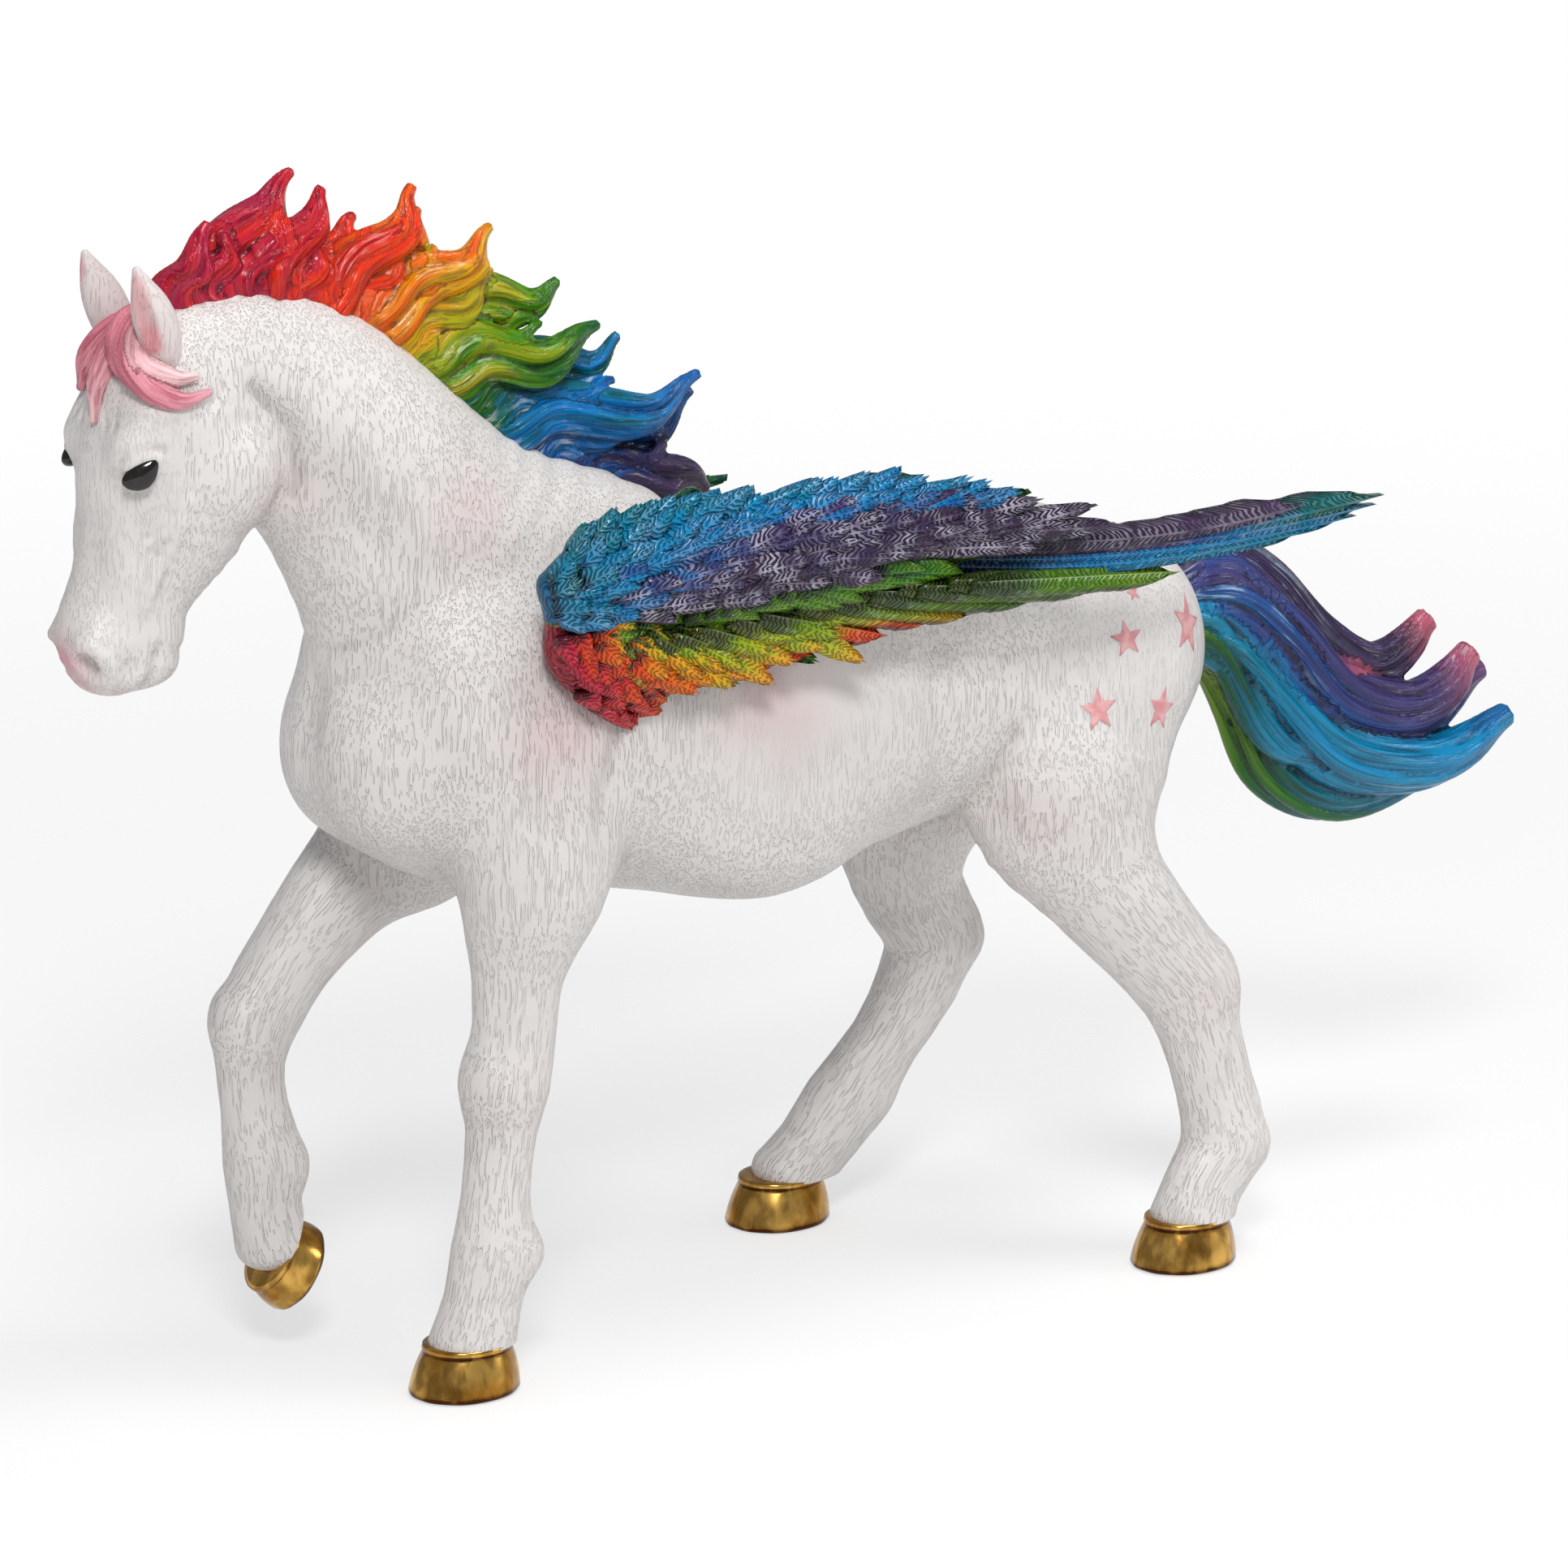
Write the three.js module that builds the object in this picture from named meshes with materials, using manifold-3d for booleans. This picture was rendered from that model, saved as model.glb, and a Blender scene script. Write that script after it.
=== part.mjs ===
import * as THREE from "three";
import { mergeVertices } from "three/addons/utils/BufferGeometryUtils.js";
import Module from "manifold-3d";

// Cast figurine of a walking winged horse, in pieces that plug together.
// Millimetres, +Z up. The head points to -X and the left side to -Y.

// Fits
const CLEARANCE = 0.3;
const LEG_PEG = { radius: 1.7, reach: 4.5, root: 3 };
const NECK_PEG = { radius: 2.6, reach: 6, root: 3 };
const TAIL_PEG = { radius: 1.1, reach: 5, root: 3 };
const WING_PEG = { radius: 1.6, reach: 6, root: 1.4 };
const HOOF_PEG = { radius: 1.3, reach: 2, root: 2 };
const EAR_PEG = { radius: 0.7, reach: 2, root: 1.2 };
const HAIR_PEG = { radius: 0.8, reach: 2.6, root: 1.4 };

// Mesh fineness
const BODY_SIDES = 20;
const LIMB_SIDES = 12;
const HAIR_SIDES = 6;
const FEATHER_SIDES = 4;
const HOOF_SIDES = 18;
const EAR_SIDES = 10;
const BALL_SIDES = 12;
const BALL_ROWS = 8;
const BODY_CAP_RINGS = 2;
const CAP_RINGS = 1;
const CAP_ROUNDNESS = 0.75;
const SPACE = 400;

// Hooves
const GROUND_HOOF = { height: 4.7, soleRadius: 5.4, topRadius: 4.3, lean: 0.5 };
const RAISED_HOOF = { height: 3.8, soleRadius: 4.3, topRadius: 3.7, lean: 0.2 };
const HOOF_NARROWING = 0.86;
const CORONET_RIDGE = 0.25;
const CORONET_BAND = 0.6;

// Main sizes: withers to croup, coronet to stifle, and across the barrel
const BACK_LENGTH = 62;
const LEG_LENGTH = 33;
const BODY_BREADTH = 31.2;

// Where the back and the legs start, and the sizes at which the places below were taken from the photograph
const WITHERS = 13;
const CORONET = 4;
const TAKEN_AT = { backLength: 62, legLength: 33, bodyBreadth: 31.2 };

/** Lengthens one stretch of an axis; what lies beyond it moves along. */
const stretch = (value, start, taken, length) => (
  value + (length - taken) * THREE.MathUtils.clamp((value - start) / taken, 0, 1));
const BREADTH_SHARE = BODY_BREADTH / TAKEN_AT.bodyBreadth;

/** Place in the model of a point that was taken from the photograph. */
const place = (x, y, z) => new THREE.Vector3(
  stretch(x, WITHERS, TAKEN_AT.backLength, BACK_LENGTH),
  y * BREADTH_SHARE,
  stretch(z, CORONET, TAKEN_AT.legLength, LEG_LENGTH),
);

// A station is a section of a limb: its centre, its half size front to back and side to side.
const at = (x, y, z, depth, width) => ({ centre: place(x, y, z), depth, width: width * BREADTH_SHARE });

const TORSO = [
  at(-4.5, 0, 60.6, 8.6, 6.8),
  at(-0.5, 0, 60.3, 12.4, 10.6),
  at(5, 0, 60.4, 15.4, 12.6),
  at(13, 0, 60.4, 17, 14),
  at(23, 0, 59.6, 17.5, 15),
  at(34, 0, 57, 17, 15.6),
  at(46, 0, 57.4, 15.2, 15.4),
  at(57, 0, 58.3, 13.8, 14.6),
  at(68, 0, 58.2, 12.8, 14.2),
  at(75.2, 0, 56.6, 11.6, 12.6),
  at(80.2, 0, 56, 9, 8.8),
];

const NECK = [
  at(13, 0, 62, 19, 10.5),
  at(7, 0, 69.8, 17.1, 10.2),
  at(1.2, 0, 77.2, 13, 8.8),
  at(-4.9, 0, 85, 10.8, 7.6),
  at(-11, 0, 91, 9.9, 6.6),
  at(-17, 0, 95, 7.8, 5.9),
  at(-22, 0, 96.4, 5.2, 5.2),
];

const HEAD = [
  at(-21.8, 0, 97.2, 5.2, 5),
  at(-23.6, 0, 93.6, 7.2, 6.5),
  at(-23.6, 0, 88.6, 8.6, 6.8),
  at(-24.2, 0, 84, 8.4, 6.1),
  at(-26.2, 0, 80, 6.9, 4.8),
  at(-28, 0, 76.4, 5.8, 4),
  at(-29, 0, 73, 6, 4.2),
  at(-28.6, 0, 70.4, 5, 3.8),
];

const LEGS = {
  left_front: [
    at(10, -7.5, 58, 8, 5.6),
    at(7.6, -9.3, 50, 6.9, 5.4),
    at(5.6, -9.9, 42, 4.7, 4.1),
    at(5.3, -9.6, 34, 4, 3.4),
    at(4.4, -9.5, 28, 4.1, 3.5),
    at(3.8, -9.5, 24, 3.4, 2.9),
    at(3.2, -9.4, 18, 3.3, 2.7),
    at(2.8, -9.4, 12.7, 4, 3.3),
    at(1.8, -9.3, 8.3, 3.8, 3),
    at(0.6, -9.25, 4, 4.2, 3.7),
  ],
  right_front: [
    at(8, 7.5, 56, 8, 5.6),
    at(4.6, 9, 48.4, 6.6, 5.4),
    at(-2, 9.5, 42.2, 5, 4.6),
    at(-6.8, 9.5, 37.4, 4.2, 3.8),
    at(-10, 9.4, 33, 4.1, 3.5),
    at(-11.3, 9.3, 28.6, 3.3, 2.9),
    at(-11, 9.2, 24, 3.2, 2.7),
    at(-10.2, 9.1, 18.8, 3.9, 3.2),
    at(-10.2, 9, 14.8, 3.4, 2.9),
    at(-9.4, 9, 11, 3.6, 3.4),
  ],
  left_hind: [
    at(64.6, -11, 46.4, 5.6, 5),
    at(66, -11.9, 42, 6.6, 5.2),
    at(69, -12.9, 37.2, 6, 4.8),
    at(73, -13.6, 32.3, 5.3, 4.2),
    at(76.6, -14.2, 27.6, 4.9, 3.7),
    at(78.3, -14.7, 23, 4.2, 3.2),
    at(79.9, -15.2, 17, 4, 3),
    at(80.9, -15.6, 11, 4.3, 3.5),
    at(78.4, -15.9, 7.4, 4, 3.3),
    at(76.9, -16, 4, 4.2, 3.8),
  ],
  right_hind: [
    at(64, 11, 47, 6.4, 5),
    at(63.2, 12, 41.5, 7.2, 5.6),
    at(63.2, 12.8, 36.5, 6.3, 5.2),
    at(64.9, 13.4, 31.6, 5.3, 4.4),
    at(67.6, 14, 26.8, 4.8, 3.8),
    at(66.4, 14.5, 22, 4.4, 3.4),
    at(62.8, 15, 16.4, 3.7, 3),
    at(58.2, 15.5, 10.6, 4.3, 3.4),
    at(55, 15.9, 6.8, 3.8, 3.3),
    at(52.4, 16.1, 4, 4.1, 3.8),
  ],
};

// Hip and stifle, which the hind legs grow out of
const THIGHS = {
  left_hind: [
    at(71.6, -7.5, 58, 8.4, 6),
    at(67.6, -9.6, 50, 10, 6.6),
    at(64.8, -11.2, 44, 8.2, 6),
    at(65.4, -12, 40.8, 5.4, 4.6),
  ],
  right_hind: [
    at(73, 7.5, 58, 8.4, 6),
    at(68.4, 9.6, 49, 10.2, 6.4),
    at(65, 11.4, 42, 7.8, 6),
    at(64, 12.2, 38, 5.4, 4.8),
  ],
};

// Hooves stand under the last leg station: place of the sole's centre and tilt about Y, in degrees.
const HOOVES = {
  left_front: { sole: place(-0.3, -9.25, 0), tilt: 0, size: GROUND_HOOF },
  right_front: { sole: place(-6.7, 9, 7.7), tilt: -58, size: RAISED_HOOF },
  left_hind: { sole: place(75.9, -16.05, 0), tilt: 0, size: GROUND_HOOF },
  right_hind: { sole: place(51, 16.1, 0), tilt: 0, size: GROUND_HOOF },
};

// Oval swellings of the right half of the head, with their half sizes
const swell = (x, y, z, length, breadth, height) => ({
  centre: place(x, y, z), length, breadth: breadth * BREADTH_SHARE, height,
});
const CHEEK = swell(-20.6, 3.6, 87.3, 5.8, 3.6, 6);
const BROW = swell(-29.1, 4.4, 90, 2.8, 2.2, 2.7);
const EYE = swell(-29.4, 5.1, 88.2, 2, 1.3, 1.6);

// Glue seams: a point on the seam and the direction of the piece that plugs in there.
const seam = (x, y, z, dx, dy, dz) => ({
  point: place(x, y, z),
  normal: new THREE.Vector3(dx, dy, dz).normalize(),
});
const NECK_SEAM = seam(2.8, 0, 74.4, -0.62, 0, 0.78);
const POLL_SEAM = seam(-16, 0, 94, -0.982, 0, -0.19);
const TAIL_SEAM = seam(85.4, 0, 60, 0.97, 0, -0.25);
const LEG_SEAMS = {
  left_front: seam(5.8, -9.8, 43.2, -0.1, 0, -1),
  right_front: seam(-0.6, 9.3, 43.6, -0.75, 0, -0.66),
  left_hind: seam(66.6, -12.2, 40.4, 0.25, 0, -1),
  right_hind: seam(64.2, 12.4, 38.6, 0, 0, -1),
};

// Ears, one side: base to tip
const EAR = [
  at(-26.2, 3.9, 98.2, 1.5, 1.3),
  at(-26.9, 4.2, 100.2, 2, 1.5),
  at(-27.9, 4.4, 102.6, 1.9, 1.2),
  at(-29, 4.5, 105.2, 0.9, 0.6),
];
const EAR_HOLLOW = [
  at(-28.6, 5.3, 100, 0.5, 0.5),
  at(-29, 5.4, 101.6, 1, 0.7),
  at(-29.4, 5.2, 103.6, 0.5, 0.4),
];

// Hair: each lock is a list of points with its half thickness
const FORELOCK = [
  [at(-24.8, 0.4, 100.2, 1.6, 1.9), at(-29, -1.6, 98.3, 1.9, 1.7), at(-29.4, -4.6, 95.8, 1.5, 1.2),
    at(-26.6, -6.6, 94.3, 1.1, 0.9), at(-23.6, -7, 95, 0.4, 0.4)],
  [at(-25, 0.6, 100, 1.6, 1.8), at(-29.6, 1.8, 97.6, 1.6, 1.5), at(-30.6, 2.8, 94.4, 0.8, 0.8)],
  [at(-26, 0, 99, 1.4, 1.6), at(-30.6, -0.2, 95.6, 1.1, 1), at(-31.4, -0.3, 92, 0.4, 0.4)],
];

const CREST = [
  at(-21.6, 0, 101.6, 2.6, 1.6),
  at(-14.6, 0, 103, 3.4, 1.9),
  at(-5, 0, 100.4, 3.8, 2),
  at(2.2, 0, 95.4, 4, 2),
  at(8.4, 0, 89.8, 4, 2),
  at(15.4, 0, 84, 3.2, 1.9),
  at(23.6, 0, 79, 1.6, 1.5),
];

const MANE_LOCKS = [
  [at(-22.6, -0.6, 102.4, 2.2, 1.7), at(-23, -1.4, 105.4, 1.8, 1.4), at(-20, -1.4, 108.6, 0.5, 0.5)],
  [at(-17.4, 0.4, 103, 3.2, 2), at(-15.8, 0.8, 106.8, 3, 1.8), at(-13.2, 0.6, 109.8, 1.8, 1.2),
    at(-10.4, 0.2, 112, 0.4, 0.4)],
  [at(-13, -1, 102.8, 2.6, 1.8), at(-11.4, -1.6, 105.8, 2.8, 1.6), at(-10, -1.4, 108.6, 2.1, 1.1),
    at(-8.6, -1, 110.6, 0.4, 0.4)],
  [at(-10, 0.8, 101.8, 2.8, 1.9), at(-6.7, 1.6, 104.4, 2.2, 1.5), at(-3.4, 1.8, 106.8, 0.6, 0.6)],
  [at(-6.6, -0.6, 101, 2.8, 1.9), at(-2.9, -1, 103.8, 2.4, 1.7), at(-0.8, -0.8, 106.7, 2.1, 1.2),
    at(0.8, -0.6, 109.4, 0.4, 0.4)],
  [at(-3.4, 0.8, 100.2, 2.4, 1.7), at(0.8, 1.6, 103.4, 2.3, 1.4), at(3.2, 1.8, 107, 0.6, 0.5)],
  [at(-1.8, -0.8, 98.4, 2.6, 1.8), at(3.5, -1.6, 101, 2.2, 1.6), at(5.8, -1.6, 102.8, 2.6, 1.2),
    at(8.6, -1.2, 105.2, 0.4, 0.4)],
  [at(2, 0.6, 95.6, 2.9, 2), at(7.5, 1, 97.5, 2.8, 1.8), at(12.9, 0.8, 97.8, 3.1, 1.3),
    at(16.8, 0.4, 98.6, 1.2, 0.5)],
  [at(5.2, -1, 92, 2.6, 1.9), at(11.3, -1.8, 93.2, 2.5, 1.7), at(17, -1.8, 94, 1.7, 1.2),
    at(20.2, -1.4, 94.6, 0.5, 0.4)],
  [at(8, 0.8, 89.4, 2.5, 1.8), at(15, 1.6, 90.6, 2.3, 1.5), at(20.2, 1.6, 91.2, 2.4, 1),
    at(23.6, 1.4, 92.9, 0.5, 0.4)],
  [at(10.6, -0.8, 86.4, 2.7, 1.9), at(16.9, -1.4, 87, 2.8, 1.8), at(23.9, -1.6, 87.2, 2.7, 1.4),
    at(30.8, -1.2, 88.8, 0.5, 0.4)],
  [at(16.2, 0.8, 82.6, 2.4, 1.7), at(21.9, 1.4, 83.4, 2.4, 1.6), at(27, 1.4, 84.6, 2.2, 1.2),
    at(31.4, 1, 86.8, 0.5, 0.4)],
  [at(20.6, -0.4, 80, 1.9, 1.5), at(25.3, -0.8, 80.9, 2.2, 1.5), at(29.4, -1, 80.4, 1.9, 1),
    at(31.9, -1, 77.8, 0.5, 0.4)],
];

const TAIL_LOCKS = [
  [at(85, 0, 62, 1.9, 2), at(96.8, 1.2, 60.7, 3, 2.2), at(104.6, 1.8, 54.2, 3, 2.2),
    at(111.8, 1.6, 50.6, 2.1, 1.8), at(117.4, 1.2, 52.6, 1.1, 0.6)],
  [at(85, 0, 61.2, 2, 2.2), at(96.1, -1.4, 55.6, 3, 2.4), at(104.1, -1.2, 48.6, 3.1, 2.4),
    at(114.6, -0.4, 46.6, 2.6, 1.8), at(120, 0, 49, 1.6, 1), at(122.4, 0, 50.5, 0.7, 0.5)],
  [at(85.2, 0, 60.4, 2, 2.2), at(96, 1.6, 52.8, 3, 2.4), at(104, 2.2, 45.6, 3.1, 2.4),
    at(116, 2, 44.4, 3, 1.8), at(126, 1.6, 47.6, 1.7, 0.6)],
  [at(85.4, 0, 59.6, 2, 2.2), at(94.7, -1.4, 50.9, 3.1, 2.4), at(103.2, -1.8, 43.2, 3.2, 2.4),
    at(115.3, -1.4, 41, 3, 2), at(127.8, -0.8, 42.6, 0.9, 0.7)],
  [at(85.8, 0, 58.8, 1.9, 2), at(93.5, 0.6, 49.6, 2.4, 2.2), at(98.5, 1, 42.1, 2.7, 2.2),
    at(106.4, 0.8, 37.8, 2.5, 2), at(117.4, 0.4, 38.4, 2.2, 1.4), at(125.1, 0.2, 40.4, 0.6, 0.5)],
];

// Wing, left side
const WING_ARM = [
  at(4.8, -17.5, 75.1, 2.4, 1.8),
  at(9.2, -18.5, 77.4, 4, 2.7),
  at(17.8, -19.5, 77.5, 4.8, 2.9),
  at(28.4, -20.5, 77.5, 4.6, 2.7),
  at(39.1, -21.5, 77.6, 4, 2.2),
  at(48.2, -22.5, 76.8, 2.9, 1.6),
  at(56.4, -24, 75.8, 1.7, 0.9),
];
const WING_ROOT = [
  at(15.4, -12.4, 64.9, 3.4, 2.6),
  at(12.2, -14.2, 67.4, 4.2, 3),
  at(9, -16, 70.6, 4.8, 2.9),
  at(7.4, -17.4, 73.6, 3.4, 2.4),
];
const WING_WEB = [
  at(13, -17, 69.6, 4.4, 1.3),
  at(26, -18.2, 71.4, 4.8, 1.1),
  at(42, -19.8, 72.6, 4, 1),
  at(58, -21.6, 73, 2.6, 0.9),
];
const TRAILING_EDGE = [
  place(18.7, -16, 64.2),
  place(32.2, -17.4, 66.2),
  place(47.8, -18.8, 68),
  place(68.8, -21, 69.7),
];
const SECONDARY_COUNT = 11;
const SECONDARY_LEAN = 1.6;
const INNER_SECONDARY = { run: 8, rise: 8 };
const OUTER_SECONDARY = { run: 21, rise: 5.6 };
const SECONDARY_HALF_BREADTH = 2.7;
const FEATHER_HALF_THICKNESS = 0.55;
const FEATHER_STEP = 0.18;
const PRIMARY_BASE = place(47, -21.6, 74.6);
const PRIMARY_TIPS = [
  place(81.2, -25.6, 74.2),
  place(89.4, -26.2, 74.9),
  place(87.6, -25.6, 73.4),
  place(83.6, -24.8, 72.2),
  place(79.4, -24, 70.6),
  place(72, -23, 69.7),
];
const PRIMARY_HALF_BREADTH = 1.7;
const PRIMARY_BASE_DROP = 0.7;
const WING_SEAM = seam(12, -14, 67.4, 0, -1, 0);
const RIGHT_WING_DROP = 43;
const RIGHT_WING_SPREAD = 10;

// Finishes
const finish = (color, roughness, metalness = 0) => new THREE.MeshStandardMaterial({ color, roughness, metalness });
const WHITE_PAINT = () => finish(0xeceae8, 0.55);
const ROSE_PAINT = () => finish(0xd48a98, 0.5);
const RAINBOW_PAINT = () => finish(0x2f8f9e, 0.35);
const GOLD_PAINT = () => finish(0xb08a3c, 0.3, 0.9);
const EYE_PAINT = () => finish(0x0c0c0e, 0.1);

const wasm = await Module();
wasm.setup();

const MIRROR = new THREE.Matrix4().makeScale(1, -1, 1);

/** Makes a solid of a closed geometry, moved or mirrored by a matrix. */
function solid(geometry, matrix = new THREE.Matrix4()) {
  geometry.deleteAttribute("normal");
  geometry.deleteAttribute("uv");
  geometry.applyMatrix4(matrix);
  const merged = mergeVertices(geometry);
  const index = merged.index.array;
  if (matrix.determinant() < 0) {
    for (let i = 0; i < index.length; i += 3) [index[i], index[i + 1]] = [index[i + 1], index[i]];
  }
  return new wasm.Manifold(new wasm.Mesh({
    numProp: 3,
    vertProperties: new Float32Array(merged.attributes.position.array),
    triVerts: new Uint32Array(index),
  }));
}

/** Turns a solid back into a named mesh. */
function meshOf(name, body, material) {
  const mesh = body.getMesh();
  const geometry = new THREE.BufferGeometry();
  geometry.setAttribute("position", new THREE.BufferAttribute(mesh.vertProperties, 3));
  geometry.setIndex(new THREE.BufferAttribute(mesh.triVerts, 1));
  geometry.computeVertexNormals();
  const piece = new THREE.Mesh(geometry, material);
  piece.name = name;
  return piece;
}

/** One oval section, square to a tangent, with its width along Y as far as the tangent allows. */
function ovalRing(centre, tangent, depth, width, sides, square) {
  const side = new THREE.Vector3(0, 1, 0).addScaledVector(tangent, -tangent.y).normalize();
  const across = new THREE.Vector3().crossVectors(tangent, side);
  const bend = (value) => Math.sign(value) * Math.abs(value) ** (2 / square);
  return Array.from({ length: sides }, (_, i) => {
    const angle = (2 * Math.PI * i) / sides;
    return centre.clone()
      .addScaledVector(side, bend(Math.cos(angle)) * width)
      .addScaledVector(across, bend(Math.sin(angle)) * depth);
  });
}

/** Closed skin over a row of equal rings, with a point at each end. */
function skin(start, rings, end) {
  const sides = rings[0].length;
  const points = [start, ...rings.flat(), end];
  const index = [];
  for (let i = 0; i < sides; i++) {
    const next = (i + 1) % sides;
    index.push(0, 1 + next, 1 + i);
    for (let r = 0; r < rings.length - 1; r++) {
      const a = 1 + r * sides;
      const b = a + sides;
      index.push(a + i, b + next, b + i, a + i, a + next, b + next);
    }
    const a = 1 + (rings.length - 1) * sides;
    index.push(a + i, a + next, points.length - 1);
  }
  const geometry = new THREE.BufferGeometry().setFromPoints(points);
  geometry.setIndex(index);
  return geometry;
}

/** Solid with rounded ends whose oval sections follow a smooth path through the stations. */
function loft(stations, { sides = LIMB_SIDES, steps = 2, capRings = CAP_RINGS, grow = 0, square = 2, matrix } = {}) {
  const path = new THREE.CatmullRomCurve3(stations.map((s) => s.centre), false, "centripetal");
  const sizes = new THREE.CatmullRomCurve3(
    stations.map((s) => new THREE.Vector3(s.depth + grow, s.width + grow, 0)), false, "centripetal");
  const count = (stations.length - 1) * steps;
  const rings = [];
  const cap = (t, direction) => {
    const centre = path.getPoint(t);
    const tangent = path.getTangent(t);
    const size = sizes.getPoint(t);
    const length = Math.min(size.x, size.y) * CAP_ROUNDNESS;
    for (let k = 1; k <= capRings; k++) {
      const turn = ((direction < 0 ? capRings + 1 - k : k) / (capRings + 1)) * (Math.PI / 2);
      const middle = centre.clone().addScaledVector(tangent, direction * length * Math.sin(turn));
      rings.push(ovalRing(middle, tangent, size.x * Math.cos(turn), size.y * Math.cos(turn), sides, square));
    }
    return centre.addScaledVector(tangent, direction * length);
  };
  const start = cap(0, -1);
  for (let i = 0; i <= count; i++) {
    const size = sizes.getPoint(i / count);
    rings.push(ovalRing(path.getPoint(i / count), path.getTangent(i / count), size.x, size.y, sides, square));
  }
  const end = cap(1, 1);
  return solid(skin(start, rings, end), matrix);
}

/** Joins solids. */
const join = (bodies) => bodies.reduce((sum, body) => sum.add(body));

/** Oval ball on one side of the middle plane. */
function ball({ centre, length, breadth, height }, side, grow = 0) {
  const geometry = new THREE.SphereGeometry(1, BALL_SIDES, BALL_ROWS);
  geometry.scale(length + grow, breadth + grow, height + grow);
  geometry.translate(centre.x, side * centre.y, centre.z);
  return solid(geometry);
}

/** Hexagonal peg from its root in the piece that plugs in, back across the seam by its reach. */
function peg(seat, { radius, reach, root }, grow = 0) {
  const outer = radius + grow / Math.cos(Math.PI / 6);
  const length = reach + root + 2 * grow;
  const geometry = new THREE.CylinderGeometry(outer, outer, length, 6);
  geometry.translate(0, root + grow - length / 2, 0);
  geometry.applyQuaternion(new THREE.Quaternion().setFromUnitVectors(new THREE.Vector3(0, 1, 0), seat.normal));
  geometry.translate(seat.point.x, seat.point.y, seat.point.z);
  return solid(geometry);
}

/** Hollow that a peg plugs into. */
const socket = (seat, size) => peg(seat, size, CLEARANCE);

/** The same seam, seen from its other side. */
const flipped = ({ point, normal }) => ({ point, normal: normal.clone().negate() });

/** Block that fills the space on one side of a seam. */
function halfSpace(cut, sign, distance) {
  const geometry = new THREE.BoxGeometry(SPACE, SPACE, SPACE);
  geometry.translate(0, 0, SPACE / 2 + distance);
  const direction = cut.normal.clone().multiplyScalar(sign);
  geometry.applyQuaternion(new THREE.Quaternion().setFromUnitVectors(new THREE.Vector3(0, 0, 1), direction));
  geometry.translate(cut.point.x, cut.point.y, cut.point.z);
  return solid(geometry);
}
const before = (cut) => halfSpace(cut, -1, 0);
const after = (cut) => halfSpace(cut, 1, CLEARANCE);

// White body
const BODY_LOFT = { sides: BODY_SIDES, capRings: BODY_CAP_RINGS };
const bothSides = (swelling, grow) => [1, -1].map((side) => ball(swelling, side, grow));
const torsoForm = (grow = 0) => loft(TORSO, { ...BODY_LOFT, grow });
const neckForm = (grow = 0) => loft(NECK, { ...BODY_LOFT, grow });

/** Skull and muzzle with the cheek and brow swellings of both sides. */
function headForm(grow = 0) {
  const swellings = [CHEEK, BROW].flatMap((swelling) => bothSides(swelling, grow));
  return join([loft(HEAD, { ...BODY_LOFT, square: 2.3, grow }), ...swellings]);
}
const bodyForm = (grow) => join([torsoForm(grow), neckForm(grow), headForm(grow)]);

/** Where a hoof meets its leg, seen from the hoof. */
function hoofSeam({ sole, tilt, size }) {
  const turn = new THREE.Matrix4().makeRotationY(THREE.MathUtils.degToRad(tilt));
  turn.setPosition(sole);
  return {
    point: new THREE.Vector3(size.lean, 0, size.height).applyMatrix4(turn),
    normal: new THREE.Vector3(0, 0, 1).transformDirection(turn),
  };
}

/** Hoof in its own frame: sole on z = 0, toe to -X, wider at the sole, with a ridge round the coronet. */
function hoof(size) {
  const { height, soleRadius, topRadius, lean } = size;
  const ridge = topRadius + CORONET_RIDGE;
  const profile = [
    [0, 0], [soleRadius, 0], [topRadius, height - CORONET_BAND], [ridge, height - 0.8 * CORONET_BAND],
    [ridge, height - 0.3 * CORONET_BAND], [topRadius, height], [0, height],
  ].map(([radius, z]) => new THREE.Vector2(radius, z));
  const geometry = new THREE.LatheGeometry(profile, HOOF_SIDES);
  geometry.rotateX(Math.PI / 2);
  geometry.scale(1, HOOF_NARROWING, 1);
  geometry.applyMatrix4(new THREE.Matrix4().makeShear(0, 0, 0, 0, lean / height, 0));
  const top = { point: new THREE.Vector3(lean, 0, height), normal: new THREE.Vector3(0, 0, 1) };
  return solid(geometry).subtract(socket(top, HOOF_PEG));
}

/** Whole leg with its thigh, before it is split at the seams. */
const legForm = (name) => (name in THIGHS ? loft(LEGS[name]).add(loft(THIGHS[name])) : loft(LEGS[name]));

/** Leg from its seam on the body down to the coronet, with a peg at each end. */
function leg(name) {
  const ankle = hoofSeam(HOOVES[name]);
  return legForm(name)
    .intersect(after(LEG_SEAMS[name]))
    .intersect(after(ankle))
    .subtract(torsoForm(CLEARANCE))
    .add(peg(LEG_SEAMS[name], LEG_PEG))
    .add(peg(ankle, HOOF_PEG));
}

/** Leaf shape of an ear. */
const earForm = (side, grow = 0) => loft(EAR, { sides: EAR_SIDES, grow, matrix: side < 0 ? MIRROR : undefined });

/** Ear with a hollow front and a peg into the poll. */
function ear(side) {
  const hollow = loft(EAR_HOLLOW, { sides: EAR_SIDES, matrix: side < 0 ? MIRROR : undefined });
  return earForm(side)
    .subtract(hollow)
    .subtract(headForm(CLEARANCE))
    .add(peg(earSeam(side), EAR_PEG));
}
const earSeam = (side) => ({
  point: EAR[0].centre.clone().multiply(new THREE.Vector3(1, side, 1)),
  normal: EAR[1].centre.clone().sub(EAR[0].centre).multiply(new THREE.Vector3(1, side, 1)).normalize(),
});

const bothEars = (grow) => earForm(-1, grow).add(earForm(1, grow));

// Hair
const locks = (list) => join(list.map((stations) => loft(stations, { sides: HAIR_SIDES })));

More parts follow.
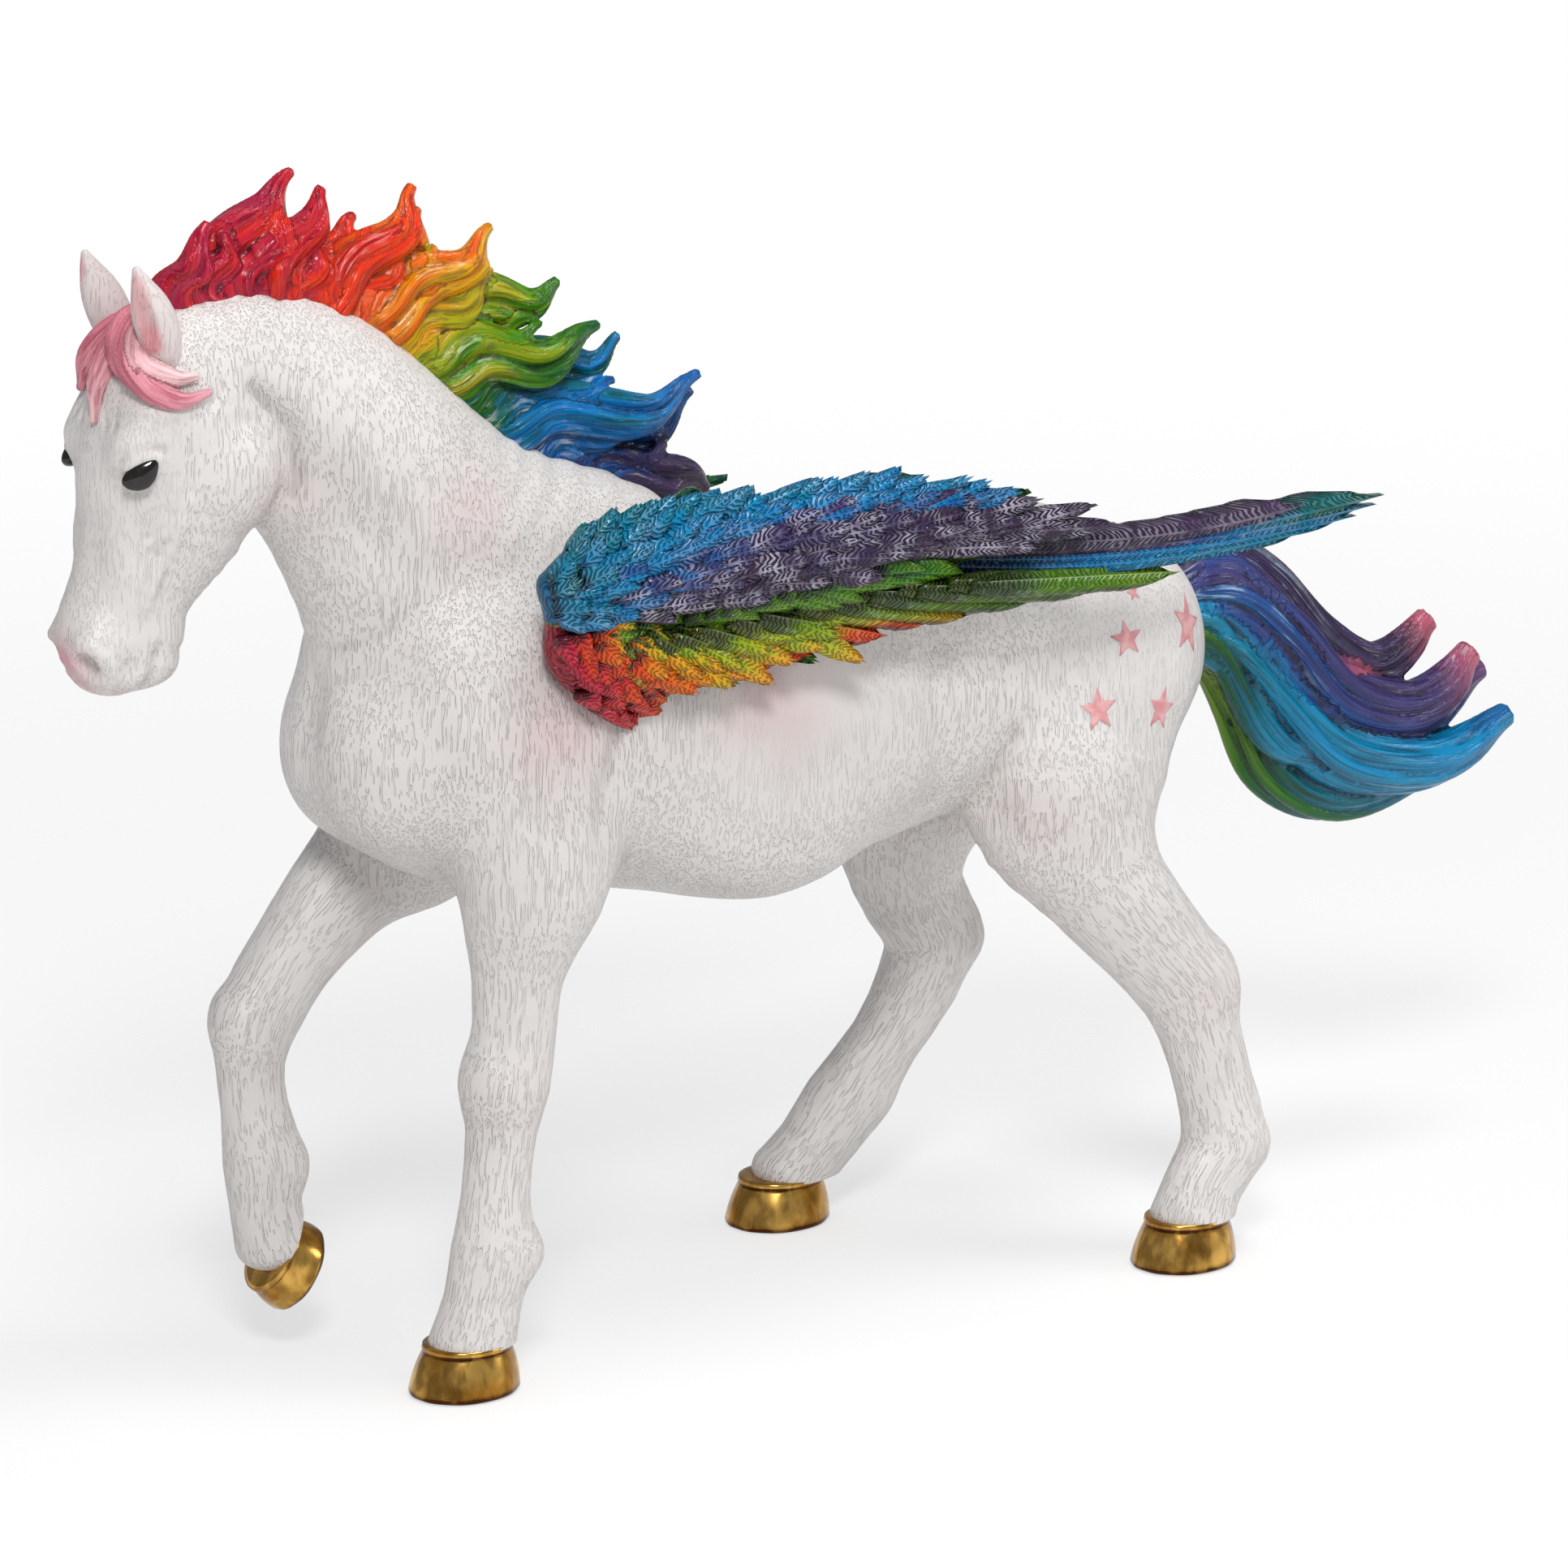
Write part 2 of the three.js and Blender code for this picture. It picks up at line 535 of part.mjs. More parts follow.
/** Place on the crest of the neck above one of its stations, looking outwards. */
function crestSeam(index) {
  const { centre, depth } = NECK[index];
  const run = NECK[index + 1].centre.clone().sub(NECK[index - 1].centre).normalize();
  const normal = new THREE.Vector3(run.z, 0, -run.x);
  return { point: centre.clone().addScaledVector(normal, depth), normal };
}
const MANE_SEAMS = [crestSeam(4), crestSeam(2)];
const FORELOCK_SEAM = seam(-26.4, 0.2, 99, -0.6, 0, 0.8);

/** Mane of pointed locks on a crest, with pegs into the neck. */
function mane() {
  return loft(CREST, { sides: 10 })
    .add(locks(MANE_LOCKS))
    .subtract(bodyForm(CLEARANCE))
    .subtract(bothEars(CLEARANCE))
    .add(join(MANE_SEAMS.map((seat) => peg(seat, HAIR_PEG))));
}
const tail = () => locks(TAIL_LOCKS).subtract(torsoForm(CLEARANCE)).add(peg(TAIL_SEAM, TAIL_PEG));
const forelock = () => locks(FORELOCK)
  .subtract(headForm(CLEARANCE))
  .subtract(bothEars(CLEARANCE))
  .add(peg(FORELOCK_SEAM, HAIR_PEG));

// Wings
const PIVOT = WING_SEAM.point;
const WING_POSE = {
  left: new THREE.Matrix4(),
  right: new THREE.Matrix4().makeTranslation(PIVOT.x, -PIVOT.y, PIVOT.z)
    .multiply(new THREE.Matrix4().makeRotationZ(THREE.MathUtils.degToRad(RIGHT_WING_SPREAD)))
    .multiply(new THREE.Matrix4().makeRotationX(-THREE.MathUtils.degToRad(RIGHT_WING_DROP)))
    .multiply(new THREE.Matrix4().makeTranslation(-PIVOT.x, PIVOT.y, -PIVOT.z))
    .multiply(MIRROR),
};

/** Flat feather from its base to its rounded tip. */
function feather(base, tip, halfBreadth, matrix) {
  const station = (share, breadth, thickness) => ({
    centre: base.clone().lerp(tip, share),
    depth: halfBreadth * breadth,
    width: FEATHER_HALF_THICKNESS * thickness,
  });
  const stations = [station(0, 0.8, 1), station(0.5, 1, 1), station(0.85, 0.9, 0.9), station(0.97, 0.45, 0.6)];
  return loft(stations, { sides: FEATHER_SIDES, steps: 1, matrix });
}

/** Lower row of feathers, one behind the other, whose tips follow the trailing edge. */
function secondaries(matrix) {
  const edge = new THREE.CatmullRomCurve3(TRAILING_EDGE);
  return Array.from({ length: SECONDARY_COUNT }, (_, i) => {
    const share = i / (SECONDARY_COUNT - 1);
    const tip = edge.getPoint(share);
    tip.y += (i % 2) * FEATHER_STEP;
    const run = THREE.MathUtils.lerp(INNER_SECONDARY.run, OUTER_SECONDARY.run, share);
    const rise = THREE.MathUtils.lerp(INNER_SECONDARY.rise, OUTER_SECONDARY.rise, share);
    const base = tip.clone().add(new THREE.Vector3(-run, -SECONDARY_LEAN, rise));
    return feather(base, tip, SECONDARY_HALF_BREADTH, matrix);
  });
}

/** Long feathers that fan out from the end of the arm. */
function primaries(matrix) {
  return PRIMARY_TIPS.map((tip, i) => {
    const base = PRIMARY_BASE.clone().add(new THREE.Vector3(-i, i * FEATHER_STEP, -i * PRIMARY_BASE_DROP));
    return feather(base, tip, PRIMARY_HALF_BREADTH, matrix);
  });
}

const wingSeam = (sideName) => (sideName === "left" ? WING_SEAM : {
  point: WING_SEAM.point.clone().applyMatrix4(MIRROR),
  normal: WING_SEAM.normal.clone().negate(),
});

/** One wing: root, arm, web and two rows of feathers in one piece, with a peg into the shoulder. */
function wing(sideName) {
  const matrix = WING_POSE[sideName];
  return loft(WING_ARM, { sides: 12, matrix })
    .add(loft(WING_ROOT, { sides: 12, matrix }))
    .add(loft(WING_WEB, { sides: 8, matrix }))
    .add(join(secondaries(matrix)))
    .add(join(primaries(matrix)))
    .subtract(bodyForm(CLEARANCE))
    .add(peg(wingSeam(sideName), WING_PEG));
}

// The white pieces, split at the glue seams
const legNames = Object.keys(LEGS);
const torso = join([
  torsoForm(),
  neckForm().intersect(before(NECK_SEAM)),
  ...legNames.map((name) => legForm(name).intersect(before(LEG_SEAMS[name]))),
])
  .subtract(socket(NECK_SEAM, NECK_PEG))
  .subtract(socket(TAIL_SEAM, TAIL_PEG))
  .subtract(join(legNames.map((name) => socket(LEG_SEAMS[name], LEG_PEG))))
  .subtract(join(["left", "right"].map((sideName) => socket(wingSeam(sideName), WING_PEG))))
  .subtract(join(MANE_SEAMS.map((seat) => socket(seat, HAIR_PEG))));
const neck = neckForm()
  .intersect(after(NECK_SEAM))
  .intersect(before(POLL_SEAM))
  .subtract(torsoForm(CLEARANCE))
  .add(peg(NECK_SEAM, NECK_PEG))
  .add(peg(flipped(POLL_SEAM), NECK_PEG))
  .subtract(join(MANE_SEAMS.map((seat) => socket(seat, HAIR_PEG))));
const head = headForm()
  .add(neckForm().intersect(after(NECK_SEAM)))
  .intersect(after(POLL_SEAM))
  .subtract(socket(flipped(POLL_SEAM), NECK_PEG))
  .subtract(socket(FORELOCK_SEAM, HAIR_PEG))
  .subtract(join([-1, 1].map((side) => socket(earSeam(side), EAR_PEG))))
  .subtract(join([-1, 1].map((side) => ball(EYE, side, CLEARANCE))));

const pegasus = new THREE.Group();
pegasus.add(
  meshOf("torso", torso, WHITE_PAINT()),
  meshOf("neck", neck, WHITE_PAINT()),
  meshOf("head", head, WHITE_PAINT()),
  meshOf("left_ear", ear(-1), ROSE_PAINT()),
  meshOf("right_ear", ear(1), ROSE_PAINT()),
  meshOf("forelock", forelock(), ROSE_PAINT()),
  meshOf("mane", mane(), RAINBOW_PAINT()),
  meshOf("tail", tail(), RAINBOW_PAINT()),
  meshOf("left_wing", wing("left"), RAINBOW_PAINT()),
  meshOf("right_wing", wing("right"), RAINBOW_PAINT()),
);
for (const name of legNames) {
  const { sole, tilt, size } = HOOVES[name];
  const shoe = meshOf(`${name}_hoof`, hoof(size), GOLD_PAINT());
  shoe.position.copy(sole);
  shoe.rotation.y = THREE.MathUtils.degToRad(tilt);
  pegasus.add(meshOf(`${name}_leg`, leg(name), WHITE_PAINT()), shoe);
}
pegasus.add(
  meshOf("left_eye", ball(EYE, -1), EYE_PAINT()),
  meshOf("right_eye", ball(EYE, 1), EYE_PAINT()),
);

// The frame's origin lies on the floor, under the middle of the whole figurine.
const box = new THREE.Box3().setFromObject(pegasus, true);
const middle = box.getCenter(new THREE.Vector3());
const figurine = new THREE.Group();
pegasus.position.set(-middle.x, -middle.y, -box.min.z);
figurine.add(pegasus);

export default figurine;
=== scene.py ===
"""Looks of a cast and painted winged-horse figurine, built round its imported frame.

Shapes are written in millimetres in the sculptor's frame: the horse walks to -X, its left side is -Y
and +Z is up. The left front hoof of the frame says where that frame lies in the scene, in metres.
"""

import itertools
import logging
import math
from dataclasses import dataclass, field
from enum import Enum
from typing import Sequence

import bmesh
import bpy
import numpy as np
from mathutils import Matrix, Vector
from mathutils.bvhtree import BVHTree
from mathutils.kdtree import KDTree


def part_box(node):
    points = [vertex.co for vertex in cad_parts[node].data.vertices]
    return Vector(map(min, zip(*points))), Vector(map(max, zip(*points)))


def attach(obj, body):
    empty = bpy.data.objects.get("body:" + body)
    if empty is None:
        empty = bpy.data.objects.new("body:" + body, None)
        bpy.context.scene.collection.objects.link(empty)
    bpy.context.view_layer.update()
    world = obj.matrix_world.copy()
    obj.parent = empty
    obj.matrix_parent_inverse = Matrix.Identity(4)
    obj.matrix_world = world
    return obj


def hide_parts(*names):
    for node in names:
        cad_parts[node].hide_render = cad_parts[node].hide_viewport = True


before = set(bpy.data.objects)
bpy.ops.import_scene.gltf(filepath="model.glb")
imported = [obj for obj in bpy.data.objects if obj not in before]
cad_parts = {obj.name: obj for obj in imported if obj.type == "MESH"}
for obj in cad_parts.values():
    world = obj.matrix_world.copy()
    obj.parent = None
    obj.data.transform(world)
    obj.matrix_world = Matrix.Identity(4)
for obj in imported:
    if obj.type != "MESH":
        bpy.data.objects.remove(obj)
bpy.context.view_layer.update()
LOG = logging.getLogger("figurine")

MM = 0.001
LEFT_FRONT_SOLE = np.array([-0.3, -9.25, 0.0])
CAP_ROUNDNESS = 0.75
LEAST_SLOPE = 1e-6
PLACE_PRIMES = (73856093, 19349663, 83492791)
SEED_PRIME = 97531
STIR_PRIME = 1274126177

Station = tuple[float, float, float, float, float]
Point = tuple[float, float, float]
Socket = bpy.types.NodeSocket
Value = Socket | float | Sequence[float]


def frame_offset() -> np.ndarray:
    """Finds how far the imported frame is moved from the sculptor's frame.

    Returns:
        The move in millimetres, from the place of the left front hoof.
    """
    low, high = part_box("left_front_hoof")
    centre = np.array((low + high) / 2) / MM
    return np.array([centre[0], centre[1], 0.0]) - LEFT_FRONT_SOLE


OFFSET = frame_offset()


class Slot(Enum):
    """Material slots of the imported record."""

    BODY = "body_white"
    FORELOCK = "forelock_rose"
    MANE = "mane_rainbow"
    TAIL = "tail_rainbow"
    WING = "wing_rainbow"
    HOOF = "hoof_gold"
    EYE = "eye_black"


class Side(Enum):
    """Side of the horse, as the sign of Y."""

    LEFT = -1
    RIGHT = 1


# Shapes in numbers


def unit(vectors: np.ndarray) -> np.ndarray:
    """Gives vectors the length 1."""
    return vectors / np.maximum(np.linalg.norm(vectors, axis=-1, keepdims=True), 1e-12)


def smooth_path(stations: Sequence[Sequence[float]], steps: int) -> np.ndarray:
    """Runs a centripetal Catmull-Rom curve through stations.

    Args:
        stations: Rows that start with x, y, z; what follows, such as half sizes, runs along with them.
        steps: Points for each stretch between two stations.

    Returns:
        The rows of the curve, the first and last station included.
    """
    points = np.asarray(stations, float)
    ends = np.vstack([2 * points[0] - points[1], points, 2 * points[-1] - points[-2]])
    rows = []
    for before, start, stop, after in zip(ends, ends[1:], ends[2:], ends[3:]):
        gaps = [max(np.linalg.norm((b - a)[:3]) ** 0.5, 1e-3)
                for a, b in ((before, start), (start, stop), (stop, after))]
        leave = (start - before) / gaps[0] - (stop - before) / (gaps[0] + gaps[1]) + (stop - start) / gaps[1]
        arrive = (stop - start) / gaps[1] - (after - start) / (gaps[1] + gaps[2]) + (after - stop) / gaps[2]
        for t in np.arange(steps) / steps:
            rows.append((2 * t**3 - 3 * t**2 + 1) * start + (t**3 - 2 * t**2 + t) * leave * gaps[1]
                        + (3 * t**2 - 2 * t**3) * stop + (t**3 - t**2) * arrive * gaps[1])
    rows.append(points[-1])
    return np.array(rows)


def smooth_step(low: float, high: float, values: np.ndarray) -> np.ndarray:
    """Rises softly from 0 at low to 1 at high, or falls from 1 to 0 where high is below low."""
    t = np.clip((values - low) / (high - low), 0, 1)
    return t * t * (3 - 2 * t)


def lumpiness(points: np.ndarray, seed: int) -> np.ndarray:
    """Smooth random lumps, about one unit apart.

    Args:
        points: Rows of x, y, z.
        seed: Choice of pattern.

    Returns:
        A value from -1 to 1 for each row.
    """
    cell = np.floor(points).astype(np.int64)
    share = points - cell
    share = share * share * (3 - 2 * share)
    total = np.zeros(len(points))
    for corner in itertools.product((0, 1), repeat=3):
        at = cell + corner
        mixed = np.bitwise_xor.reduce(at * PLACE_PRIMES, axis=1) ^ (seed * SEED_PRIME)
        mixed = ((mixed ^ (mixed >> 13)) * STIR_PRIME) & 0xFFFFFFFF
        value = ((mixed ^ (mixed >> 16)) & 0xFFFF) / 32767.5 - 1
        total += value * np.prod(np.where(corner, share, 1 - share), axis=1)
    return total


def distance_to_path(points: np.ndarray, path: np.ndarray) -> tuple[np.ndarray, np.ndarray]:
    """Measures how far points lie from a line of straight stretches.

    Args:
        points: Rows of x, y, z.
        path: Rows of x, y, z along the line.

    Returns:
        The distance of each point, and how far along the line its nearest place is.
    """
    nearest = np.full(len(points), np.inf)
    along = np.zeros(len(points))
    done = 0.0
    for start, stop in zip(path, path[1:]):
        run = stop - start
        length = np.linalg.norm(run)
        share = np.clip((points - start) @ run / length**2, 0, 1)
        gap = np.linalg.norm(points - start - share[:, None] * run, axis=1)
        better = gap < nearest
        nearest[better] = gap[better]
        along[better] = done + share[better] * length
        done += length
    return nearest, along


def run_lengths(path: np.ndarray) -> np.ndarray:
    """Length of a path up to each of its rows."""
    return np.concatenate([[0], np.cumsum(np.linalg.norm(np.diff(path[:, :3], axis=0), axis=1))])


def row_at(path: np.ndarray, share: float) -> np.ndarray:
    """Row of a path at a share of its rows."""
    return np.array([np.interp(share, np.linspace(0, 1, len(path)), part) for part in path.T])


def moving_frame(path: np.ndarray) -> tuple[np.ndarray, np.ndarray, np.ndarray]:
    """Directions along a path: onwards, sideways (near Y) and across.

    Args:
        path: Rows that start with x, y, z.

    Returns:
        Three arrays of unit vectors.
    """
    onwards = unit(np.gradient(path[:, :3], axis=0))
    sideways = unit(np.array([0.0, 1.0, 0.0]) - onwards * onwards[:, 1:2])
    return onwards, sideways, np.cross(onwards, sideways)


def strip(a: int, b: int, i: int, j: int) -> list[tuple[int, int, int]]:
    """Two triangles between points i and j of the rings that start at a and b."""
    return [(a + i, a + j, b + j), (a + i, b + j, b + i)]


def loft(path: np.ndarray, sides: int) -> tuple[np.ndarray, np.ndarray]:
    """Closed skin of oval sections along a path.

    Args:
        path: Rows of x, y, z, half depth, half width.
        sides: Points round each section.

    Returns:
        Vertices and triangles, facing outwards.
    """
    _, sideways, across = moving_frame(path)
    angles = 2 * np.pi * np.arange(sides) / sides
    rings = (path[:, None, :3] + sideways[:, None] * (np.cos(angles) * path[:, 4:5])[..., None]
             + across[:, None] * (np.sin(angles) * path[:, 3:4])[..., None])
    vertices = np.vstack([rings.reshape(-1, 3), path[:1, :3], path[-1:, :3]])
    first, last = len(vertices) - 2, len(vertices) - 1
    end = (len(path) - 1) * sides
    faces = []
    for i in range(sides):
        j = (i + 1) % sides
        faces.append((first, j, i))
        for a in range(0, end, sides):
            faces += strip(a, a + sides, i, j)
        faces.append((last, end + i, end + j))
    return vertices, np.array(faces)


# Clay: solids as signed distances on a grid


@dataclass(frozen=True)
class Ball:
    """Oval lump in the side view: middle and half sizes in millimetres, turn about Y in degrees."""

    centre: Point
    radii: Point
    tilt: float = 0.0

    def mirrored(self) -> "Ball":
        """The same lump on the other side of the horse."""
        x, y, z = self.centre
        return Ball((x, -y, z), self.radii, self.tilt)

    def box(self) -> tuple[np.ndarray, np.ndarray]:
        """Corners of a box that holds it at any tilt."""
        reach = max(self.radii)
        return np.array(self.centre) - reach, np.array(self.centre) + reach

    def distance(self, x: np.ndarray, y: np.ndarray, z: np.ndarray) -> np.ndarray:
        """Signed distance, near enough close to the surface.

        Args:
            x: X of the grid, broadcast with the others.
            y: Y of the grid.
            z: Z of the grid.

        Returns:
            Distances in millimetres, below zero inside.
        """
        turn = math.radians(self.tilt)
        dx, dy, dz = x - self.centre[0], y - self.centre[1], z - self.centre[2]
        u = dx * math.cos(turn) + dz * math.sin(turn)
        w = dz * math.cos(turn) - dx * math.sin(turn)
        a, b, c = self.radii
        near = np.sqrt((u / a) ** 2 + (dy / b) ** 2 + (w / c) ** 2)
        slope = np.sqrt((u / a**2) ** 2 + (dy / b**2) ** 2 + (w / c**2) ** 2)
        return near * (near - 1) / np.maximum(slope, LEAST_SLOPE)


@dataclass(frozen=True)
class Limb:
    """Tapering form along oval sections, with some straight stretches between each two of them."""

    stations: tuple[Station, ...]
    steps: int = 2

    def box(self) -> tuple[np.ndarray, np.ndarray]:
        """Corners of a box that holds it.

        Returns:
            Its lowest and its highest corner.
        """
        path = smooth_path(self.stations, self.steps)
        reach = path[:, 3:].max(axis=1, keepdims=True)
        return (path[:, :3] - reach).min(axis=0), (path[:, :3] + reach).max(axis=0)


class Clay:
    """Block of clay: signed distances on a regular grid, in millimetres and below zero inside."""

    FAR = 30.0
    MARGIN = 2.0

    def __init__(self, low: Point, high: Point, step: float) -> None:
        """Sets up an empty block.

        Args:
            low: Lowest corner in millimetres.
            high: Highest corner.
            step: Grid step.
        """
        self.step = step
        self.axes = [np.arange(a, b + step, step, dtype=np.float32) for a, b in zip(low, high)]
        self.values = np.full([len(axis) for axis in self.axes], self.FAR, np.float32)

    def window(self, low: np.ndarray, high: np.ndarray) -> tuple[slice, ...]:
        """Part of the grid inside a box."""
        return tuple(slice(*np.searchsorted(axis, (a, b))) for axis, a, b in zip(self.axes, low, high))

    def grid(self, window: tuple[slice, ...]) -> list[np.ndarray]:
        """Open coordinate grids of a window."""
        return np.ix_(*[axis[part] for axis, part in zip(self.axes, window)])

    def limb_distance(self, limb: Limb, window: tuple[slice, ...]) -> np.ndarray:
        """Signed distance to a limb inside a window of the grid.

        Args:
            limb: The form.
            window: Part of the grid.

        Returns:
            Distances, FAR where the limb is not near.
        """
        path = smooth_path(limb.stations, limb.steps).astype(np.float32)
        found = np.full([part.stop - part.start for part in window], self.FAR, np.float32)
        for start, stop in zip(path, path[1:]):
            reach = max(start[3:].max(), stop[3:].max()) + self.MARGIN
            near = self.window(np.minimum(start, stop)[:3] - reach, np.maximum(start, stop)[:3] + reach)
            near = tuple(slice(max(n.start, w.start), min(n.stop, w.stop)) for n, w in zip(near, window))
            if any(part.start >= part.stop for part in near):
                continue
            run = (stop - start)[:3]
            length = np.linalg.norm(run)
            onwards = run / length
            side = unit(np.array([0, 1, 0]) - onwards * onwards[1]).astype(np.float32)
            across = np.cross(onwards, side)
            dx, dy, dz = (axis - value for axis, value in zip(self.grid(near), start[:3]))
            ahead = dx * onwards[0] + dy * onwards[1] + dz * onwards[2]
            share = np.clip(ahead / length, 0, 1)
            beyond = ahead - share * length
            u = dx * side[0] + dy * side[1] + dz * side[2]
            v = dx * across[0] + dy * across[1] + dz * across[2]
            depth = start[3] + share * (stop[3] - start[3])
            width = start[4] + share * (stop[4] - start[4])
            end = np.minimum(depth, width) * CAP_ROUNDNESS
            level = np.sqrt((v / depth) ** 2 + (u / width) ** 2 + (beyond / end) ** 2)
            slope = np.sqrt((v / depth**2) ** 2 + (u / width**2) ** 2 + (beyond / end**2) ** 2)
            gap = level * (level - 1) / np.maximum(slope, LEAST_SLOPE)
            local = tuple(slice(n.start - w.start, n.stop - w.start) for n, w in zip(near, window))
            found[local] = np.minimum(found[local], gap)
        return found

    def distance(self, form: Ball | Limb, softness: float) -> tuple[tuple[slice, ...], np.ndarray]:
        """Window and distances of a form, with room for a soft join.

        Args:
            form: The form.
            softness: Size of its rounding in millimetres.

        Returns:
            The window, and the distances in it.
        """
        low, high = form.box()
        window = self.window(low - softness - self.MARGIN, high + softness + self.MARGIN)
        if any(part.start >= part.stop for part in window):
            return window, np.zeros(0, np.float32)
        if isinstance(form, Limb):
            return window, self.limb_distance(form, window)
        return window, form.distance(*self.grid(window)).astype(np.float32)

    def add(self, form: Ball | Limb, softness: float) -> None:
        """Presses a form on, with a fillet of some softness in millimetres."""
        self.press(form, softness, 1)

    def carve(self, form: Ball | Limb, softness: float) -> None:
        """Scoops a form out, with a rounded lip."""
        self.press(form, softness, -1)

    def press(self, form: Ball | Limb, softness: float, sign: int) -> None:
        """Joins a form to the clay, or to the room round it.

        Args:
            form: What is added or taken away.
            softness: Size of the rounding in millimetres.
            sign: 1 adds it, -1 takes it away.
        """
        window, gap = self.distance(form, softness)
        if gap.size:
            here = sign * self.values[window]
            blend = np.maximum(softness - np.abs(here - gap), 0) ** 2 / (4 * softness)
            self.values[window] = sign * (np.minimum(here, gap) - blend)

    def skin(self) -> "Skin":
        """Takes the surface off the block, one vertex for each grid cell that it passes.

        Returns:
            The skin, made of four-sided faces.
        """
        inside = self.values < 0
        cells = [slice(None, -1), slice(1, None)]
        corners = list(itertools.product((0, 1), repeat=3))
        count = sum(inside[tuple(cells[c] for c in corner)].astype(np.int8) for corner in corners)
        active = (count > 0) & (count < 8)
        number = np.full(active.shape, -1, np.int32)
        number[active] = np.arange(active.sum())
        at = np.argwhere(active)
        value = {corner: self.values[tuple(at.T + np.array(corner)[:, None])] for corner in corners}
        place, hits = np.zeros((len(at), 3)), np.zeros((len(at), 1))
        for a, b in itertools.combinations(corners, 2):
            if sum(abs(p - q) for p, q in zip(a, b)) != 1:
                continue
            crosses = (value[a] < 0) != (value[b] < 0)
            share = value[a] / np.where(crosses, value[a] - value[b], 1)
            hit = np.array(a) + share[:, None] * (np.array(b) - np.array(a))
            place += np.where(crosses[:, None], hit, 0)
            hits += crosses[:, None]
        vertices = (at + place / hits) * self.step + [axis[0] for axis in self.axes]
        faces = []
        for axis in range(3):
            others = [k for k in range(3) if k != axis]
            lower = [slice(1, -1)] * 3
            lower[axis] = slice(None, -1)
            upper = list(lower)
            upper[axis] = slice(1, None)
            for solid_first in (True, False):
                a, b = inside[tuple(lower)], inside[tuple(upper)]
                here = np.argwhere((a & ~b) if solid_first else (~a & b))
                for k in others:
                    here[:, k] += 1
                ring = []
                for du, dv in ((-1, -1), (0, -1), (0, 0), (-1, 0)):
                    cell = here.copy()
                    cell[:, others[0]] += du
                    cell[:, others[1]] += dv
                    ring.append(number[tuple(cell.T)])
                quad = np.stack(ring, axis=1)
                outwards = solid_first != (axis == 1)
                faces.append(quad if outwards else quad[:, ::-1])
        return Skin(vertices, np.vstack(faces))


class Skin:
    """Surface of flat faces in millimetres, with named values for each vertex, which the finishes read."""

    def __init__(self, vertices: np.ndarray, faces: np.ndarray) -> None:
        """Keeps the mesh and lists its edges.

        Args:
            vertices: Places in millimetres.
            faces: Vertex numbers of each face.
        """
        self.vertices, self.faces = vertices, faces
        pairs = np.vstack([faces[:, [k, (k + 1) % faces.shape[1]]] for k in range(faces.shape[1])])
        self.edges = np.unique(np.sort(pairs, axis=1), axis=0)
        self.marks: dict[str, np.ndarray] = {}

    def spread(self, values: np.ndarray) -> np.ndarray:
        """Mean of the neighbours' values at each vertex.

        Args:
            values: One value or row for each vertex.

        Returns:
            The means.
        """
        a, b = self.edges.T
        size = len(self.vertices)
        count = np.bincount(a, minlength=size) + np.bincount(b, minlength=size)
        columns = [np.bincount(a, v[b], size) + np.bincount(b, v[a], size) for v in np.atleast_2d(values.T)]
        return (np.stack(columns, axis=1) / np.maximum(count, 1)[:, None]).reshape(values.shape)

    def smooth(self, rounds: int, weight: np.ndarray | float = 1.0) -> None:
        """Evens the skin out without shrinking it.

        Args:
            rounds: Passes, each one in and one out.
            weight: Strength for each vertex.
        """
        for _ in range(rounds):
            for push in (0.5, -0.52):
                self.vertices += push * weight * (self.spread(self.vertices) - self.vertices)

    def normals(self) -> np.ndarray:
        """Outward direction at each vertex.

        Returns:
            Unit vectors.
        """
        a, b, c = (self.vertices[self.faces[:, k]] for k in (0, 1, 2))
        last = self.vertices[self.faces[:, -1]]
        facing = np.cross(c - a, last - b) if self.faces.shape[1] == 4 else np.cross(b - a, c - a)
        total = np.zeros_like(self.vertices)
        for k in range(self.faces.shape[1]):
            for axis in range(3):
                total[:, axis] += np.bincount(self.faces[:, k], facing[:, axis], len(self.vertices))
        return unit(total)

    def lift(self, amount: np.ndarray) -> None:
        """Moves each vertex outwards by its own amount."""
        self.vertices += self.normals() * np.reshape(amount, (-1, 1))

    def hollows(self, rounds: int = 2) -> np.ndarray:
        """Reads where the skin is hollow and where it stands proud.

        Args:
            rounds: How far the reading is spread.

        Returns:
            About -1 on ridges to 1 in grooves.
        """
        bend = np.sum((self.spread(self.vertices) - self.vertices) * self.normals(), axis=1)
        for _ in range(rounds):
            bend = (bend + self.spread(bend)) / 2
        return np.clip(bend / (3 * bend.std() + 1e-9), -1, 1)


@dataclass(frozen=True)
class Stroke:
    """Pass of a modelling tool along a path on the left side, or on both; below zero it presses in."""

    path: tuple[Point, ...]
    radius: float
    lift: float
    both: bool = True


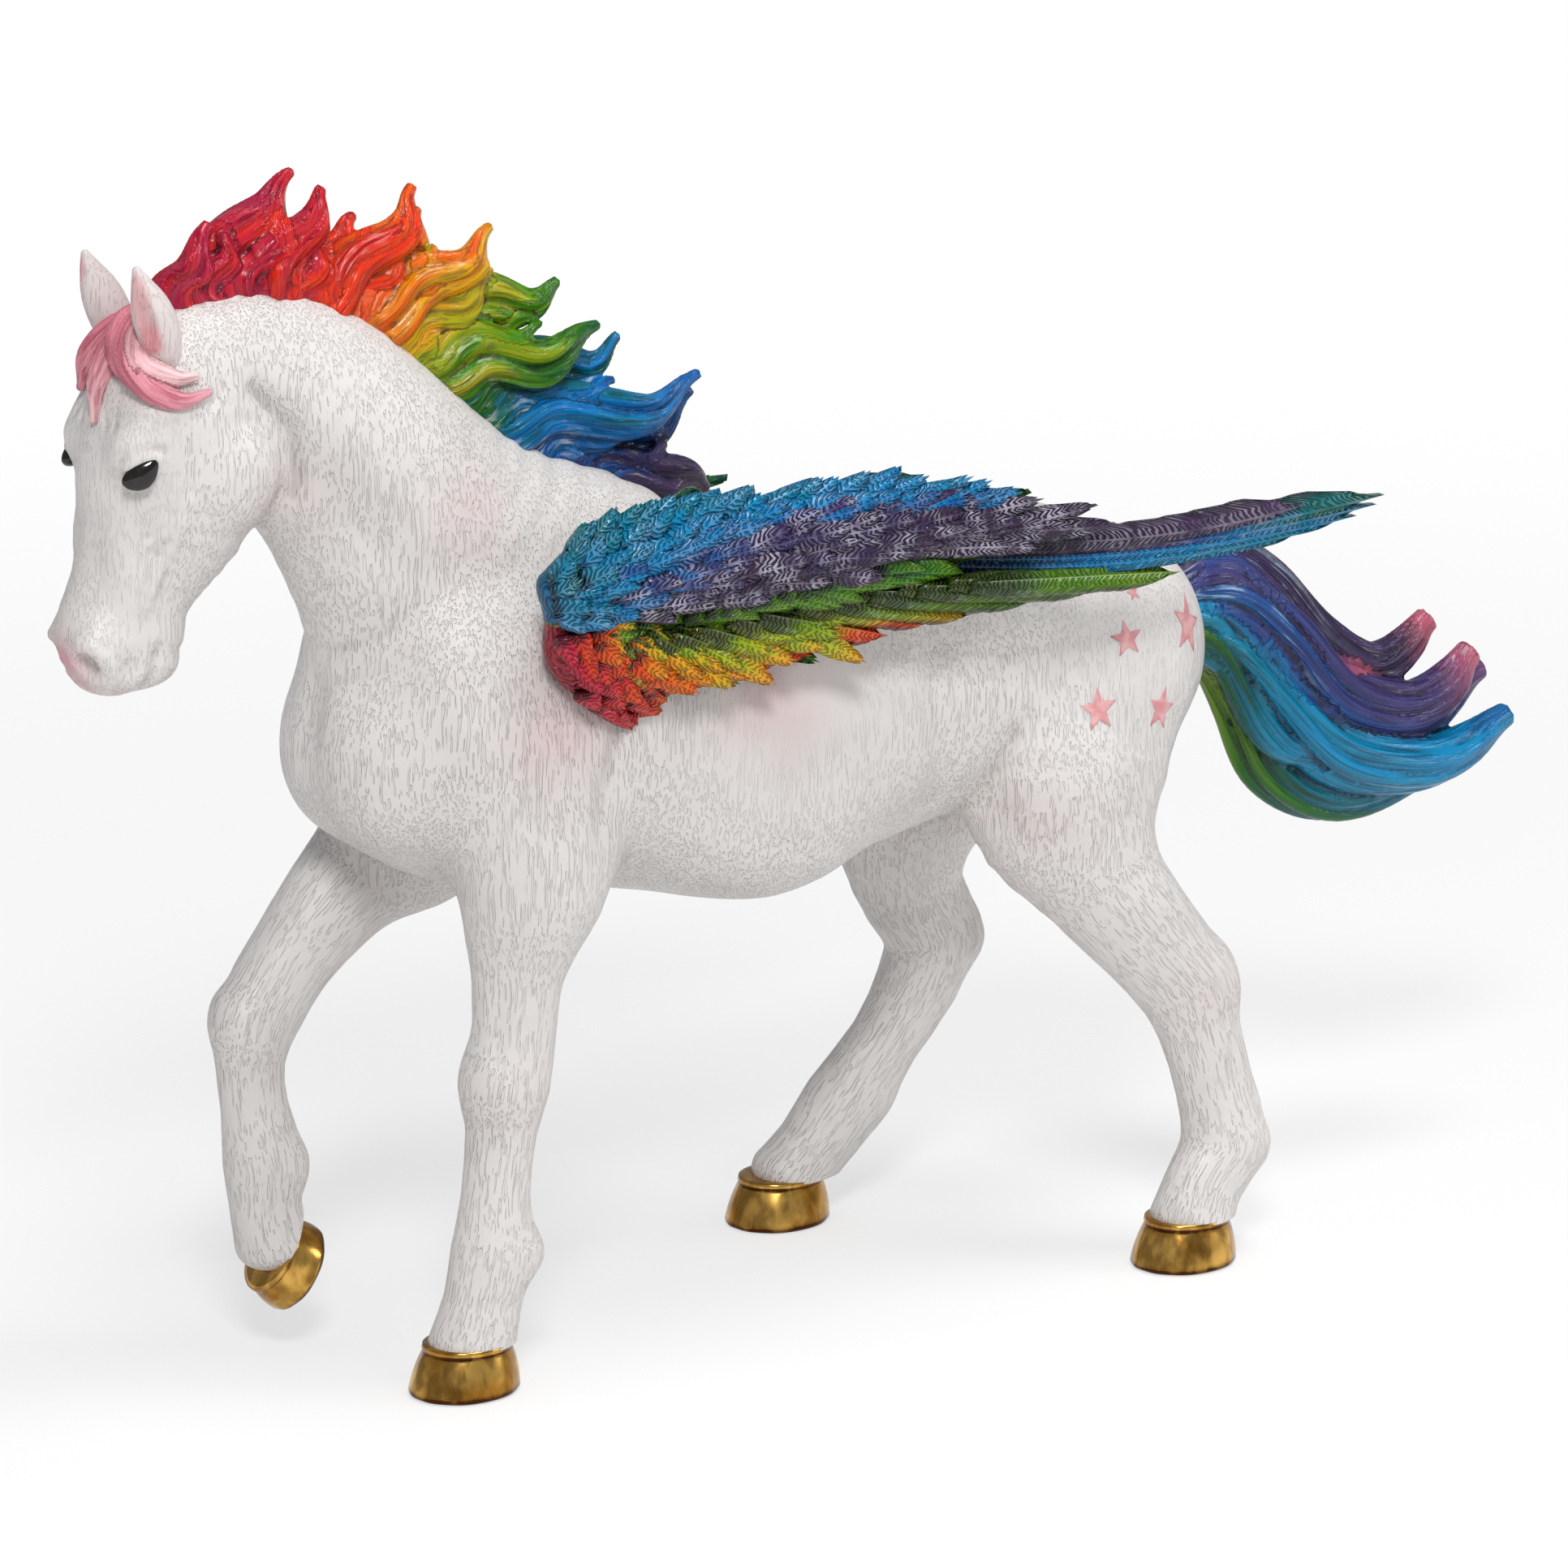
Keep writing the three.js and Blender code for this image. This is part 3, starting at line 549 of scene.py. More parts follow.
def apply_strokes(skin: Skin, strokes: Sequence[Stroke]) -> None:
    """Works the skin with a list of strokes.

    Args:
        skin: The skin.
        strokes: What is raised and pressed in.
    """
    amount = np.zeros(len(skin.vertices))
    folded = skin.vertices * [1, 0, 1] - np.abs(skin.vertices) * [0, 1, 0]
    for stroke in strokes:
        where = folded if stroke.both else skin.vertices
        path = smooth_path(stroke.path, 4)
        near = np.flatnonzero(np.all((where > path.min(axis=0) - 3 * stroke.radius)
                                     & (where < path.max(axis=0) + 3 * stroke.radius), axis=1))
        gap, along = distance_to_path(where[near], path)
        total = np.linalg.norm(np.diff(path, axis=0), axis=1).sum()
        fade = smooth_step(0, 0.15, along / total + 0.1) * smooth_step(1, 0.85, along / total - 0.1)
        amount[near] += stroke.lift * np.exp(-((gap / stroke.radius) ** 2)) * fade
    skin.lift(amount)


# Meshes and node trees


def metres(points: Sequence | np.ndarray) -> np.ndarray:
    """Places in the scene, in metres, of points in the sculptor's frame."""
    return (np.asarray(points) + OFFSET) * MM


def set_out(name: str, data: bpy.types.ID) -> bpy.types.Object:
    """Makes an object of a mesh, lamp or camera and links it to the scene.

    Args:
        name: Name of the object.
        data: What it shows.

    Returns:
        The object, at the origin.
    """
    made = bpy.data.objects.new(name, data)
    bpy.context.scene.collection.objects.link(made)
    return made


def mesh_object(name: str, vertices: np.ndarray, faces: Sequence[Sequence[int]],
                marks: dict[str, np.ndarray] | None = None) -> bpy.types.Object:
    """Makes a mesh object at the origin, with smooth shading.

    Args:
        name: Name of the object.
        vertices: Places in millimetres, in the sculptor's frame.
        faces: Vertex numbers of each face.
        marks: Values for each vertex, kept as attributes.

    Returns:
        The object, linked to the scene.
    """
    mesh = bpy.data.meshes.new(name)
    mesh.from_pydata(metres(vertices).tolist(), [], [list(map(int, face)) for face in faces])
    for key, values in (marks or {}).items():
        write_mark(mesh, key, values)
    mesh.shade_smooth()
    return set_out(name, mesh)


def column(items: bpy.types.bpy_prop_collection, name: str, kind: type, width: int = 1) -> np.ndarray:
    """Reads one property of all items.

    Args:
        items: The items, such as a mesh's vertices.
        name: The property.
        kind: Type of its numbers.
        width: Numbers for each item.

    Returns:
        One number, or one row of numbers, for each item.
    """
    values = np.zeros(len(items) * width, kind)
    items.foreach_get(name, values)
    return values.reshape(-1, width) if width > 1 else values


def millimetres(mesh: bpy.types.Mesh) -> np.ndarray:
    """Vertices of a mesh in millimetres, in the sculptor's frame."""
    return column(mesh.vertices, "co", np.float32, 3).astype(float) / MM - OFFSET


def move_to(mesh: bpy.types.Mesh, points: np.ndarray) -> None:
    """Gives the vertices of a mesh new places, in millimetres."""
    mesh.vertices.foreach_set("co", metres(points).astype(np.float32).ravel())


def read_mark(mesh: bpy.types.Mesh, name: str) -> np.ndarray:
    """Values of a vertex attribute.

    Args:
        mesh: The mesh.
        name: The attribute.

    Returns:
        One number or one row of three for each vertex.
    """
    layer = mesh.attributes[name]
    if layer.data_type == "FLOAT":
        return column(layer.data, "value", np.float32)
    return column(layer.data, "vector", np.float32, 3)


def write_mark(mesh: bpy.types.Mesh, name: str, values: np.ndarray) -> None:
    """Keeps one number or vector for each vertex as an attribute.

    Args:
        mesh: The mesh.
        name: Name of the attribute.
        values: One value or row for each vertex.
    """
    if name in mesh.attributes:
        mesh.attributes.remove(mesh.attributes[name])
    single = values.ndim == 1
    layer = mesh.attributes.new(name, "FLOAT" if single else "FLOAT_VECTOR", "POINT")
    layer.data.foreach_set("value" if single else "vector", values.astype(np.float32).ravel())


def triangles_of(mesh: bpy.types.Mesh) -> np.ndarray:
    """Vertex numbers of a mesh's triangles."""
    mesh.calc_loop_triangles()
    return column(mesh.loop_triangles, "vertices", np.int32, 3)


def plain_mesh(thing: bpy.types.Object) -> None:
    """Turns an object's modifiers into plain mesh and removes them.

    Args:
        thing: The object.
    """
    graph = bpy.context.evaluated_depsgraph_get()
    made = bpy.data.meshes.new_from_object(thing.evaluated_get(graph), depsgraph=graph)
    thing.modifiers.clear()
    old, thing.data = thing.data, made
    made.name = thing.name
    bpy.data.meshes.remove(old)


def fuse(thing: bpy.types.Object, voxel: float) -> None:
    """Melts overlapping solids of one object together, as casting does.

    Args:
        thing: The object.
        voxel: Grid step in millimetres.
    """
    remesh = thing.modifiers.new("fuse", "REMESH")
    remesh.mode = "VOXEL"
    remesh.voxel_size = voxel * MM
    remesh.use_smooth_shade = True
    plain_mesh(thing)


def pick(things: Sequence[bpy.types.Object]) -> None:
    """Selects objects and makes the first of them active.

    Args:
        things: The objects.
    """
    bpy.ops.object.select_all(action="DESELECT")
    for thing in things:
        thing.select_set(True)
    bpy.context.view_layer.objects.active = things[0]


def joined(name: str, parts: Sequence[bpy.types.Object]) -> bpy.types.Object:
    """Joins objects into one with a new name.

    Args:
        name: Name of the result.
        parts: Objects, used up by this.

    Returns:
        The one object.
    """
    pick(parts)
    bpy.ops.object.join()
    parts[0].name = parts[0].data.name = name
    return parts[0]


class Sketch:
    """Shorthand for drawing a node tree."""

    def __init__(self, tree: bpy.types.NodeTree) -> None:
        """Keeps the tree."""
        self.tree = tree

    def feed(self, node: bpy.types.Node, inputs: dict[str | int, Value]) -> None:
        """Fills inputs of a node.

        Args:
            node: The node.
            inputs: Values, or sockets to link, by name or number.
        """
        for key, value in inputs.items():
            if isinstance(value, Socket):
                self.tree.links.new(value, node.inputs[key])
            else:
                node.inputs[key].default_value = value

    def node(self, kind: str, inputs: dict[str | int, Value] | None = None, **settings: str | bool) -> bpy.types.Node:
        """Adds a node.

        Args:
            kind: Blender's name of the node type.
            inputs: Values or sockets for its inputs, by name or number.
            **settings: Its other properties.

        Returns:
            The node.
        """
        made = self.tree.nodes.new(kind)
        for key, value in settings.items():
            setattr(made, key, value)
        self.feed(made, inputs or {})
        return made

    def place(self) -> Socket:
        """Reads Object coordinates."""
        return self.node("ShaderNodeTexCoord").outputs["Object"]

    def maths(self, operation: str, *values: Value, clamp: bool = False) -> Socket:
        """Adds a Math node and gives its result."""
        kind = "ShaderNodeMath"
        return self.node(kind, dict(enumerate(values)), operation=operation, use_clamp=clamp).outputs[0]

    def times(self, first: Value, second: Value, clamp: bool = False) -> Socket:
        """Multiplies two values."""
        return self.maths("MULTIPLY", first, second, clamp=clamp)

    def vectors(self, operation: str, *values: Value) -> Socket:
        """Adds a Vector Math node and gives its vector."""
        return self.node("ShaderNodeVectorMath", dict(enumerate(values)), operation=operation).outputs[0]

    def rise(self, value: Value, low: float, high: float) -> Socket:
        """Rises softly from 0 to 1 while a value goes from low to high."""
        inputs = {"Value": value, "From Min": low, "From Max": high}
        return self.node("ShaderNodeMapRange", inputs, interpolation_type="SMOOTHSTEP").outputs["Result"]

    def mark(self, name: str, output: str = "Fac") -> Socket:
        """Reads a vertex attribute in a material."""
        return self.node("ShaderNodeAttribute", attribute_name=name).outputs[output]

    def noise(self, where: Socket, scale: float, detail: float = 2.0, rough: float = 0.5,
              output: str = "Fac") -> Socket:
        """Adds noise and gives its result."""
        inputs = {"Vector": where, "Scale": scale, "Detail": detail, "Roughness": rough}
        return self.node("ShaderNodeTexNoise", inputs).outputs[output]

    def scaled(self, where: Socket, scale: Point, turn: Point = (0, 0, 0)) -> Socket:
        """Turns and stretches coordinates."""
        inputs = {"Vector": where, "Scale": scale, "Rotation": [math.radians(a) for a in turn]}
        return self.node("ShaderNodeMapping", inputs).outputs[0]

    def mix(self, factor: Value, first: Value, second: Value, blend: str = "MIX") -> Socket:
        """Mixes two colours.

        Args:
            factor: Share of the second one.
            first: Colour at 0.
            second: Colour at 1.
            blend: Way of mixing.

        Returns:
            The colour.
        """
        made = self.node("ShaderNodeMix", data_type="RGBA", blend_type=blend, clamp_factor=True)
        self.feed(made, {0: factor, 6: first, 7: second})
        return made.outputs[2]

    def ramp(self, factor: Value, stops: Sequence[tuple[float, str]]) -> Socket:
        """Colours that follow one another along a factor.

        Args:
            factor: Where to read.
            stops: Place and colour name of each stop.

        Returns:
            The colour.
        """
        made = self.node("ShaderNodeValToRGB", {"Fac": factor})
        elements = made.color_ramp.elements
        while len(elements) < len(stops):
            elements.new(0.5)
        for element, (place, shade) in zip(elements, stops):
            element.position = place
            element.color = paint(shade)
        return made.outputs["Color"]


def paint(shade: str) -> tuple[float, float, float, float]:
    """Colour for a socket.

    Args:
        shade: Red, green and blue as seen on a screen, such as b83646.

    Returns:
        The linear colour.
    """
    parts = [int(shade[k:k + 2], 16) / 255 for k in (0, 2, 4)]
    linear = [v / 12.92 if v <= 0.04045 else ((v + 0.055) / 1.055) ** 2.4 for v in parts]
    return (*linear, 1.0)


# Finishes


class Finish:
    """Paint or metal that one material slot gets."""

    name = "finish"

    def coat(self, sketch: Sketch, shader: bpy.types.Node) -> None:
        """Draws the finish on the material's Principled shader."""
        raise NotImplementedError

    def material(self) -> bpy.types.Material:
        """Makes the material, or finds it where it was made before.

        Returns:
            The material.
        """
        if self.name in bpy.data.materials:
            return bpy.data.materials[self.name]
        made = bpy.data.materials.new(self.name)
        made.use_nodes = True
        self.coat(Sketch(made.node_tree), made.node_tree.nodes["Principled BSDF"])
        return made

    @staticmethod
    def relief(sketch: Sketch, shader: bpy.types.Node, height: Socket, depth: float) -> None:
        """Gives the shader a bump: a height of 1 stands as high as depth, in millimetres."""
        bump = sketch.node("ShaderNodeBump", {"Height": height, "Distance": depth * MM, "Strength": 1.0})
        sketch.feed(shader, {"Normal": bump.outputs["Normal"]})


@dataclass(frozen=True)
class WhiteCoat(Finish):
    """Satin white paint over short strokes of hair, with grey patches, painted shade in the grooves and hollows, and a
    rose blush.

    Attributes:
        white: Paint on the high places.
        wash_and_shade: Grey of the soft patches, also used for the painted shade in the stroke grooves and hollows.
        blush: Rose that is rubbed on where the mark says so.
        cloud: Soft patches per metre.
        speckle: Grains of the paint per metre.
        roughness: Roughness of the satin varnish.
        gloss: Its specular level.
        stroke_depth: Depth of the strokes in millimetres.
        stroke_scale: Strokes per millimetre, across and along.
        leanings: Lean in degrees and shift of each layer of strokes.
    """

    white: str = "d2cecb"
    wash_and_shade: str = "a39a94"
    blush: str = "c8707a"
    cloud: float = 90.0
    speckle: float = 2600.0
    roughness: float = 0.44
    gloss: float = 0.35
    stroke_depth: float = 0.11
    stroke_scale: Point = (4.6, 4.6, 0.24)
    leanings: tuple[tuple[int, float], ...] = ((0, 0.0), (14, 7.3), (-12, 15.1))
    name: str = "white coat"

    def strokes(self, sketch: Sketch) -> Socket:
        """Hair strokes in three leanings.

        Args:
            sketch: The material's tree.

        Returns:
            Grooves as 0, ground as 1.
        """
        coat = sketch.mark("coat", "Vector")
        sway = sketch.vectors("SUBTRACT", sketch.noise(coat, 0.25, output="Color"), (0.5,) * 3)
        swayed = sketch.vectors("MULTIPLY_ADD", sway, (0.7, 0.7, 0), coat)
        layers = []
        for lean, drift in self.leanings:
            turned = sketch.scaled(swayed, self.stroke_scale, (0, lean, 0))
            moved = sketch.vectors("ADD", turned, (drift,) * 3)
            layers.append(sketch.rise(sketch.noise(moved, 1.0, 1.0, 0.4), 0.36, 0.45))
        choice = sketch.noise(coat, 0.16, 1.0)
        first = sketch.mix(sketch.rise(choice, 0.52, 0.58), layers[0], layers[1])
        return sketch.mix(sketch.rise(choice, 0.46, 0.40), first, layers[2])

    def coat(self, sketch: Sketch, shader: bpy.types.Node) -> None:
        """Draws the white coat.

        Args:
            sketch: The material's tree.
            shader: Its Principled shader.
        """
        strokes = self.strokes(sketch)
        grooves = sketch.times(sketch.maths("SUBTRACT", 1.0, strokes), sketch.mark("hairy"))
        cloud = sketch.noise(sketch.place(), self.cloud, 3.0)
        speckle = sketch.noise(sketch.place(), self.speckle, 2.0)
        # Painted shade: the hollows of the skin and the grooves of the strokes are darkened towards the grey, in
        # patches.
        painted_shade = sketch.times(sketch.rise(sketch.mark("hollow"), 0.1, 1.2), 0.35)
        groove_and_hollow_shade = sketch.maths("MULTIPLY_ADD", grooves, 0.08, painted_shade)
        patchy_shade = sketch.times(groove_and_hollow_shade, sketch.rise(cloud, 0.15, 0.7), clamp=True)
        ground = sketch.mix(sketch.times(sketch.rise(cloud, 0.42, 0.7), 0.16), paint(self.white), paint(self.wash_and_shade))
        rubbed = sketch.times(sketch.mark("blush"), sketch.rise(cloud, 0.1, 0.7))
        blushed = sketch.mix(rubbed, ground, paint(self.blush))
        sketch.feed(shader, {
            "Base Color": sketch.mix(patchy_shade, blushed, paint(self.wash_and_shade), "MULTIPLY"),
            "Roughness": sketch.maths("MULTIPLY_ADD", cloud, 0.2, self.roughness - 0.1),
            "Specular IOR Level": self.gloss})
        height = sketch.maths("SUBTRACT", sketch.times(speckle, 0.12), grooves)
        self.relief(sketch, shader, height, self.stroke_depth)


@dataclass(frozen=True)
class GlossEye(Finish):
    """Glossy black of the eyes."""

    black: str = "0b0a0b"
    brown: str = "1d1512"
    cloud: float = 900.0
    roughness: float = 0.1
    gloss: float = 0.6
    name: str = "gloss black"

    def coat(self, sketch: Sketch, shader: bpy.types.Node) -> None:
        """Draws the eye's black, with a touch of brown in patches.

        Args:
            sketch: The material's tree.
            shader: Its Principled shader.
        """
        cloud = sketch.noise(sketch.place(), self.cloud, 2.0)
        shade = sketch.mix(sketch.rise(cloud, 0.4, 0.8), paint(self.black), paint(self.brown))
        sketch.feed(shader, {"Base Color": shade, "Roughness": self.roughness, "Specular IOR Level": self.gloss})


@dataclass(frozen=True)
class GoldLeaf(Finish):
    """Rubbed gold with a brown wash in its grain and painted shade in its hollows."""

    gold: str = "a8762a"
    bright: str = "dcae58"
    brown: str = "421f04"
    cloud: float = 260.0
    grain: Point = (700.0, 700.0, 350.0)
    metal: float = 0.9
    depth: float = 0.03
    name: str = "rubbed gold"

    def coat(self, sketch: Sketch, shader: bpy.types.Node) -> None:
        """Draws the gold.

        Args:
            sketch: The material's tree.
            shader: Its Principled shader.
        """
        cloud = sketch.noise(sketch.place(), self.cloud, 4.0)
        grain = sketch.noise(sketch.scaled(sketch.place(), self.grain), 1.0, 3.0)
        gold = sketch.mix(sketch.rise(cloud, 0.35, 0.65), paint(self.gold), paint(self.bright))
        # Painted shade: the hollows of the hoof are darkened towards the brown, on top of the brown wash in the grain.
        painted_shade = sketch.times(sketch.rise(sketch.mark("hollow"), 0.0, 1.0), 0.9)
        wash_and_shade = sketch.maths("MULTIPLY_ADD", sketch.rise(grain, 0.6, 0.4), 0.42, painted_shade, clamp=True)
        sketch.feed(shader, {
            "Base Color": sketch.mix(wash_and_shade, gold, paint(self.brown)), "Metallic": self.metal,
            "Roughness": sketch.maths("MULTIPLY_ADD", grain, 0.24, 0.1)})
        self.relief(sketch, shader, grain, self.depth)


@dataclass(frozen=True)
class DustyRose(Finish):
    """Matt rose of the painted stars."""

    rose: str = "c98388"
    pale: str = "dba6a4"
    cloud: float = 700.0
    depth: float = 0.03
    name: str = "dusty rose"

    def coat(self, sketch: Sketch, shader: bpy.types.Node) -> None:
        """Draws the rose, thinner in places.

        Args:
            sketch: The material's tree.
            shader: Its Principled shader.
        """
        cloud = sketch.noise(sketch.place(), self.cloud, 3.0)
        shade = sketch.mix(sketch.rise(cloud, 0.4, 0.66), paint(self.rose), paint(self.pale))
        sketch.feed(shader, {"Base Color": shade, "Roughness": sketch.maths("MULTIPLY_ADD", cloud, 0.2, 0.35)})
        self.relief(sketch, shader, cloud, self.depth)


# White body


@dataclass(frozen=True)
class Seam:
    """Flat cut round a point, where two castings are glued; the normal points at the one that plugs in."""

    point: Point
    normal: Point
    reach: float


@dataclass(frozen=True)
class LegShape:
    """Leg from the body to the coronet: where it plugs in, a place inside it, and its thigh if it has one."""

    name: str
    stations: tuple[Station, ...]
    seam: Seam
    heart: Point
    thigh: tuple[Station, ...] = ()


LEGS = (
    LegShape("left_front_leg", (
        (10, -7.5, 58, 8, 5.6), (7.6, -9.3, 50, 6.9, 5.4), (5.6, -9.9, 42, 4.7, 4.1), (5.3, -9.6, 34, 4, 3.4),
        (4.4, -9.5, 28, 4.1, 3.5), (3.8, -9.5, 24, 3.4, 2.9), (3.2, -9.4, 18, 3.3, 2.7), (2.8, -9.4, 12.7, 4, 3.3),
        (1.8, -9.3, 8.3, 3.8, 3), (0.6, -9.25, 4, 4.2, 3.7)),
        Seam((5.8, -9.8, 43.2), (-0.1, 0, -1), 9.5), (4, -9.5, 22)),
    LegShape("right_front_leg", (
        (8, 7.5, 56, 8, 5.6), (4.6, 9, 48.4, 6.6, 5.4), (-2, 9.5, 42.2, 5, 4.6), (-6.8, 9.5, 37.4, 4.2, 3.8),
        (-10, 9.4, 33, 4.1, 3.5), (-11.3, 9.3, 28.6, 3.3, 2.9), (-11, 9.2, 24, 3.2, 2.7),
        (-10.2, 9.1, 18.8, 3.9, 3.2), (-10.2, 9, 14.8, 3.4, 2.9), (-9.4, 9, 11, 3.6, 3.4)),
        Seam((-0.6, 9.3, 43.6), (-0.75, 0, -0.66), 9), (-9.6, 9, 22)),
    LegShape("left_hind_leg", (
        (64.6, -11, 46.4, 5.6, 5), (66, -11.9, 42, 6.6, 5.2), (69, -12.9, 37.2, 6, 4.8), (73, -13.6, 32.3, 5.3, 4.2),
        (76.6, -14.2, 27.6, 4.9, 3.7), (78.3, -14.7, 23, 4.2, 3.2), (79.9, -15.2, 17, 4, 3),
        (80.9, -15.6, 11, 4.3, 3.5), (78.4, -15.9, 7.4, 4, 3.3), (76.9, -16, 4, 4.2, 3.8)),
        Seam((66.6, -12.2, 40.4), (0.25, 0, -1), 11), (77, -14.5, 20),
        ((71.6, -7.5, 58, 8.4, 6), (67.6, -9.6, 50, 10, 6.6), (64.8, -11.2, 44, 8.2, 6), (65.4, -12, 40.8, 5.4, 4.6))),
    LegShape("right_hind_leg", (
        (64, 11, 47, 6.4, 5), (63.2, 12, 41.5, 7.2, 5.6), (63.2, 12.8, 36.5, 6.3, 5.2), (64.9, 13.4, 31.6, 5.3, 4.4),
        (67.6, 14, 26.8, 4.8, 3.8), (66.4, 14.5, 22, 4.4, 3.4), (62.8, 15, 16.4, 3.7, 3), (58.2, 15.5, 10.6, 4.3, 3.4),
        (55, 15.9, 6.8, 3.8, 3.3), (52.4, 16.1, 4, 4.1, 3.8)),
        Seam((64.2, 12.4, 38.6), (0, 0, -1), 11), (62, 14.8, 18),
        ((73, 7.5, 58, 8.4, 6), (68.4, 9.6, 49, 10.2, 6.4), (65, 11.4, 42, 7.8, 6), (64, 12.2, 38, 5.4, 4.8))),
)


@dataclass(frozen=True)
class HoofShape:
    """Hoof in its own frame: sole on z = 0, toe to -X; its top leans back, and it is tilted about Y in degrees."""

    name: str
    sole: Point
    height: float = 4.7
    sole_radius: float = 5.4
    top_radius: float = 4.3
    lean: float = 0.5
    tilt: float = 0.0

    NARROWING = 0.86
    RIDGE = 0.05
    BAND = 0.6
    SINK = 0.25

    def placed(self, points: np.ndarray) -> np.ndarray:
        """Turns points of the hoof's own frame and stands them in place.

        Args:
            points: Rows of x, y, z.

        Returns:
            The places in millimetres.
        """
        turn = math.radians(self.tilt)
        x, y, z = np.asarray(points, float).T
        turned = (x * math.cos(turn) + z * math.sin(turn), y, z * math.cos(turn) - x * math.sin(turn))
        return np.stack(turned, axis=1) + self.sole

    def ankle(self) -> Seam:
        """Cut through the leg, a little under the top of the hoof."""
        ends = self.placed(np.array([[self.lean, 0, self.height - self.SINK], [self.lean, 0, 0]]))
        return Seam(tuple(ends[0]), tuple(ends[1] - ends[0]), 7)

    def inside(self) -> Point:
        """A place inside the hoof, where the end of the leg lies."""
        return tuple(self.placed(np.array([[self.lean, 0, self.height * 0.3]]))[0])


HOOVES = (
    HoofShape("left_front_hoof", (-0.3, -9.25, 0)),
    HoofShape("right_front_hoof", (-6.7, 9, 7.7), 3.8, 4.3, 3.7, 0.2, -58),
    HoofShape("left_hind_hoof", (75.9, -16.05, 0)),
    HoofShape("right_hind_hoof", (51, 16.1, 0)),
)


def seat_piece(thing: bpy.types.Object, node: str | None, finish: Finish) -> None:
    """Gives a piece its finish and its place in the part.

    Args:
        thing: The piece.
        node: Node of the frame that it stands for, if any.
        finish: Its finish.
    """
    thing.data.materials.clear()
    thing.data.materials.append(finish.material())
    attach(thing, "root")
    if node:
        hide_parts(node)
    LOG.info("%s: %d faces", thing.name, len(thing.data.polygons))


@dataclass
class Castings:
    """Pieces that share a slot and a finish, each named for the solid that it stands for."""

    made: dict[str, bpy.types.Object] = field(default_factory=dict)

    SLOT = Slot.BODY
    FINISH = WhiteCoat()

    def dress(self) -> None:
        """Paints the pieces and puts them in the place of their solids."""
        for name, thing in self.made.items():
            seat_piece(thing, name, self.FINISH)


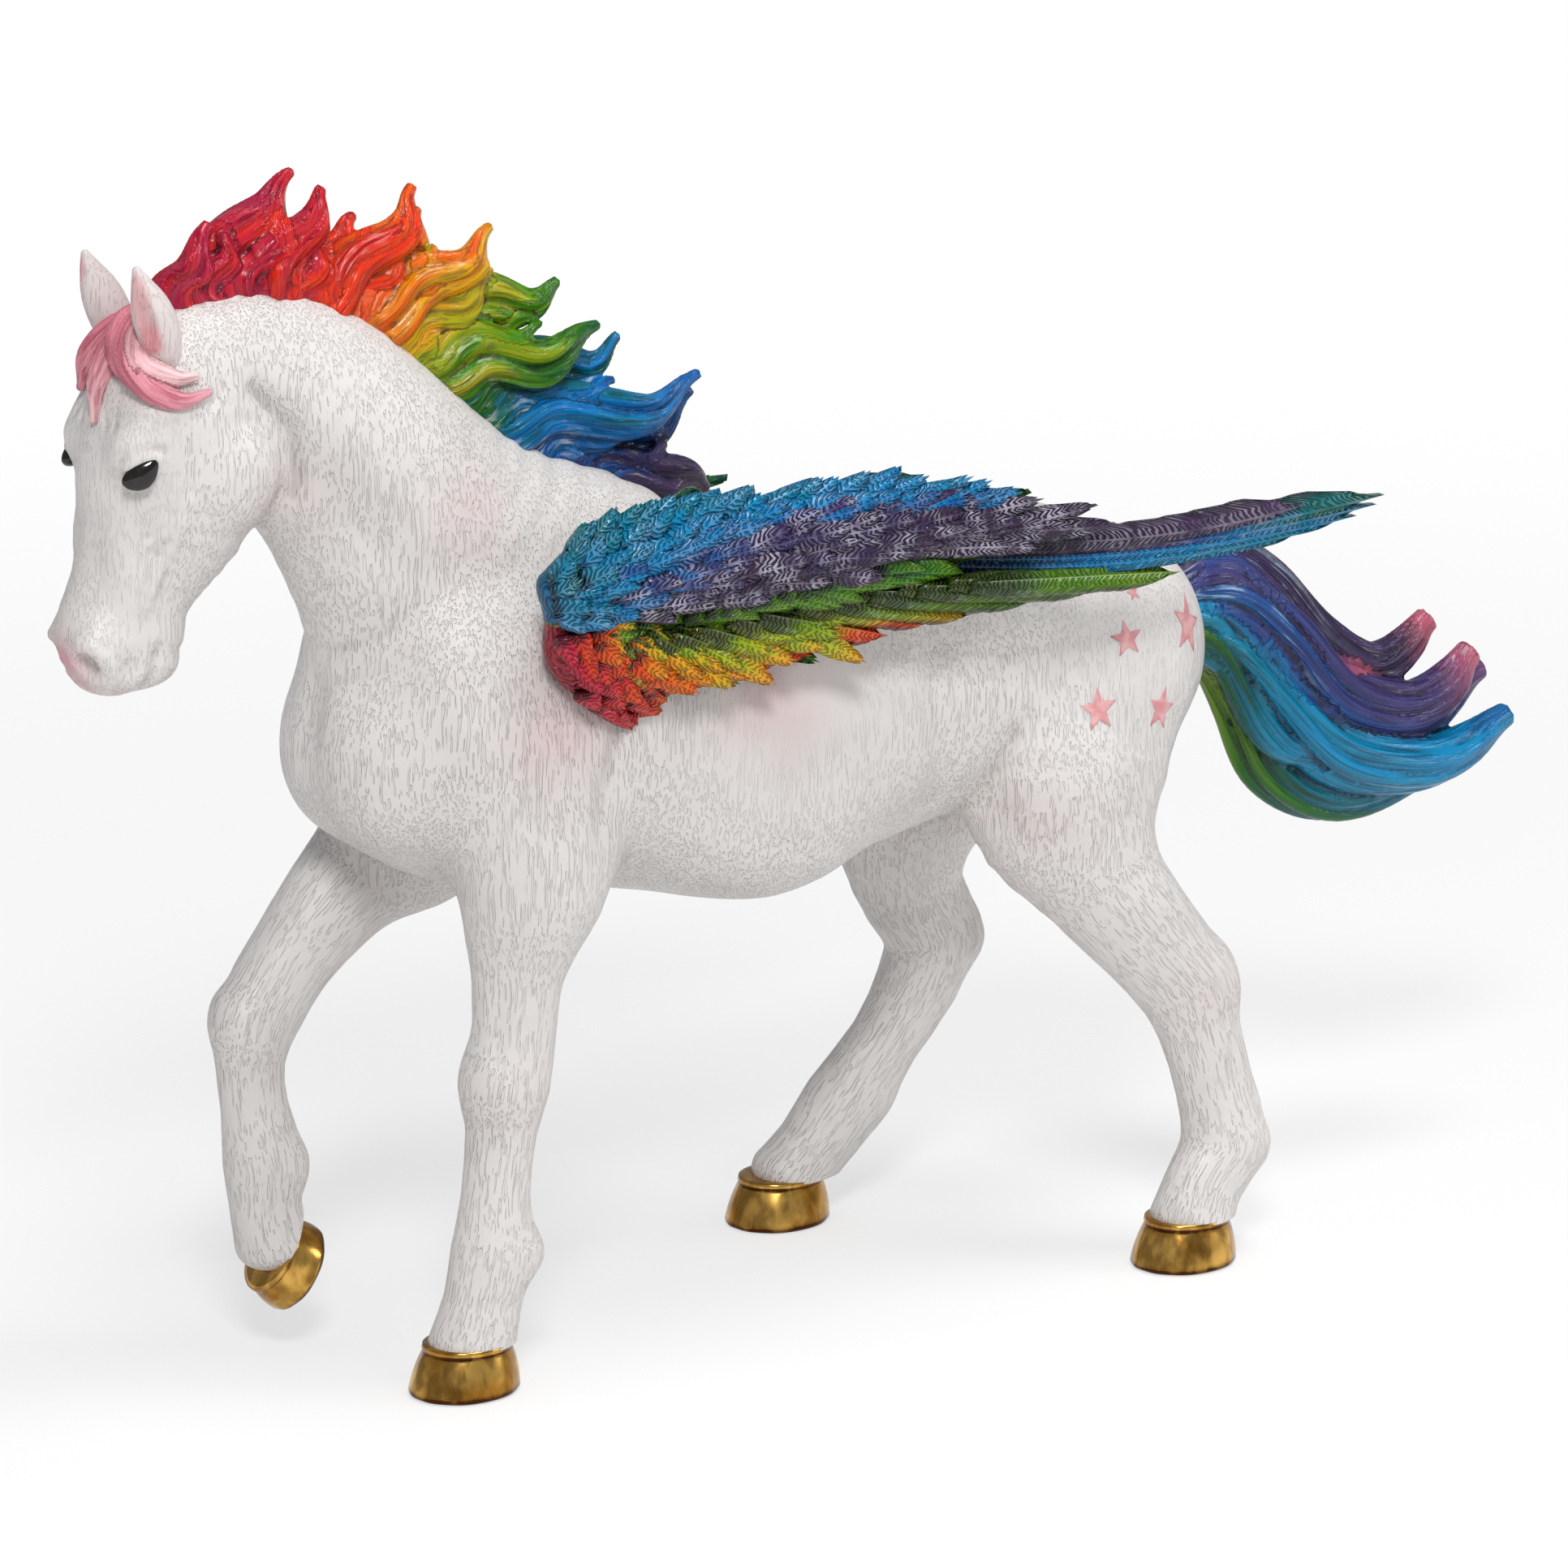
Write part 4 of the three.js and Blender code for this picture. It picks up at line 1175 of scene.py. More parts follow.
@dataclass
class Body(Castings):
    """Trunk, neck, head and legs, modelled as one on grids of some grain and cut where the castings are glued."""

    trunk: tuple[Station, ...] = (
        (-4.5, 0, 60.6, 8.6, 6.8), (-0.5, 0, 60.3, 12.4, 10.6), (5, 0, 60.4, 15.4, 12.6), (13, 0, 60.4, 17, 14),
        (23, 0, 59.6, 17.5, 15), (34, 0, 57, 17, 15.6), (46, 0, 57.4, 15.2, 15.4), (57, 0, 58.3, 13.8, 14.6),
        (68, 0, 58.2, 12.8, 14.2), (75.2, 0, 56.6, 11.6, 12.6), (80.2, 0, 56, 9, 8.8))
    neck: tuple[Station, ...] = (
        (13, 0, 62, 19, 10.5), (7, 0, 69.8, 17.1, 10.2), (1.2, 0, 77.2, 13, 8.8), (-4.9, 0, 85, 10.8, 7.6),
        (-11, 0, 91, 9.9, 6.6), (-17, 0, 95, 7.8, 5.9), (-22, 0, 96.4, 5.2, 5.2))
    skull: tuple[Station, ...] = (
        (-21.8, 0, 97.2, 5.2, 5), (-23.6, 0, 93.6, 7.2, 6.5), (-23.6, 0, 88.6, 8.6, 6.8), (-24.2, 0, 84, 8.4, 6.1),
        (-26.2, 0, 80, 6.9, 4.8), (-28, 0, 76.4, 5.8, 4), (-29, 0, 73, 6, 4.2), (-28.6, 0, 70.4, 5, 3.8))
    muscles: tuple[Ball, ...] = (
        Ball((3.5, -9.4, 62), (7.4, 4.6, 10.5), 12), Ball((8, -9.6, 48), (5.8, 4.8, 7.5)),
        Ball((-4.4, -4.4, 57.5), (4.6, 4.4, 6)), Ball((72, -7.4, 60.5), (9, 7, 9)),
        Ball((62, -10.4, 47.5), (5.2, 4.4, 6.6)), Ball((16, -1, 76.5), (8, 4, 3)),
        Ball((33, -8, 50), (10, 7, 8)))
    neck_seam: Seam = Seam((2.8, 0, 74.4), (-0.62, 0, 0.78), 22)
    poll_seam: Seam = Seam((-16, 0, 94), (-0.982, 0, -0.19), 19)
    grain: float = 0.4
    head_grain: float = 0.25
    eyes: "Eyes | None" = None

    BLOCK = ((-37, -20, -1.2), (92, 20, 108))
    HEAD_BLOCK = ((-37, -11, 64), (-8, 11, 105))
    TRUNK_FILLET, NECK_FILLET, LEG_FILLET, MUSCLE_FILLET, JOINT_FILLET, SKULL_FILLET = 1, 4, 3, 5, 2, 2.5
    HEAD_HEART, NECK_END = (-24, 0, 84), (-12, 0, 92)

    def press_body(self, clay: Clay) -> None:
        """Builds trunk, neck and legs in a block of clay.

        Args:
            clay: The block.
        """
        clay.add(Limb(self.trunk, 3), self.TRUNK_FILLET)
        clay.add(Limb(self.neck, 3), self.NECK_FILLET)
        for leg in LEGS:
            clay.add(Limb(leg.stations, 2), self.LEG_FILLET)
            if leg.thigh:
                clay.add(Limb(leg.thigh, 3), self.LEG_FILLET)
        for muscle in self.muscles:
            clay.add(muscle, self.MUSCLE_FILLET)
            clay.add(muscle.mirrored(), self.MUSCLE_FILLET)
        self.press_joints(clay)

    def press_joints(self, clay: Clay) -> None:
        """Adds knees, hocks, fetlocks and heel tendons to the legs.

        Args:
            clay: The block.
        """
        for centre, radii, tilt in (
                ((2.8, -9.5, 28.6), (2.3, 3.1, 3.3), 0), ((5.4, -9.4, 12.4), (2.2, 2.6, 2.2), 0),
                ((-12.4, 9.2, 32), (2.4, 3.1, 3.2), 20), ((-8.4, 9, 18), (2, 2.5, 2.2), 0),
                ((79.8, -14.6, 27.2), (2.4, 2.8, 3.8), 15), ((83, -15.6, 10.6), (2.2, 2.6, 2.2), 0),
                ((70.4, 14.4, 26.8), (2.4, 3, 3.6), 30), ((60.8, 15.6, 11.4), (2.1, 2.6, 2.2), 30)):
            clay.add(Ball(centre, radii, tilt), self.JOINT_FILLET)

    def press_head(self, clay: Clay) -> None:
        """Builds the head with its cheeks, brows and muzzle.

        Args:
            clay: The block.
        """
        clay.add(Limb(self.skull, 3), self.SKULL_FILLET)
        for side in (1, -1):
            for ball, softness in (
                    (Ball((-20.6, 3.6, 87.3), (5.8, 3.5, 6)), 0.45), (Ball((-28.8, 4.2, 90), (2.8, 1.9, 2.5)), 2.2),
                    (Ball((-26.2, 3.7, 92.6), (3.2, 2.4, 2.8)), 2.4), (Ball((-32.2, 2.2, 72.4), (2.3, 1.9, 2.7)), 1.2),
                    (Ball((-29.4, 2.8, 79), (1.8, 1.2, 5), 14), 1.6),
                    (Ball((-26.4, 2.6, 86.2), (2.4, 3, 1.2), -25), 1.2),
                    (Ball((-31, 1.3, 69.8), (2.2, 2.4, 1.5)), 0.8)):
                centre = (ball.centre[0], side * ball.centre[1], ball.centre[2])
                clay.add(Ball(centre, ball.radii, ball.tilt), softness)
            clay.carve(Ball((-34.2, side * 2.7, 71), (1.5, 1.3, 1.5), 20), 0.5)
        clay.add(Ball((-26.4, 0, 69.9), (2.6, 2.6, 2)), 1)

    def model(self) -> tuple[Skin, Skin]:
        """Models body and head.

        Returns:
            Skin of the body with a rough head, and fine skin of the head.
        """
        clay = Clay(*self.BLOCK, self.grain)
        self.press_body(clay)
        self.press_head(clay)
        body = clay.skin()
        fine = Clay(*self.HEAD_BLOCK, self.head_grain)
        fine.add(Limb(self.neck, 3), self.NECK_FILLET)
        self.press_head(fine)
        head = fine.skin()
        for skin, rounds in ((body, 7), (head, 5)):
            skin.smooth(rounds)
            apply_strokes(skin, BODY_STROKES)
            apply_strokes(skin, self.eyes.lids())
            skin.smooth(1)
        return body, head

    @staticmethod
    def mark_coat(skin: Skin) -> None:
        """Notes where strokes, blush and wash go on a skin.

        Args:
            skin: The skin.
        """
        x, y, z = skin.vertices.T
        skin.marks["normal"] = skin.normals()
        # Hollows of the skin, which the white coat darkens as painted shade.
        skin.marks["hollow"] = skin.hollows(3)
        skin.marks["coat"] = np.stack([x, y, z], axis=1)
        patch = lumpiness(skin.vertices / 9.0, 4) * 0.5 + lumpiness(skin.vertices / 4.0, 9) * 0.25
        barrel = np.exp(-(((x - 34) / 11) ** 2) - ((z - 59) / 8) ** 2)
        rump = np.exp(-(((x - 71) / 9) ** 2) - ((z - 62) / 8) ** 2)
        skin.marks["hairy"] = np.clip(0.95 + patch * 0.5 - 0.85 * barrel - 0.7 * rump - (x < -26) * 0.45, 0, 1)
        blush = np.zeros(len(x))
        for (bx, by, bz), radius, weight in BLUSHES:
            near = (x - bx) ** 2 + (np.abs(y) - abs(by)) ** 2 + (z - bz) ** 2
            blush = np.maximum(blush, weight * np.exp(-near / radius**2))
        skin.marks["blush"] = blush

    def build(self) -> None:
        """Models the body and cuts it into its pieces."""
        body, head = self.model()
        self.mark_coat(body)
        self.mark_coat(head)
        hearts = {leg.name: leg.heart for leg in LEGS}
        hearts.update(torso=(35, 0, 58), neck=(-6, 0, 86), head_blank=self.HEAD_HEART)
        hearts.update({f"{hoof.name}_stub": hoof.inside() for hoof in HOOVES})
        seams = [self.neck_seam, self.poll_seam, *(leg.seam for leg in LEGS), *(hoof.ankle() for hoof in HOOVES)]
        self.made = cut_at_seams("body", body, seams, hearts)
        for name in [name for name in self.made if name.endswith(("_blank", "_stub"))]:
            bpy.data.objects.remove(self.made.pop(name))
        hearts = {"head": self.HEAD_HEART, "neck_end": self.NECK_END}
        pieces = cut_at_seams("skull", head, [self.poll_seam], hearts)
        bpy.data.objects.remove(pieces.pop("neck_end"))
        self.made["head"] = pieces["head"]
        for leg in LEGS:
            comb_leg(self.made[leg.name], leg)


# Rose on the muzzle and the corner of the mouth; fainter rose on the shoulder, the flank under the wing, the neck, the
# cheek, the stifle, the knee and the hock.
BLUSHES = (
    ((7, -12.8, 61.6), 4.5, 0.3), ((29.9, -14.4, 63.9), 6, 0.32), ((-34.6, 0.2, 71), 2.2, 0.95),
    ((-33.2, -0.9, 69.4), 1.6, 0.85), ((-30.6, -1.8, 68.2), 1.3, 0.4), ((2.9, -8.3, 80.5), 4, 0.22),
    ((-16, -6, 84), 3.5, 0.14), ((60, -12, 46), 5, 0.14), ((4.5, -9.5, 28), 3.4, 0.16), ((77, -14.5, 27), 3.6, 0.14),
)

BODY_STROKES = (
    Stroke(((-16.3, -5.7, 91.2), (-11.6, -6.1, 84.9), (-6.4, -7.2, 78)), 2.4, -0.45),
    Stroke(((-12.4, -6.3, 91.4), (-7.6, -7, 86), (-1.6, -8.4, 80)), 2.8, 0.25),
    Stroke(((-0.6, -8.7, 70), (-1.8, -9, 63.5), (0.2, -9.6, 54.4), (1.2, -8.6, 48)), 2.2, -0.3),
    Stroke(((15, -13.8, 63.6), (12.5, -13.6, 57.9), (10.4, -14, 49.3)), 1.3, -0.7),
    Stroke(((50.5, -12.4, 67.9), (47.4, -14.9, 60), (49.1, -14.5, 53.5), (50.3, -12.4, 46.9)), 2.2, -0.7),
    Stroke(((57.7, -12.9, 55), (56, -12.4, 48), (60.7, -13.5, 42.8)), 1.8, -0.4),
    Stroke(((-9.4, -0.4, 66), (-9.6, -0.4, 60), (-6.6, -0.4, 53)), 1.5, -0.6),
    Stroke(((22, -14.6, 52), (30, -15.4, 48), (40, -14.6, 47)), 1.8, -0.22),
    Stroke(((2.2, -12.4, 38), (2, -12.2, 33.5), (1.8, -12, 31)), 0.7, -0.2),
    Stroke(((-22, -6.6, 94.6), (-26, -6.2, 92.8), (-28.6, -5.8, 91.8)), 0.6, -0.2),
    Stroke(((-18.3, -6.2, 94.4), (-14.4, -6.3, 89.5), (-14.4, -5.4, 83.7), (-18.4, -5, 80.2)), 0.9, -0.9),
    Stroke(((-28.8, -1.9, 67.9), (-28.1, -2.8, 68.5), (-27.6, -3.7, 70), (-27.3, -4.2, 71.8)), 0.7, -0.6),
    Stroke(((-25.4, -5.8, 83.7), (-27.4, -4.6, 79.5), (-29.2, -4.1, 75.8)), 0.6, 0.3),
    Stroke(((-30.9, -1.4, 95.4), (-31.4, -1.7, 93.6), (-31.2, -2.2, 91.8)), 0.35, -0.28),
    Stroke(((-30.2, -2.9, 95.2), (-30.9, -3.1, 93.6), (-31.2, -3.6, 92)), 0.35, -0.28),
    Stroke(((-34.3, -2.3, 73), (-33.5, -3.3, 72.7), (-32.6, -3.8, 71.4), (-32, -3.5, 70.1), (-31.9, -2.7, 69.1)),
           0.6, 0.4),
    Stroke(((-30.9, -3.2, 68.9), (-30.4, -3.9, 70.2), (-30.4, -4.1, 71.6)), 0.8, -0.25),
    Stroke(((-25.3, -6.4, 85.6), (-26.8, -5.5, 82.9), (-29.3, -4.5, 81.4)), 0.5, 0.22),
    Stroke(((-27.9, -4.6, 79.6), (-28.3, -4.3, 77.5), (-28.6, -4.2, 75.4)), 0.6, 0.2),
    Stroke(((-31.7, -3.2, 78.6), (-32.8, -3, 76.4)), 0.6, 0.16),
)


def cut_at_seams(name: str, skin: Skin, seams: Sequence[Seam], hearts: dict[str, Point]
                 ) -> dict[str, bpy.types.Object]:
    """Cuts a skin along flat seams and closes each piece.

    Args:
        name: Name for the uncut mesh.
        skin: The skin with its marks.
        seams: The cuts.
        hearts: A place inside each piece, by name.

    Returns:
        The pieces by name.
    """
    whole = mesh_object(name, skin.vertices, skin.faces, skin.marks)
    work = bmesh.new()
    work.from_mesh(whole.data)
    for seam in seams:
        point = Vector(metres(seam.point))
        near = [face for face in work.faces if (face.calc_center_median() - point).length < seam.reach * MM]
        shape = list({part for face in near for part in (face, *face.edges, *face.verts)})
        cut = bmesh.ops.bisect_plane(work, geom=shape, dist=1e-8, plane_co=point, plane_no=Vector(seam.normal))
        lines = [part for part in cut["geom_cut"] if isinstance(part, bmesh.types.BMEdge)]
        bmesh.ops.split_edges(work, edges=lines)
    rims = [edge for edge in work.edges if edge.is_boundary]
    filled = bmesh.ops.holes_fill(work, edges=rims, sides=0)["faces"]
    bmesh.ops.triangulate(work, faces=filled)
    cap = work.faces.layers.int.new("cap")
    rim_edges = set(rims)
    for face in work.faces:
        face[cap] = int(all(vertex.is_boundary or any(edge in rim_edges for edge in vertex.link_edges)
                            for vertex in face.verts) and len(face.verts) == 3)
    work.to_mesh(whole.data)
    work.free()
    return separated(whole, hearts)


def separated(whole: bpy.types.Object, hearts: dict[str, Point]) -> dict[str, bpy.types.Object]:
    """Takes the loose parts of a mesh apart.

    Args:
        whole: Object with several closed parts; it is removed.
        hearts: A place inside each part, by name.

    Returns:
        One object for each name; the part whose middle lies nearest gets it.
    """
    pick([whole])
    bpy.ops.mesh.separate(type="LOOSE")
    found: dict[str, bpy.types.Object] = {}
    for thing in list(bpy.context.selected_objects):
        places = millimetres(thing.data)
        middle = (places.min(axis=0) + places.max(axis=0)) / 2
        nearest = min(hearts, key=lambda key: float(np.linalg.norm(middle - hearts[key])))
        if nearest in found and len(found[nearest].data.vertices) > len(thing.data.vertices):
            LOG.warning("%s: a stray part of %d points", nearest, len(thing.data.vertices))
            bpy.data.objects.remove(thing)
            continue
        if nearest in found:
            bpy.data.objects.remove(found[nearest])
        thing.name = thing.data.name = f"{nearest}_looks"
        found[nearest] = thing
        keep_normals(thing.data)
    return found


def keep_normals(mesh: bpy.types.Mesh) -> None:
    """Shades a cut piece as the uncut body, with flat ends.

    Args:
        mesh: The piece, with the marks normal and cap.
    """
    mesh.shade_smooth()
    soft = unit(read_mark(mesh, "normal"))
    caps = column(mesh.attributes["cap"].data, "value", np.int32)
    flat = column(mesh.polygons, "normal", np.float32, 3)
    corners = column(mesh.loops, "vertex_index", np.int32)
    face_of = np.repeat(np.arange(len(mesh.polygons)), column(mesh.polygons, "loop_total", np.int32))
    chosen = np.where(caps[face_of, None] > 0, flat[face_of], soft[corners])
    mesh.normals_split_custom_set(chosen.tolist())


def comb_leg(thing: bpy.types.Object, leg: LegShape) -> None:
    """Turns the strokes of a leg along its length.

    Args:
        thing: The leg's mesh.
        leg: Its shape.
    """
    path = smooth_path(leg.stations, 4)
    onwards, sideways, across = moving_frame(path)
    places = millimetres(thing.data)
    nearest = np.argmin(((places[:, None] - path[None, :, :3]) ** 2).sum(axis=2), axis=1)
    run = run_lengths(path)
    gap = places - path[nearest, :3]
    coat = np.stack([np.sum(gap * across[nearest], axis=1), np.sum(gap * sideways[nearest], axis=1),
                     run[nearest] + np.sum(gap * onwards[nearest], axis=1)], axis=1)
    write_mark(thing.data, "coat", coat + np.array(leg.heart))


def pillow(rim: np.ndarray, facing: np.ndarray, front: float, back: float, rings: int
           ) -> tuple[np.ndarray, np.ndarray]:
    """Closed cushion inside an outline.

    Args:
        rim: Points of the outline, in order.
        facing: Direction in which it bulges.
        front: Height of the front in millimetres.
        back: Depth of the back.
        rings: Rings from the rim to the middle.

    Returns:
        Vertices and triangles, facing outwards.
    """
    middle = rim.mean(axis=0)
    sides = len(rim)
    points, faces = [rim], []
    for height in (front, -back):
        for k in range(1, rings):
            share = math.cos(k / rings * math.pi / 2)
            points.append(middle + (rim - middle) * share + facing * height * math.sqrt(1 - share**2))
    points.append(np.array([middle + facing * front, middle - facing * back]))
    vertices = np.vstack(points)
    turn = np.cross(rim[0] - middle, rim[1] - middle) @ facing
    for half in (0, 1):
        starts = [0] + [sides * (1 + half * (rings - 1) + k) for k in range(rings - 1)]
        pole = len(vertices) - 2 + half
        for i in range(sides):
            j = (i + 1) % sides
            sector = [face for a, b in zip(starts, starts[1:]) for face in strip(a, b, i, j)]
            sector.append((starts[-1] + i, starts[-1] + j, pole))
            flip = (turn < 0) != (half == 1)
            faces += [face[::-1] if flip else face for face in sector]
    return vertices, np.array(faces)


@dataclass
class Eyes(Castings):
    """Almond domes set into the head: middle, gaze and outline of the left one, its bulge and its seat's depth."""

    centre: Point = (-30, -5.9, 88.3)
    facing: Point = (-0.46, -0.88, 0.12)
    corners: tuple[tuple[float, float], ...] = (
        (1.5, 1.5), (1.6, 0.7), (1.34, -0.4), (0.72, -1.2), (-0.16, -1.42), (-1.03, -1.28), (-1.6, -0.8), (-1.5, -0.2),
        (-0.8, 0.6), (0.3, 1.25))
    bulge: float = 0.55
    seat: float = 1.2

    SLOT = Slot.EYE
    FINISH = GlossEye()

    def rim(self, side: Side, grow: float, sides: int = 48) -> tuple[np.ndarray, np.ndarray]:
        """Almond outline of an eye.

        Args:
            side: Which eye.
            grow: Growth of the outline in millimetres.
            sides: Points of the outline.

        Returns:
            Its points and the direction that it faces.
        """
        facing = unit(np.array(self.facing))
        right = unit(np.cross([0.0, 0.0, 1.0], facing))
        drawn = np.array(self.corners)
        count = len(drawn)
        turn = np.arange(sides) / sides * count
        flat = np.stack([np.interp(turn, np.arange(count + 1), [*part, part[0]]) for part in drawn.T], 1)
        for _ in range(2):
            flat = (flat + np.roll(flat, 1, axis=0) + np.roll(flat, -1, axis=0)) / 3
        flat *= 1 + grow / np.linalg.norm(flat, axis=1)[:, None]
        points = np.array(self.centre) + flat[:, :1] * right + flat[:, 1:] * np.cross(facing, right)
        mirror = np.array([1, -side.value, 1])
        return points * mirror, facing * mirror

    def lids(self) -> tuple[Stroke, ...]:
        """Strokes that raise the lids round the eyes and sink the corner in front.

        Returns:
            The strokes.
        """
        ring, _ = self.rim(Side.LEFT, 0.28, 16)
        closed = tuple(map(tuple, np.vstack([ring, ring[:3]])))
        fold, _ = self.rim(Side.LEFT, 1.15, 24)
        upper = tuple(map(tuple, np.roll(fold, 7, axis=0)[:9]))
        return Stroke(closed, 0.36, 0.28), Stroke(upper, 0.35, -0.22)

    def build(self) -> None:
        """Makes both eyes."""
        for side, name in ((Side.LEFT, "left_eye"), (Side.RIGHT, "right_eye")):
            rim, facing = self.rim(side, 0.05)
            vertices, faces = pillow(rim, facing, self.bulge, self.seat, 9)
            self.made[name] = mesh_object(f"{name}_looks", vertices, faces)


@dataclass
class Hooves(Castings):
    """Four gold hooves, with a band at the coronet and growth lines; the band's foot is a share of the height."""

    sides: int = 64
    ribs: float = 0.03
    band_foot: float = 0.84

    SLOT = Slot.HOOF
    FINISH = GoldLeaf()

    @staticmethod
    def profile(shape: HoofShape) -> np.ndarray:
        """Radius and height from the sole up.

        Args:
            shape: The hoof.

        Returns:
            Rows of radius and height.
        """
        foot, top, height = shape.sole_radius, shape.top_radius, shape.height
        wall = height - shape.BAND
        rows = [(foot - 1.1, 0), (foot - 0.6, 0.04), (foot - 0.3, 0.16), (foot - 0.13, 0.38)]
        rows += [(foot + (top - foot) * share + 0.2 * math.sin(math.pi * share) - 0.08, wall * share)
                 for share in np.linspace(0.17, 1, 14)]
        ridge = top + shape.RIDGE
        rows += [(ridge - 0.1, wall + 0.1), (ridge, wall + 0.26), (ridge - 0.08, wall + 0.44), (top, height - 0.03),
                 (top - 0.5, height)]
        return np.array(rows)

    def build(self) -> None:
        """Makes the four hooves."""
        turn = 2 * np.pi * np.arange(self.sides) / self.sides
        for shape in HOOVES:
            profile = self.profile(shape)
            radius, height = profile[:, :1], profile[:, 1:]
            wall = np.clip(height / shape.height, 0, 1)
            growth = np.sin(9 * turn + 1.3 * np.sin(2 * turn)) * (wall < self.band_foot)
            wobble = 1 + self.ribs / shape.top_radius * growth
            x = radius * wobble * np.cos(turn) + shape.lean * wall
            y = radius * wobble * np.sin(turn) * shape.NARROWING
            rows = np.stack([x, y, np.broadcast_to(height, x.shape)], axis=2)
            count = len(profile)
            points = np.vstack([rows.reshape(-1, 3), [[0, 0, 0], [shape.lean, 0, shape.height]]])
            faces = []
            for i in range(self.sides):
                j = (i + 1) % self.sides
                for row in range(count - 1):
                    a, b = row * self.sides, (row + 1) * self.sides
                    faces.append((a + i, a + j, b + j, b + i))
                faces += [(count * self.sides, j, i),
                          ((count - 1) * self.sides + i, (count - 1) * self.sides + j, count * self.sides + 1)]
            # Marks where the gold is darkened: painted shade in the groove at the foot of the coronet band, and darker
            # towards the sole.
            shade = np.clip((wall - self.band_foot) * 30, 0, 1) * (wall < 0.9) + smooth_step(0.22, 0.04, wall)
            hollow = np.concatenate([np.broadcast_to(shade, x.shape).ravel(), [1, 0]])
            self.made[shape.name] = mesh_object(f"{shape.name}_looks", shape.placed(points), faces,
                                                {"hollow": hollow.astype(float)})


@dataclass
class Ears(Castings):
    """Leaf-shaped ears, each with a scoop in its front, written for one side and mirrored in Y for the other."""

    leaf: tuple[Station, ...] = (
        (-26, 3.8, 97.4, 1.5, 1.4), (-26.9, 4.2, 100.2, 2, 1.5), (-27.9, 4.4, 102.6, 1.8, 1.25),
        (-28.7, 4.5, 104.6, 1, 0.75), (-29.2, 4.5, 106, 0.35, 0.3))
    hollow: tuple[Station, ...] = (
        (-28.4, 5.4, 99.2, 0.5, 0.5), (-29, 5.7, 101, 1.2, 0.85), (-29.6, 5.5, 103, 0.9, 0.6),
        (-29.9, 5.2, 104.8, 0.3, 0.3))
    grain: float = 0.16

    def build(self) -> None:
        """Models both ears."""
        for side, name in ((Side.LEFT, "left_ear"), (Side.RIGHT, "right_ear")):
            leaf, hollow = (np.array(rows) * [1, side.value, 1, 1, 1] for rows in (self.leaf, self.hollow))
            near, far = sorted((side.value, side.value * 8))
            clay = Clay((-32.5, near, 94), (-22, far, 108), self.grain)
            clay.add(Limb(tuple(map(tuple, leaf)), 5), 0.3)
            clay.carve(Limb(tuple(map(tuple, hollow)), 5), 0.25)
            skin = clay.skin()
            skin.smooth(4)
            inner, _ = distance_to_path(skin.vertices, hollow[:, :3])
            # The ear's hollows get the same painted shade as the body; the rose inside the ear is paint.
            marks = {"hollow": skin.hollows(), "coat": skin.vertices.copy(), "hairy": np.full(len(inner), 0.5),
                     "blush": 0.75 * smooth_step(1.5, 0.7, inner) + 0.12}
            self.made[name] = mesh_object(f"{name}_looks", skin.vertices, skin.faces, marks)


@dataclass(frozen=True)
class Star:
    """Five-pointed star painted on the rump, seen from the side; it is turned in degrees and stretched in height."""

    middle: tuple[float, float]
    radius: float
    turn: float = 0.0
    stretch: float = 1.0


